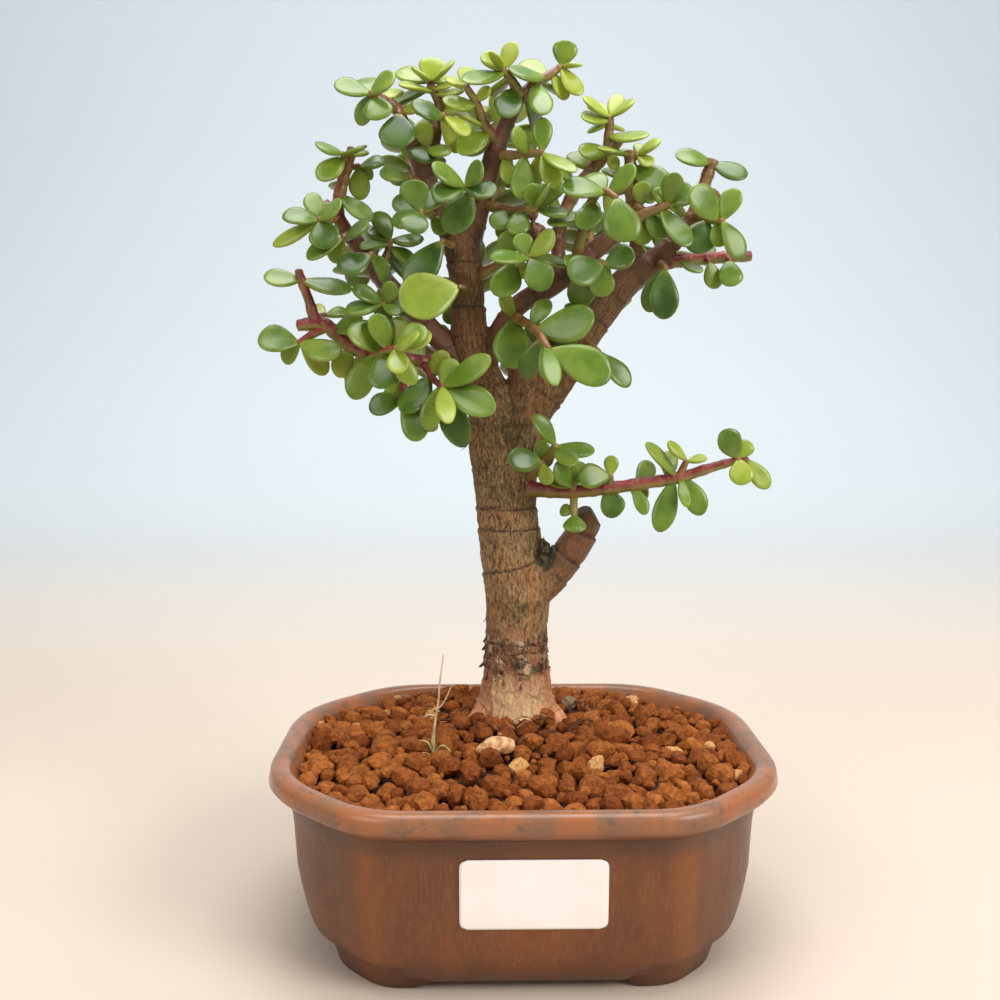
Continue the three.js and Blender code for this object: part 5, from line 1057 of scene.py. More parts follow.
GLAZE = glaze_finish()
LEAF = leaf_finish()
STEM = stem_finish()
BARK = bark_finish()
GRAINS = grain_finish()
# Soil bed colour: fine dust, dark brown partly as painted shade in the gaps between the grains.
DUST_AND_GAP_SHADE = plain_finish("soil_dust_and_gap_shade", (48, 26, 14), (92, 52, 28), 420, 0.95, 0.8, 0.0009)
ROOT = plain_finish("pale_root", (186, 128, 80), (236, 192, 142), 520, 0.75, 0.6, 0.0006, (1, 0.4, 1))
SCRAPS = plain_finish("bark_scraps", (54, 32, 24), (158, 104, 74), 300, 0.55)
MOSS = plain_finish("dry_moss", (34, 30, 21), (104, 92, 58), 700, 0.95, 0.9, 0.0009)
DEBRIS = plain_finish("dark_litter", (50, 30, 20), (96, 60, 38), 500, 0.85)
PALE_FIBRE = plain_finish("pale_fibre", (150, 104, 70), (196, 156, 116), 600, 0.7)
STRAW = plain_finish("dry_grass", (196, 160, 128), (222, 196, 160), 300, 0.65)
DRIED = plain_finish("dried_petals", (112, 62, 52), (196, 150, 128), 700, 0.7)
BLADE = plain_finish("grass_blade", (150, 146, 84), (206, 200, 140), 300, 0.5)
MESH_PLASTIC = plain_finish("screen_plastic", (34, 38, 34), (52, 56, 50), 260, 0.55)
LABEL = plain_finish("label_paper", (246, 240, 239), (250, 245, 245), 60, 0.38, 0.08, 0.0001,
                     Coat_Weight=0.15, Coat_Roughness=0.3)


# -------------------------------------------------------------------- pot
def pot_outline(sections, corner_points=8, edge_points=18):
    """Rectangles with cut corners, seen from above, their eight bends drawn as soft curves.

    Each row of sections starts with half length, half width and corner cut. A bend is a
    quadratic curve that starts and ends a share of the shorter edge away from it; the
    share is larger at the sides. The straight edges get even points of their own. The
    result is (rows, points, 2).
    """
    a, b, c = np.asarray(sections, dtype=float)[:, :3].T
    bends = np.stack([
        np.stack([a, -b + c]), np.stack([a, b - c]), np.stack([a - c, b]), np.stack([-a + c, b]),
        np.stack([-a, b - c]), np.stack([-a, -b + c]), np.stack([-a + c, -b]), np.stack([a - c, -b]),
    ]).transpose(2, 0, 1)
    before = np.roll(bends, 1, axis=1) - bends
    after = np.roll(bends, -1, axis=1) - bends
    share = np.array([SIDE_BEND, SIDE_BEND, FRONT_BEND, FRONT_BEND] * 2)
    reach = share * np.minimum(np.linalg.norm(before, axis=2), np.linalg.norm(after, axis=2))
    start = bends + unit(before) * reach[..., None]
    end = bends + unit(after) * reach[..., None]
    t = np.linspace(0, 1, corner_points)[None, None, :, None]
    curve = (1 - t) ** 2 * start[:, :, None] + 2 * t * (1 - t) * bends[:, :, None]
    curve = curve + t ** 2 * end[:, :, None]
    t = np.linspace(0, 1, edge_points + 2)[None, None, 1:-1, None]
    edge = end[:, :, None] * (1 - t) + np.roll(start, -1, axis=1)[:, :, None] * t
    return np.concatenate([curve, edge], axis=2).reshape(len(a), -1, 2)


def make_pot():
    """The pot's whole skin, with a foot under each corner.

    The rows follow the foot's sections and then the smooth line through the pot's. Between
    the feet the foot's rows lie flat in the underside. At the corners the wall keeps to the
    foot's own outline up to z 2, which leaves a soft step over each foot.
    """
    wall = smooth_path(POT_SECTIONS[1:], 1.3)[0]
    rows = np.vstack([FOOT_SECTIONS, wall])
    plan = pot_outline(rows)
    z = np.repeat(rows[:, 3:4], plan.shape[1], axis=1)
    foot = step_up(np.abs(plan[..., 0]), 27.2, 29.4) * step_up(np.abs(plan[..., 1]), 17.4, 19.6)
    low = np.arange(len(rows))[:, None] < len(FOOT_SECTIONS)
    z = np.where(low, POT_UNDERSIDE + (z - POT_UNDERSIDE) * foot, z)
    risen = rows[:, 3] - FOOT_SECTIONS[-1, 3]
    plinth = pot_outline(FOOT_SECTIONS[-1, :3] + risen[:, None] * FOOT_SLOPE)
    outer = (np.arange(len(rows)) >= len(FOOT_SECTIONS)) & (np.arange(len(rows)) < len(rows) // 2)
    keep = np.clip(1 - step_up(rows[:, 3], 1.4, 3.4), 0, 1) * outer
    corner = step_up(np.abs(plan[..., 0]), 27, 34) * step_up(np.abs(plan[..., 1]), 17, 24)
    share = (keep[:, None] * corner)[..., None]
    plan = plan * (1 - share) + plinth * share
    rings = np.concatenate([plan, z[..., None]], axis=2)[None]
    return put_mesh("pot_body", *skins(rings))


def drill_pot(pot):
    """Cuts the two drainage holes through the pot's floor."""
    turn = np.linspace(0, 2 * np.pi, 40, endpoint=False)
    heights = np.array([-9.0, 8.0])
    for side in (-1, 1):
        circle = np.stack([side * HOLE_X + HOLE_RADIUS * np.cos(turn), HOLE_RADIUS * np.sin(turn)], axis=1)
        rings = np.stack([np.column_stack([circle, np.full(40, h)]) for h in heights])[None]
        cutter = put_mesh("hole_cutter", *skins(rings))
        cut = pot.modifiers.new("hole", "BOOLEAN")
        cut.operation = "DIFFERENCE"
        cut.solver = "EXACT"
        cut.object = cutter
        bake_modifiers(pot)
        bpy.data.objects.remove(cutter)


def bake_modifiers(piece):
    """Keeps the mesh that the piece's modifiers make, and drops the modifiers."""
    bpy.context.view_layer.update()
    finished = piece.evaluated_get(bpy.context.evaluated_depsgraph_get())
    mesh = bpy.data.meshes.new_from_object(finished)
    piece.modifiers.clear()
    old = piece.data
    piece.data = mesh
    bpy.data.meshes.remove(old)
    mesh.name = piece.name


pot = make_pot()
drill_pot(pot)
seat(pot, GLAZE, "glaze", "pot")
for side in ("left", "right"):
    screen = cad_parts[f"drain_screen_{side}"]
    screen.data.materials.clear()
    screen.data.materials.append(MESH_PLASTIC)


LABEL_HALF_LENGTH = 20
LABEL_HALF_HEIGHT = 10
LABEL_X = 1.5
LABEL_Z = 26.1
LABEL_CORNER = 2.2


def make_label():
    """A blank sheet 40 by 20 mm on the front wall, its corners round.

    Rows run up the wall; where a row lies in a corner it is shorter by the corner's circle.
    """
    profile = smooth_path(POT_SECTIONS[1:5], 0.5)[0]
    up = np.linspace(-LABEL_HALF_HEIGHT, LABEL_HALF_HEIGHT, 33)
    z = LABEL_Z + up
    wall = np.interp(z, profile[:, 3], profile[:, 1])
    over = np.clip(np.abs(up) - (LABEL_HALF_HEIGHT - LABEL_CORNER), 0, LABEL_CORNER)
    half = LABEL_HALF_LENGTH - LABEL_CORNER + np.sqrt(np.maximum(LABEL_CORNER ** 2 - over ** 2, 0.0))
    across = np.linspace(-1, 1, 41)
    x = LABEL_X + half[:, None] * across[None]
    y = np.repeat(-(wall + 0.12)[:, None], 41, axis=1)
    points = np.stack([x, y, np.repeat(z[:, None], 41, axis=1)], axis=2).reshape(-1, 3)
    index = np.arange(33 * 41).reshape(33, 41)
    quads = np.stack([index[:-1, :-1], index[:-1, 1:], index[1:, 1:], index[1:, :-1]], axis=-1)
    label = put_mesh("label_sheet", points, quads.reshape(-1, 4), np.zeros((0, 3), dtype=int))
    sheet = label.modifiers.new("thickness", "SOLIDIFY")
    sheet.thickness = 0.3 * MM
    sheet.offset = 1.0
    bake_modifiers(label)
    return label


seat(make_label(), LABEL, "label", "blank_label")


# ------------------------------------------------------------------- soil
def soil_height(x, y):
    """The soil's top: a mound round the trunk that falls off as a bell, with small waves."""
    spread = ((x - TRUNK_X) / 46) ** 2 + ((y - TRUNK_Y) / 40) ** 2
    waves = 0.6 * np.sin(x * 0.55 + y * 0.2) * np.sin(y * 0.6 - x * 0.15)
    return SOIL_RIM_Z + SOIL_MOUND * np.exp(-spread) + waves


# The soil's side against the pot, from the floor up: half length, half width, corner cut, z.
SOIL_WALL = np.array([[54.4, 45.4, 19.2, 2.1], [59.2, 49, 22.3, 8.3], [63, 51, 24.1, 23.8],
                      [64.8, 52.2, 24.7, 38], [67.2, 53.5, 25.8, 44]])

# Grains, big ones first: least and largest radius, tries, and how close they may lie.
GRAIN_SIZES = ((3.2, 4.2, 900, 0.78), (2.4, 3.2, 2600, 0.76), (1.6, 2.3, 4800, 0.76),
               (1.0, 1.5, 3000, 0.84))


def make_soil_bed():
    """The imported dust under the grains: rings that shrink from the wall to the trunk."""
    plan = pot_outline(SOIL_WALL)
    sides = np.concatenate([plan, np.repeat(SOIL_WALL[:, None, 3:4], plan.shape[1], axis=1)], axis=2)
    centre = np.array([TRUNK_X, TRUNK_Y])
    reach = np.linspace(0.99, 0.04, 34)[:, None, None]
    top = centre + (plan[-1][None] - centre) * reach
    height = soil_height(top[..., 0], top[..., 1]) - 2.2 + 0.5 * ripple(top, 3.2, 5)
    rings = np.concatenate([sides, np.concatenate([top, height[..., None]], axis=2)])[None]
    return put_mesh("soil_bed", *skins(rings))


seat(make_soil_bed(), DUST_AND_GAP_SHADE, "akadama", "akadama_soil")


def ball_directions():
    """The 42 corner directions and 80 faces of an evenly split ball."""
    ball = bmesh.new()
    bmesh.ops.create_icosphere(ball, subdivisions=2, radius=1.0)
    directions = np.array([v.co[:] for v in ball.verts])
    faces = np.array([[v.index for v in face.verts] for face in ball.faces])
    ball.free()
    return directions, faces


def inside_pot(x, y, margin):
    """True where a point lies inside the pot's inner outline, less a margin."""
    a, b, c = 68.8 - margin, 55.0 - margin, 26.4
    square = (np.abs(x) < a) & (np.abs(y) < b)
    return square & (np.abs(x) + np.abs(y) < a + b - c - 1.2)


def scatter_grains(chance):
    """Grain centres and sizes: big ones first, each kept clear of those before it."""
    kept = np.zeros((0, 4))
    for radius_low, radius_high, tries, closeness in GRAIN_SIZES:
        x = chance.uniform(-68, 68, tries)
        y = chance.uniform(-54, 54, tries)
        radius = chance.uniform(radius_low, radius_high, tries)
        back = np.hypot(x - TRUNK_X, y - TRUNK_Y)
        good = inside_pot(x, y, radius * 0.9) & (back > 13.5 + radius * 0.5)
        for place in np.column_stack([x, y, radius])[good]:
            gap = np.hypot(kept[:, 0] - place[0], kept[:, 1] - place[1])
            if np.all(gap > closeness * (kept[:, 2] + place[2])):
                kept = np.vstack([kept, [*place, radius_low]])
    return kept


def make_grains(chance):
    """Hundreds of angular lumps: a ball whose radius is cut by random flats, then stretched.

    Along each direction the radius is the least of 1 and a flat's distance over the
    direction's lean towards that flat, softened, with a little roughness on top.
    """
    directions, faces = ball_directions()
    grains = scatter_grains(chance)
    count = len(grains)
    flats = unit(chance.normal(size=(count, 11, 3)))
    depth = chance.uniform(0.6, 0.92, (count, 11))
    lean = np.einsum("vk,nfk->nvf", directions, flats)
    cut = depth[:, None] / np.maximum(lean, 0.05)
    radius = (1 + np.sum(cut ** -18.0, axis=2)) ** (-1 / 18.0)
    radius = radius * (1 + chance.normal(0, 0.045, radius.shape))
    stretch = chance.uniform([0.85, 0.8, 0.72], [1.3, 1.12, 0.98], (count, 3))
    shape = directions[None] * radius[..., None] * stretch[:, None]
    turn = chance.uniform(0, 2 * np.pi, count)
    tilt = chance.normal(0, 0.35, count)
    cos_tilt, sin_tilt = np.cos(tilt)[:, None], np.sin(tilt)[:, None]
    x, y, z = shape[..., 0], shape[..., 1], shape[..., 2]
    x, z = x * cos_tilt - z * sin_tilt, x * sin_tilt + z * cos_tilt
    cos_turn, sin_turn = np.cos(turn)[:, None], np.sin(turn)[:, None]
    x, y = x * cos_turn - y * sin_turn, x * sin_turn + y * cos_turn
    size = grains[:, 2] * 1.12
    lift = chance.uniform(-0.6, 0.3, count) * size
    height = soil_height(grains[:, 0], grains[:, 1]) + lift
    points = np.stack([
        grains[:, 0, None] + x * size[:, None],
        grains[:, 1, None] + y * size[:, None],
        height[:, None] + z * size[:, None],
    ], axis=2)
    kind = np.where(chance.random(count) < 0.045, 0.55, 0.0)
    near = np.hypot(grains[:, 0] - TRUNK_X, grains[:, 1] - TRUNK_Y)
    kind = np.where((near < 32) & (chance.random(count) < 0.035), 1.0, kind)
    shade = np.clip(chance.normal(0.5, 0.28, count), 0, 1)
    marks = {
        "shade": np.repeat(shade, len(directions)),
        "kind": np.repeat(kind, len(directions)),
    }
    shift = (np.arange(count) * len(directions))[:, None, None]
    none = np.zeros((0, 4), dtype=int)
    faces = (faces[None] + shift).reshape(-1, 3)
    return put_mesh("akadama_grains", points.reshape(-1, 3), none, faces, marks, smooth=False)


seat(make_grains(np.random.default_rng(11)), GRAINS, "akadama", "akadama_soil")


# ------------------------------------------------------------------ trunk
def woody_limbs():
    """Every woody limb as its smooth path: (points, distance along, kind)."""
    limbs = [("trunk", TRUNK_LINE)]
    limbs += [("root", points) for points in ROOTS]
    limbs += [("branch", points) for points in WOODY_BRANCHES]
    return [(kind, *smooth_path(points, 1.2)) for kind, points in limbs]


def nearest_limb(points, limbs):
    """For each point, its place on the limb whose skin is nearest.

    Each path segment gives the distance from the point to the segment's skin; the least one
    names the limb, the distance along it, its radius and the direction away from its middle.
    """
    starts = np.concatenate([path[:-1] for _, path, _ in limbs])
    ends = np.concatenate([path[1:] for _, path, _ in limbs])
    along = np.concatenate([even[:-1] for _, _, even in limbs])
    owner = np.concatenate([np.full(len(path) - 1, k) for k, (_, path, _) in enumerate(limbs)])
    axis = ends[:, :3] - starts[:, :3]
    length = np.linalg.norm(axis, axis=1)
    best = np.full(len(points), 1e9)
    found = np.zeros(len(points), dtype=int)
    share = np.zeros(len(points))
    for k in range(len(starts)):
        offset = points - starts[k, :3]
        t = np.clip(offset @ axis[k] / length[k] ** 2, 0, 1)
        reach = np.linalg.norm(offset - t[:, None] * axis[k], axis=1)
        skin = reach - (starts[k, 3] * (1 - t) + ends[k, 3] * t)
        closer = skin < best
        best = np.where(closer, skin, best)
        found = np.where(closer, k, found)
        share = np.where(closer, t, share)
    middle = starts[found, :3] + share[:, None] * axis[found]
    radius = starts[found, 3] * (1 - share) + ends[found, 3] * share
    away = unit(points - middle)
    heading = unit(axis[found])
    return owner[found], along[found] + share * length[found], radius, away, heading


# Ring scars left by old leaf pairs on the trunk: height, lean to the right, strength; and
# on the right stub, the first of the woody branches: distance along it.
STUB = 1 + len(ROOTS)
STUB_RINGS = [15.0, 22.4, 32.0]
TRUNK_RINGS = [[76.0, 0.0, 1.0], [100.3, 0.26, 1.2], [113.6, 0.03, 1.0], [120.8, -0.02, 1.0],
               [134.5, 0.12, 0.5], [148.0, -0.05, 0.6], [160.5, 0.1, 0.5], [176.5, 0.1, 0.6],
               [185.2, 0.05, 0.9], [198.9, 0.0, 0.9]]

# The stub's two slanting cuts: a point of each and the way it faces.
STUB_CUTS = [([24.6, 20.0, 118.0], [0.86, -0.1, 0.51]), ([21.2, 20.0, 120.3], [-0.44, -0.15, 0.9])]

# Spots of dark moss on the trunk's foot: x, z.
MOSS_SPOTS = [[-0.6, 69.6], [5.4, 67.6]]

# Places where the outer bark has come away: x, z, half width, half height, and -1 at the
# front or 1 at the back.
BARE_PLACES = [[-1.8, 79.4, 4.8, 2.5, -1], [4.9, 72.4, 2.2, 4.6, -1], [2.5, 83, 4, 2.6, 1],
               [-5.5, 75, 2.6, 3.4, 1]]


# Edge length of the trunk's fused skin.
SKIN_STEP = 0.62


def make_trunk():
    """The tree's woody part: tubes along every limb, fused by a fine remesh, then carved.

    The skin moves in and out by fibres that run along each limb, by ring scars (a groove
    with a raised lower lip), by ridges on the root flare and by broad unevenness.
    """
    limbs = woody_limbs()
    parts = []
    for kind, path, _ in limbs:
        around = 28 if kind == "trunk" else 20
        rings, _, _ = tube(path, 1.0, around, blunt=True)
        parts.append(skins(rings[None]))
    raw = put_mesh("raw_trunk", *join(parts))
    remesh = raw.modifiers.new("fuse", "REMESH")
    remesh.mode = "VOXEL"
    remesh.voxel_size = SKIN_STEP * MM
    settle = raw.modifiers.new("settle", "SMOOTH")
    settle.factor = 0.5
    settle.iterations = 4
    bake_modifiers(raw)
    mesh = raw.data
    points = np.zeros(len(mesh.vertices) * 3)
    mesh.vertices.foreach_get("co", points)
    points = points.reshape(-1, 3) / MM - [0, 0, TABLE_LEVEL]
    normals = np.zeros(len(mesh.vertices) * 3)
    mesh.vertices.foreach_get("normal", normals)
    normals = normals.reshape(-1, 3)
    corners = np.zeros(len(mesh.loops), dtype=int)
    mesh.loops.foreach_get("vertex_index", corners)
    totals = np.zeros(len(mesh.polygons), dtype=int)
    mesh.polygons.foreach_get("loop_total", totals)
    starts = np.zeros(len(mesh.polygons), dtype=int)
    mesh.polygons.foreach_get("loop_start", starts)
    quads = corners[starts[totals == 4][:, None] + np.arange(4)]
    triangles = corners[starts[totals == 3][:, None] + np.arange(3)]
    bpy.data.objects.remove(raw)

    owner, along, radius, away, heading = nearest_limb(points, limbs)
    kinds = np.array([kind for kind, _, _ in limbs])[owner]
    on_trunk = kinds == "trunk"
    helper = np.where(np.abs(heading[:, 1:2]) < 0.9, [[0.0, 1.0, 0.0]], [[1.0, 0.0, 0.0]])
    side = unit(np.cross(helper, heading))
    other = np.cross(heading, side)
    turn_x = np.sum(away * side, axis=1) * radius
    turn_y = np.sum(away * other, axis=1) * radius
    limb_place = np.column_stack([turn_x, turn_y, along + owner * 37.0])
    height = points[:, 2]

    fibre = ripple(limb_place * [1, 1, 0.3], 1.6, 3, 18) + 0.7 * ripple(points, 1.6, 60, 18)
    broad = ripple(points * [1, 1, 0.6], 9.0, 8, 12) + 0.5 * ripple(points * [1, 1, 0.7], 4.0, 9, 14)
    age = np.clip((radius - 3.2) / 5.0, 0, 1) * np.where(height < 200, 1.0, 0.5)
    at_root = on_trunk | (kinds == "root")
    raw_zone = step_up(66.5 + 3.2 * ripple(points * [1, 1, 0.5], 5, 21, 14) - height, -1.0, 1.6) * at_root
    flake_zone = step_up(height, 62, 67) * step_up(-height, -83, -75) * at_root
    ring = np.zeros(len(points))
    lip = np.zeros(len(points))
    for level, lean, strength in TRUNK_RINGS:
        z = height - level - lean * (points[:, 0] - np.interp(level, [50, 210], [-1, -17]))
        z = z + 0.35 * ripple(points, 7, int(level), 6)
        ring += on_trunk * strength * np.exp(-(z / 0.34) ** 2)
        swelling = np.exp(-((z + 0.9) / 0.8) ** 2) - 0.4 * np.exp(-((z - 0.9) / 0.9) ** 2)
        lip += on_trunk * strength * swelling
    on_branch = (kinds == "branch") & (along > 7)
    bare = np.zeros(len(points))
    for x, z, half_width, half_height, facing in BARE_PLACES:
        off = np.hypot((points[:, 0] - x) / half_width, (height - z) / half_height)
        off = off + 0.25 * ripple(points, 3.5, 71, 10)
        bare = np.maximum(bare, step_up(1.1 - off, 0, 0.3) * (away[:, 1] * facing > 0) * on_trunk)
    spacing = np.where(radius > 4.4, 9.5, 11.0)
    phase = (along + 3.0 * np.sin(owner * 2.3) + 0.4 * ripple(points, 6, 31, 6)) / spacing
    z = (phase - np.round(phase)) * spacing
    ring += on_branch * (owner != STUB) * 0.8 * np.exp(-(z / 0.3) ** 2)
    lip += on_branch * (owner != STUB) * 0.7 * np.exp(-((z + 0.7) / 0.7) ** 2)
    for level in STUB_RINGS:
        z = along - level + 0.3 * ripple(points, 4, int(level), 6)
        ring += (owner == STUB) * 1.3 * np.exp(-(z / 0.45) ** 2)
        lip += (owner == STUB) * 0.6 * (np.exp(-((z + 1.1) / 0.8) ** 2) - np.exp(-((z - 1.1) / 1) ** 2))
    ridges = ripple(limb_place * [1, 1, 0.08], 5.0, 12, 10)
    smoothness = step_up(5.2 - radius, 0, 0.8)
    on_stub = (owner == STUB) * step_up(along, 15, 19)
    smoothness = np.where(owner == STUB, 0.62 * on_stub, smoothness)
    torn = np.maximum(ripple(points * [1, 1, 0.6], 2.4, 50, 18), 0) * flake_zone
    carve = (0.06 + 0.2 * age) * fibre * (1 - smoothness) + 0.3 * broad * (radius / 9)
    knotty = flake_zone * (1 - raw_zone) * (1 - bare)
    wrinkles = ripple(limb_place * [1, 1, 0.22], 2.2, 13, 16)
    carve = carve - 0.5 * ring + 0.34 * lip + 1.0 * torn * (1 - raw_zone)
    carve = carve + knotty * 0.6 * ripple(points, 3.6, 70, 16) - 0.25 * bare
    carve = carve + raw_zone * (0.75 * ridges + 0.4 * wrinkles + 0.15 * fibre)
    points = points + normals * carve[:, None]
    on_end = (owner == STUB) & (along > 26)
    cut = np.zeros(len(points))
    for place, facing in STUB_CUTS:
        facing = unit(np.array(facing))
        over = np.where(on_end, (points - place) @ facing, -1)
        points = points - np.maximum(over, 0)[:, None] * facing
        cut = np.maximum(cut, step_up(over, -0.35, -0.05))
    flank = step_up(np.abs(points[:, 0] - TRUNK_X), 6.2, 9.2)
    flaking = knotty * step_up(ripple(points * [1, 1, 0.5], 2.6, 51, 16) + 0.8 * flank, 0.5, 1.1)

    crotch = np.linalg.norm((points - [8.6, 20, 105.5]) * [1.2, 0.8, 0.9], axis=1)
    moss = step_up(6.0 - crotch + 1.4 * ripple(points, 2.2, 40, 12), 0, 2.2)
    for x, z in MOSS_SPOTS:
        off = np.hypot((points[:, 0] - x) / 2.7, (height - z) / 1.7) + 0.5 * ripple(points, 1.6, 41, 16)
        moss = np.maximum(moss, 0.85 * step_up(1.2 - off, 0, 0.8) * on_trunk * (normals[:, 1] < 0))
    marks = {
        "limb_place": limb_place, "age": age, "raw": raw_zone, "moss": moss,
        "ring": np.clip(ring, 0, 1) * 0.8 * (1 - raw_zone),
        "smoothness": smoothness * (1 - cut), "sky": normals[:, 2], "flaking": flaking, "bare": bare,
        "knotty": knotty, "cut": cut,
    }
    return put_mesh("trunk_bark", points, quads, triangles, marks)


seat(make_trunk(), BARK, "bark", "trunk")


def on_the_trunk(turn, height):
    """Places on the trunk's skin and the ways straight out from it, for turns and heights."""
    line = np.array(TRUNK_LINE)
    x, y, radius = (np.interp(height, line[:, 2], line[:, k]) for k in (0, 1, 3))
    out = np.stack([np.cos(turn), np.sin(turn), np.zeros(len(turn))], axis=1)
    return np.column_stack([x, y, height]) + out * (radius * 0.96)[:, None], out


# Large curled scraps: turn in degrees, height, length, width, curl and lean from straight down.
LARGE_SCRAPS = [
    [192, 71.0, 4.0, 4.2, 0.6, 0.0], [180, 83.5, 1.8, 1.6, 0.5, 0.3],
    [185, 77.5, 2.6, 2.2, 0.4, -0.3], [176, 74.5, 2.8, 2.2, 0.4, 0.8],
    [0, 75, 3.8, 2.4, 0.2, 0.1], [354, 68.5, 2.4, 2.0, 0.5, 0.2],
    [8, 71, 3.4, 2.2, 0.25, -0.2], [182, 142.5, 3.2, 2.2, 0.85, 0.1],
    [200, 66.5, 3.4, 2.4, 0.4, 0.4],
]


def make_scraps(count, seed):
    """Curled scraps of bark round the foot of the trunk, each held by one end.

    A scrap's middle line starts on the bark, runs mostly down it and lifts off by curl times
    the square of the distance. Across, it is a thin oval that narrows to both ends.
    """
    chance = np.random.default_rng(seed)
    small = np.column_stack([
        chance.uniform(0, 360, count), chance.uniform(63, 79, count), chance.uniform(1.2, 2.8, count),
        chance.uniform(0.8, 2.0, count), chance.uniform(0.0, 0.4, count), chance.normal(0, 1.2, count),
    ])
    turn, height, length, width, curl, lean = np.vstack([LARGE_SCRAPS, small]).T
    start, out = on_the_trunk(np.radians(turn), height)
    around = np.cross([0, 0, 1.0], out)
    heading = around * np.sin(lean)[:, None] - np.array([0, 0, 1.0]) * np.cos(lean)[:, None]
    across = np.cross(heading, out)
    s = np.linspace(0.02, 0.98, 8)[None, :, None]
    phi = np.linspace(0, 2 * np.pi, 8, endpoint=False)[None, None]
    far = length[:, None, None] * s
    aside = 0.5 * width[:, None, None] * np.sin(np.pi * s ** 0.9) ** 0.35 * np.cos(phi)
    aside = aside * (1 + 0.25 * np.sin(7 * s + 9 * width[:, None, None]))
    lift = 0.25 + far * curl[:, None, None] * s + 0.13 * np.sin(phi) - 0.25 * aside ** 2
    rings = start[:, None, None] + heading[:, None, None] * far[..., None]
    rings = rings + across[:, None, None] * aside[..., None] + out[:, None, None] * lift[..., None]
    return put_mesh("bark_scraps", *skins(rings))


seat(make_scraps(80, 21), SCRAPS, "bark", "trunk")


MOSS_PLACE = np.array([8.0, 21.4, 105.0])
MOSS_SIZE = np.array([2.2, 4.2, 5.0])


def make_moss():
    """A ragged cushion of moss in the notch between the trunk and the stub.

    A ball stretched along each axis, its skin moved in and out by coarse and fine waves.
    """
    rows, around = 40, 44
    slope = np.pi * (np.arange(rows) + 0.5) / rows
    turn = np.linspace(0, 2 * np.pi, around, endpoint=False)
    ball = np.stack(np.broadcast_arrays(
        np.sin(slope)[:, None] * np.cos(turn), np.sin(slope)[:, None] * np.sin(turn),
        -np.cos(slope)[:, None]), axis=2)
    rough = 0.16 * ripple(ball, 0.7, 80, 14) + 0.2 * np.abs(ripple(ball, 0.3, 81, 20))
    rings = MOSS_PLACE + ball * (1 + rough)[..., None] * MOSS_SIZE
    return put_mesh("notch_moss", *skins(rings[None]))


seat(make_moss(), MOSS, "bark", "trunk")


# ----------------------------------------------------- root, litter, grass
def make_root_lump():
    """A knobbly spindle with lengthwise ridges, lying on the grains."""
    z = soil_height(-8.0, -12.0) + 2.6
    line = [[-14.2, -13.4, z - 0.8, 0.7], [-12, -13, z, 1.9], [-9.5, -12.4, z + 0.5, 2.6],
            [-6.6, -11.6, z + 0.5, 2.7], [-4, -10.9, z, 2.2], [-2.2, -10.4, z - 0.6, 1.2]]
    rings, along, turn = tube(line, 0.5, 28)
    middle = rings.mean(axis=1, keepdims=True)
    spot = np.stack([np.cos(turn) * 2.5, np.sin(turn) * 2.5, along * 0.35], axis=2)
    swell = 1 + 0.13 * ripple(spot, 2.2, 9) + 0.05 * ripple(rings, 1.2, 10)
    rings = middle + (rings - middle) * swell[..., None]
    return put_mesh("root_lump", *skins(rings[None]))


seat(make_root_lump(), ROOT, "root", "exposed_root")


def make_threads(name, lines, step=0.7, around=7):
    """Several thin round threads as one mesh."""
    return put_mesh(name, *join([skins(tube(line, step, around)[0][None]) for line in lines]))


SPRIG = [
    [[-27.5, -10, 47, 0.45], [-27.2, -10, 52, 0.42], [-26.8, -10, 58, 0.36], [-25.6, -10, 66, 0.32],
     [-25.2, -10, 71, 0.3], [-24, -10, 80, 0.16]],
    [[-26.7, -10, 60.5, 0.3], [-28.6, -10.6, 61, 0.26], [-30, -11, 60.4, 0.14]],
    [[-26.6, -10, 62, 0.28], [-24, -10.8, 65, 0.24], [-21.5, -11.5, 70.5, 0.12]],
]
BLADES = [
    [[-27.2, -10, 49, 0.3], [-27.6, -10.6, 53, 0.32], [-27, -10.8, 58, 0.16]],
    [[-27.2, -10, 48.5, 0.34], [-24.6, -11.6, 51.6, 0.34], [-22.4, -12.4, 50.4, 0.3],
     [-22, -12.8, 48.6, 0.16]],
    [[-27.6, -10.4, 48, 0.3], [-30.6, -12, 49.4, 0.3], [-34, -13, 48.2, 0.14]],
    [[-27.4, -10.4, 49, 0.26], [-29, -11, 52.4, 0.26], [-31.4, -11.6, 53.4, 0.12]],
]
seat(make_threads("grass_stalk", SPRIG), STRAW, "dry_grass", "grass_sprig")
seat(make_threads("grass_blades", BLADES, 0.5, 8), BLADE, "dry_grass", "grass_sprig")


def make_litter(name, count, reach, radius, length, seed, lift):
    """Short crooked fibres lying on the soil round the trunk.

    Each is a line through three points: its middle at a random place near the trunk, its
    ends half a length away, and all of them just above the soil.
    """
    chance = np.random.default_rng(seed)
    angle = chance.uniform(-np.pi, 0.25, count)
    away = chance.uniform(15, reach, count)
    x = TRUNK_X + away * np.cos(angle)
    y = TRUNK_Y + away * np.sin(angle)
    turn = chance.uniform(0, np.pi, count)
    half = chance.uniform(0.5, 1.0, count) * length / 2
    bend = chance.normal(0, 0.25, count) * length
    lines = []
    for k in range(count):
        step = half[k] * np.array([np.cos(turn[k]), np.sin(turn[k])])
        aside = bend[k] * np.array([-np.sin(turn[k]), np.cos(turn[k])])
        places = np.array([[x[k], y[k]] - step, [x[k], y[k]] + aside, [x[k], y[k]] + step])
        z = soil_height(places[:, 0], places[:, 1]) + lift + chance.uniform(0, 1.2, 3)
        lines.append(np.column_stack([places, z, [radius * 0.6, radius, radius * 0.4]]))
    return make_threads(name, lines, 1.0, 6)


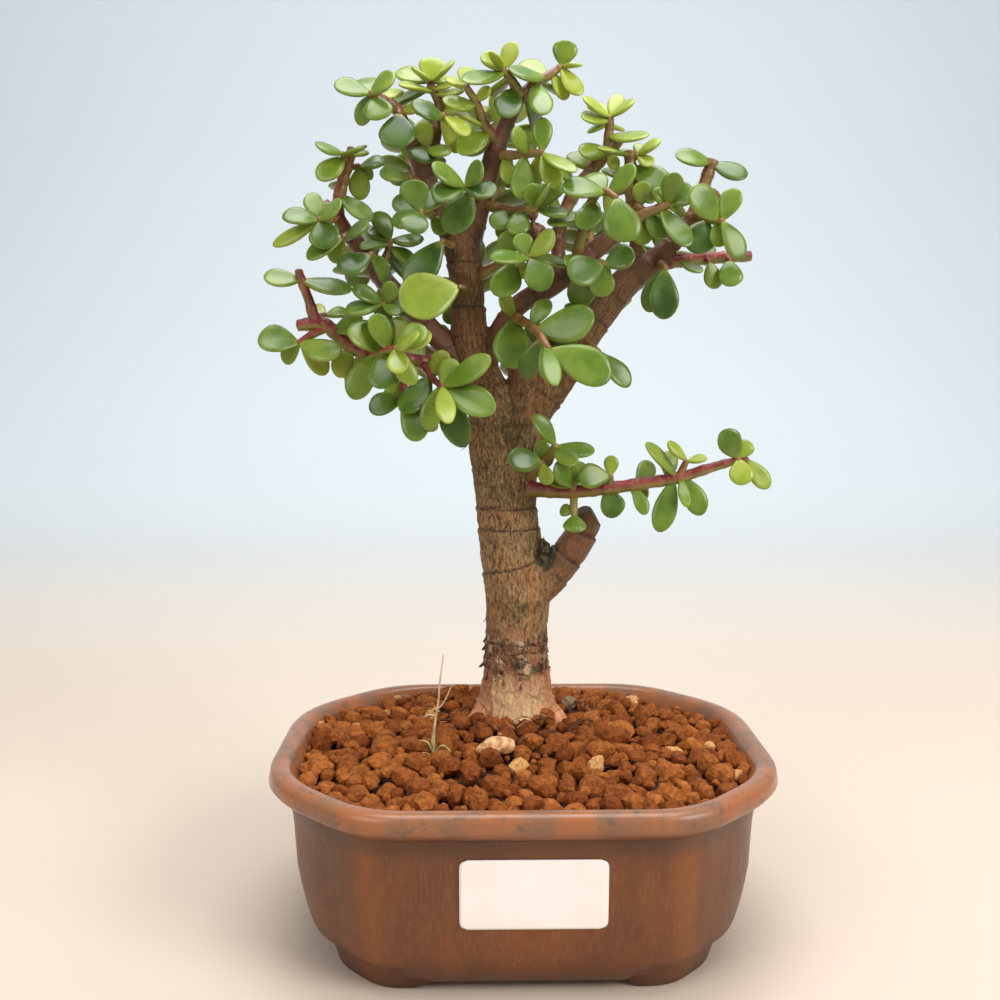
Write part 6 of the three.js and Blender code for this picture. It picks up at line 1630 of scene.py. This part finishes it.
seat(make_litter("dark_litter", 34, 32, 0.26, 5.5, 3, 1.6), DEBRIS, "bark", "akadama_soil")
seat(make_litter("pale_fibres", 14, 30, 0.14, 4.5, 4, 2.2), PALE_FIBRE, "root", "akadama_soil")


# ----------------------------------------------------------------- shoots
LEAF_STATIONS = np.array([0, 0.12, 0.3, 0.5, 0.7, 0.88, 0.97, 1])
LEAF_HALF_WIDTHS = np.array([0.09, 0.17, 0.37, 0.48, 0.5, 0.38, 0.19, 0])
SAMPLE_STATIONS = np.array([0.15, 0.3, 0.45, 0.6, 0.75, 0.9, 1])
SAMPLE_ACROSS = np.array([-0.9, -0.45, 0, 0.45, 0.9])
TIP_SHIFTS = [0, -2, 2, -4, 4, -6, 6, -8, 8, -11, 11, -14, 14]
LEAF_SCALES = [1, 0.86, 0.72]
OTHER_CLEARANCE = 2.6
OWN_CLEARANCE = 1.7


def carry_forward(points, distance):
    """Points moved forward by a distance along their own lines to the eye."""
    y = points[..., 1]
    scale = (y - distance - EYE[1]) / (y - EYE[1])
    moved = np.array(points, dtype=float)
    moved[..., 0] = EYE[0] + (points[..., 0] - EYE[0]) * scale
    moved[..., 1] = y - distance
    moved[..., 2] = EYE[2] + (points[..., 2] - EYE[2]) * scale
    return moved


def spread_shoot(shoot):
    """A shoot with its stems and leaf tips carried to their depth."""
    reach = shoot.get("reach", [0] * len(shoot["stems"]))
    stems = []
    for far, points in zip(reach, shoot["stems"]):
        points = np.array(points, dtype=float)
        stems.append(carry_forward(points, far * np.arange(len(points)) / (len(points) - 1)))
    leaves = []
    for stem, at, x, y, z, width, face in shoot["leaves"]:
        tip = carry_forward(np.array([x, y, z], dtype=float), reach[stem] * at)
        leaves.append([stem, at, *tip, width, face])
    return {"name": shoot["name"], "stems": stems, "leaves": leaves}


def leaf_half_share(s):
    """Half a leaf's width, as a share of its full width, at a share of its length."""
    return np.interp(np.clip(s, 0, 1), LEAF_STATIONS, LEAF_HALF_WIDTHS)


def point_along(points, share):
    """The point at a share of a line's length, at most 0.6 mm from its end."""
    steps = np.linalg.norm(np.diff(points[:, :3], axis=0), axis=1)
    length = np.append(0, np.cumsum(steps))
    at = min(share * length[-1], length[-1] - 0.6)
    return np.array([np.interp(at, length, points[:, k]) for k in range(3)])


def leaf_frame(base, tip, width, face, scale):
    """A leaf's base, directions (length, across, upper side), size and test points."""
    along = tip - base
    length = np.linalg.norm(along) * scale
    along = unit(along)
    turn = np.radians(face)
    up = np.array([0, -np.sin(turn), np.cos(turn)])
    up = unit(up - up @ along * along)
    across = np.cross(up, along)
    s, t = (v.ravel() for v in np.meshgrid(SAMPLE_STATIONS, SAMPLE_ACROSS, indexing="ij"))
    aside = t * leaf_half_share(s) * width * scale
    samples = base + s[:, None] * length * along + aside[:, None] * across
    return {"base": base, "along": along, "across": across, "up": up, "length": length,
            "width": width * scale, "samples": samples, "s": s}


def leaves_touch(samples, sample_base, other, clearance, keep_out):
    """True if any sample lies within the clearance of the other leaf's blade.

    samples and other's values may be stacked; they are matched by the usual array rules.
    """
    offset = samples - other["base"]
    s = np.sum(offset * other["along"], axis=-1) / other["length"]
    hit = (s >= -0.03) & (s <= 1.05)
    hit &= np.abs(np.sum(offset * other["up"], axis=-1)) <= clearance
    half = leaf_half_share(s) * other["width"] + 0.5
    hit &= np.abs(np.sum(offset * other["across"], axis=-1)) < half
    apart = np.linalg.norm(samples - sample_base, axis=-1)
    return np.any(hit & ((keep_out <= 0) | (apart >= keep_out)))


def place_leaves(grown):
    """Finds room for every leaf, the widest first.

    A leaf that would touch something swings to the front or back, then gets smaller, and
    is left off as the last resort.
    """
    starts, ends, owners = [], [], []
    for points in [TRUNK_LINE, *WOODY_BRANCHES]:
        points = np.array(points, dtype=float)
        starts.append(points[:-1])
        ends.append(points[1:])
        owners += ["trunk"] * (len(points) - 1)
    wanted = []
    for shoot in grown:
        for points in shoot["stems"]:
            starts.append(points[:-1])
            ends.append(points[1:])
            owners += [shoot["name"]] * (len(points) - 1)
        for number, leaf in enumerate(shoot["leaves"]):
            wanted.append((shoot["name"], number, shoot["stems"][leaf[0]], leaf))
    starts, ends, owners = np.concatenate(starts), np.concatenate(ends), np.array(owners)
    axis = ends[:, :3] - starts[:, :3]
    span = np.sum(axis ** 2, axis=1)
    wanted.sort(key=lambda row: -row[3][5])
    placed = []
    names = []
    fields = ("base", "along", "across", "up", "length", "width")

    def limb_blocks(leaf, shoot):
        own = owners == shoot
        offset = leaf["samples"][:, None] - starts[None, :, :3]
        f = np.clip(np.sum(offset * axis, axis=2) / span, 0, 1)
        radius = starts[:, 3] * (1 - f) + ends[:, 3] * f
        skin = np.linalg.norm(offset - f[..., None] * axis, axis=2) - radius
        near = np.linalg.norm(leaf["samples"] - leaf["base"], axis=1) < 4
        room = np.where(own[None], 1.0, (0.35 + 1.1 * np.minimum(1, leaf["s"] * 2))[:, None])
        return np.any((skin < room) & ~(own[None] & near[:, None]))

    def leaf_blocks(leaf, shoot):
        for same in (True, False):
            others = [other for other, name in zip(placed, names) if (name == shoot) == same]
            if not others:
                continue
            clearance = OWN_CLEARANCE if same else OTHER_CLEARANCE
            keep_out = 4.5 if same else 0
            stack = {key: np.array([o[key] for o in others]) for key in fields}
            wide = {key: value[:, None] for key, value in stack.items()}
            if leaves_touch(leaf["samples"][None], leaf["base"], wide, clearance, keep_out):
                return True
            many = np.array([o["samples"] for o in others])
            if leaves_touch(many, wide["base"], leaf, clearance, keep_out):
                return True
        return False

    for shoot, number, stem, (_, at, x, y, z, width, face) in wanted:
        base = point_along(stem, at)
        chosen = None
        for scale in LEAF_SCALES:
            for shift in TIP_SHIFTS:
                leaf = leaf_frame(base, np.array([x, y + shift, z]), width, face, scale)
                if not limb_blocks(leaf, shoot) and not leaf_blocks(leaf, shoot):
                    chosen = leaf
                    break
            if chosen:
                break
        if chosen:
            chosen["number"] = number
            placed.append(chosen)
            names.append(shoot)
    return placed, names


# How much younger and yellower a shoot's leaves are, or below 0 how much deeper a green. The values mix
# the leaves' age with painted light and shade: paler for shoots in the light, deeper green for shoots in
# shade inside the crown.
SHOOT_YOUTH_AND_PAINTED_LIGHT = {
    "crest_right_shoot": 0.04, "red_spur_shoot": 0.2, "crest_left_shoot": 0.12,
    "rear_right_shoot": 0.15, "upright_shoot": 0.1, "low_right_shoot": 0.1, "leader_front_leaf": 0.7,
    "inner_rising_shoot": 0.15, "mid_shoot": 0.15, "rear_crest_shoot": 0.1,
    "rear_left_crest_shoot": 0.05, "centre_shoot": -0.12, "leader_leaf": -0.15,
    "left_branch_underside": -0.2, "right_hanging_leaves": -0.2, "left_fork_shoot": -0.05,
    "low_left_shoot": 0.3, "rear_low_left_shoot": 0.25, "rear_fork_shoot": -0.25,
}

# Leaves younger (above 0) or deeper green (below 0) than the rest of their shoot, by number: partly their
# age, partly painted light on lit leaves and painted shade on leaves in shade.
LEAF_YOUTH_AND_PAINTED_LIGHT = {
    "low_left_shoot": {5: 0.2, 7: 0.2, 15: -0.3, 22: -0.6, 23: -0.3, 31: 0.2, 36: 0.2},
    "centre_shoot": {0: 0.4, 1: 0.4, 3: 0.4},
    "left_fork_shoot": {5: -0.5},
    "crest_right_shoot": {5: -0.15, 9: -0.15, 11: -0.5, 14: -0.5},
    "crest_left_shoot": {2: 0.2, 4: 0.2, 7: -0.35},
    "fork_gap_shoot": {0: -0.5},
    "left_branch_leaf": {0: -0.4},
    "leader_upper_shoot": {3: -0.3},
    "inner_right_shoot": {3: 0.35},
    "upper_right_shoot": {0: -0.2, 1: -0.2, 2: 0.25, 5: -0.3},
    "left_end_shoot": {2: 0.35, 7: 0.2},
    "left_branch_underside": {1: 0.3},
    "low_right_shoot": {6: -0.3, 18: 0.35},
    "rear_right_end_shoot": {1: -0.4},
    "rear_centre_shoot": {0: 0.3, 4: -0.3},
}

# How red the sunny side of a shoot's stems is. Other shoots have 0.5.
REDNESS = {
    "low_right_shoot": 0.95, "low_left_shoot": 1.0, "left_end_shoot": 1.0, "red_spur_shoot": 1.0,
    "left_fork_shoot": 0.8, "right_stub_shoot": 1.0, "rear_right_shoot": 0.7, "upper_right_shoot": 0.6,
}

# Side stems that stay green on a red shoot: the shoot, the stem's number and its redness.
GREEN_STEMS = {("low_right_shoot", 1): 0.05, ("low_right_shoot", 4): 0.1}


def make_leaves(shoot, leaves, chance):
    """The leaves of one shoot: thick blades, widest past the middle, round at the tip.

    At a share s of the length the half width is half the root of sin(pi s^1.45), and the
    half thickness follows sin(pi s^0.9)^0.4. Each ring is an oval, flat above and below.
    The blade droops by the square of s and cups by the square of its width.
    """
    rows, around = 11, 14
    count = len(leaves)
    stack = {key: np.array([leaf[key] for leaf in leaves]) for key in
             ("base", "along", "across", "up", "length", "width")}
    s = ((1 - np.cos(np.pi * np.arange(1, rows + 1) / (rows + 1))) / 2)[None, :, None]
    phi = np.linspace(0, 2 * np.pi, around, endpoint=False)[None, None]
    half = 0.5 * np.sqrt(np.sin(np.pi * s ** 1.45))
    thick = np.sin(np.pi * np.clip(s ** 0.9, 0, 0.9999)) ** 0.4
    width = stack["width"][:, None, None]
    length = stack["length"][:, None, None]
    depth = (0.72 + 0.03 * width) * thick
    flat = np.cos(phi)
    bulge = np.sign(np.sin(phi)) * np.abs(np.sin(phi)) ** 0.62
    droop = chance.normal(0.02, 0.05, count)[:, None, None] * length
    cup = chance.uniform(-0.02, 0.13, count)[:, None, None] * width
    skew = chance.normal(0, 0.05, count)[:, None, None] * width
    aside = width * half * flat + skew * np.sin(np.pi * s)
    top = np.where(bulge > 0, 0.85, 1.1)
    groove = 0.22 * depth * np.exp(-(flat / 0.3) ** 2) * (1 - s) * (bulge > 0)
    lift = depth * bulge * top - groove - droop * s ** 2 + cup * (2 * half * flat) ** 2
    lift = lift - cup * 0.3
    vector = {key: stack[key][:, None, None] for key in ("base", "along", "across", "up")}
    rings = (vector["base"] + vector["along"] * (s * length)[..., None]
             + vector["across"] * aside[..., None] + vector["up"] * lift[..., None])
    tip_lift = (-droop - cup * 0.3)[:, 0]
    base_lift = (-cup * 0.3)[:, 0]
    low = stack["base"] + stack["up"] * base_lift
    high = stack["base"] + stack["along"] * stack["length"][:, None] + stack["up"] * tip_lift
    youth_and_painted_light = np.array([leaf_youth_and_painted_light(shoot, leaf) for leaf in leaves]) + chance.normal(0, 0.09, count)
    full = np.ones((count, rows, around))
    marks = {
        "youth_and_painted_light": with_poles(full * np.clip(youth_and_painted_light, 0, 1)[:, None, None]),
        "share": with_poles(full * s),
        "rim": with_poles(full * np.abs(flat) ** 8),
        "underside": with_poles(full * (bulge < -0.2)),
    }
    return put_mesh(f"{shoot}_leaves", *skins(rings, low, high), marks)


def leaf_youth_and_painted_light(shoot, leaf):
    """How young a leaf looks: small leaves near a shoot's tip and the crown's top are youngest, and the
    shoot and leaf tables add painted light and shade.
    """
    small = np.clip((8.5 - leaf["width"]) / 8, -0.2, 0.4)
    high = np.clip((leaf["base"][2] - 225) / 120, -0.1, 0.25)
    own = LEAF_YOUTH_AND_PAINTED_LIGHT.get(shoot, {}).get(leaf["number"], 0.0)
    return 0.36 + small + high + SHOOT_YOUTH_AND_PAINTED_LIGHT.get(shoot, 0.0) + own


def make_stems(shoot, chance):
    """The stems of one shoot: tubes that swell at every leaf pair.

    The radius grows by a bell of 16 % at each leaf's place, with a fine groove in it.
    """
    name = shoot["name"]
    parts, marks = [], {key: [] for key in ("limb_place", "sky", "redness", "woodiness", "ring", "cut")}
    for number, points in enumerate(shoot["stems"]):
        length = np.sum(np.linalg.norm(np.diff(points[:, :3], axis=0), axis=1))
        nodes = {round(leaf[1] * length, 1) for leaf in shoot["leaves"] if leaf[0] == number}
        nodes |= set(np.arange(5.5, length - 1.5, 6.5 + chance.uniform(-0.8, 0.8)))
        nodes = np.array(sorted(nodes)) if nodes else np.array([length])

        def bell(along, width, nodes=nodes):
            return np.exp(-((along[..., None] - nodes) / width) ** 2).max(axis=-1)

        blunt = points[-1, 3] >= 1.15
        rings, along, turn = tube(
            points, 0.45, 12, lambda a: 1 + 0.16 * bell(a, 0.9) - 0.1 * bell(a, 0.22), blunt)
        radius = np.linalg.norm(rings - rings.mean(axis=1, keepdims=True), axis=2)
        outward = unit(rings - rings.mean(axis=1, keepdims=True))
        end = along[-1, 0]
        values = {
            "sky": outward[..., 2],
            "redness": np.full(along.shape, GREEN_STEMS.get((name, number), REDNESS.get(name, 0.5))
                               + chance.uniform(-0.08, 0.08)),
            "woodiness": step_up(radius, 1.9, 2.6) * np.where(name in REDNESS, 0.25, 0.8),
            "ring": bell(along, 0.28),
            "cut": step_up(along, end - 0.25, end - 0.02) * float(blunt),
        }
        parts.append(skins(rings[None]))
        for key, value in values.items():
            marks[key].append(with_poles(value[None]))
        place = [np.cos(turn) * radius, np.sin(turn) * radius, along + number * 23.0]
        marks["limb_place"].append(np.column_stack([with_poles(v[None]) for v in place]))
    return put_mesh(f"{name}_stems", *join(parts), {k: np.concatenate(v) for k, v in marks.items()})


grown = [spread_shoot(shoot) for shoot in SHOOTS]
placed, names = place_leaves(grown)
for order, shoot in enumerate(grown):
    chance = np.random.default_rng(100 + order)
    dried = shoot["name"] == "dried_flower_sprig"
    seat(make_stems(shoot, chance), STEM, "dry_grass" if dried else "leaf", shoot["name"])
    own = [leaf for leaf, name in zip(placed, names) if name == shoot["name"]]
    own.sort(key=lambda leaf: leaf["number"])
    leaves = make_leaves(shoot["name"], own, chance)
    seat(leaves, DRIED if dried else LEAF, "dry_grass" if dried else "leaf", shoot["name"])


# ------------------------------------------------------------------ stage
def make_sweep():
    """A pale floor that curves up into a backdrop.

    The line from front to back is flat, then a quarter circle, then upright.
    """
    bend = np.linspace(0, np.pi / 2, 24)
    radius, back = 500.0, 700.0
    y = np.concatenate([[-1500], back + radius * np.sin(bend), [back + radius]])
    z = np.concatenate([[0], radius * (1 - np.cos(bend)), [2200]])
    x = np.array([-2500.0, 2500.0])
    points = np.stack(np.broadcast_arrays(x[None], y[:, None], z[:, None]), axis=2).reshape(-1, 3)
    index = np.arange(len(y) * 2).reshape(-1, 2)
    quads = np.stack([index[:-1, 0], index[:-1, 1], index[1:, 1], index[1:, 0]], axis=-1)
    none = np.zeros((0, 3), dtype=int)
    return put_mesh("studio_sweep", points, quads, none, level=0)


def sweep_finish():
    """Warm cream floor that turns to a cool pale wall with distance and height; the floor's cream is its
    own colour, the wall's paler, cooler tone is painted light.
    """
    f = Finish("studio_paper", Specular_IOR_Level=0.1)
    far = f.range(f.axis("Y"), 0.1, 1.1)
    base = f.blend(far, colour(209, 193, 178), colour(226, 236, 242))
    base = f.blend(f.range(f.axis("Z"), 0.15, 0.75), base, colour(226, 237, 248))
    return f.feed(Base_Color=base, Roughness=f.range(f.noise(f.place, 3), 0, 1, 0.85, 0.95))


sweep = make_sweep()
sweep.data.materials.append(sweep_finish())


def add_light(name, place, size, power, warmth, target=(0.0, 0.0, 0.12)):
    """A square soft box that faces the tree's middle, or another target."""
    light = bpy.data.lights.new(name, "AREA")
    light.shape = "SQUARE"
    light.size = size
    light.energy = power
    light.color = warmth
    lamp = bpy.data.objects.new(name, light)
    lamp.location = place
    aim = Vector(target) - Vector(place)
    lamp.rotation_euler = aim.to_track_quat("-Z", "Y").to_euler()
    bpy.context.scene.collection.objects.link(lamp)


add_light("front_left_box", (-0.65, -0.7, 0.75), 0.6, 3.8, (1.0, 0.98, 0.95))
add_light("front_right_box", (0.75, -0.6, 0.7), 0.5, 7.9, (1.0, 0.98, 0.94))
add_light("overhead_box", (0.05, 0.0, 1.0), 0.7, 8.2, (1.0, 1.0, 0.98))
add_light("backdrop_box", (0.0, 0.4, 1.9), 1.2, 7.0, (0.9, 0.95, 1.0), (0.0, 1.2, 0.5))

world = bpy.data.worlds.new("studio_air")
world.use_nodes = True
world.node_tree.nodes["Background"].inputs["Color"].default_value = (1.0, 0.98, 0.95, 1.0)
world.node_tree.nodes["Background"].inputs["Strength"].default_value = 0.34
bpy.context.scene.world = world
bpy.context.scene.view_settings.view_transform = "Standard"

lens = bpy.data.cameras.new("studio_camera")
lens.lens = FOCAL
lens.sensor_width = SENSOR
lens.clip_start = 0.01
camera = bpy.data.objects.new("studio_camera", lens)
camera.location = (EYE + [0, 0, TABLE_LEVEL]) * MM
camera.rotation_euler = Euler(np.radians([90 - EYE_DOWN, 0, -EYE_RIGHT]), "XYZ")
bpy.context.scene.collection.objects.link(camera)
bpy.context.scene.camera = camera
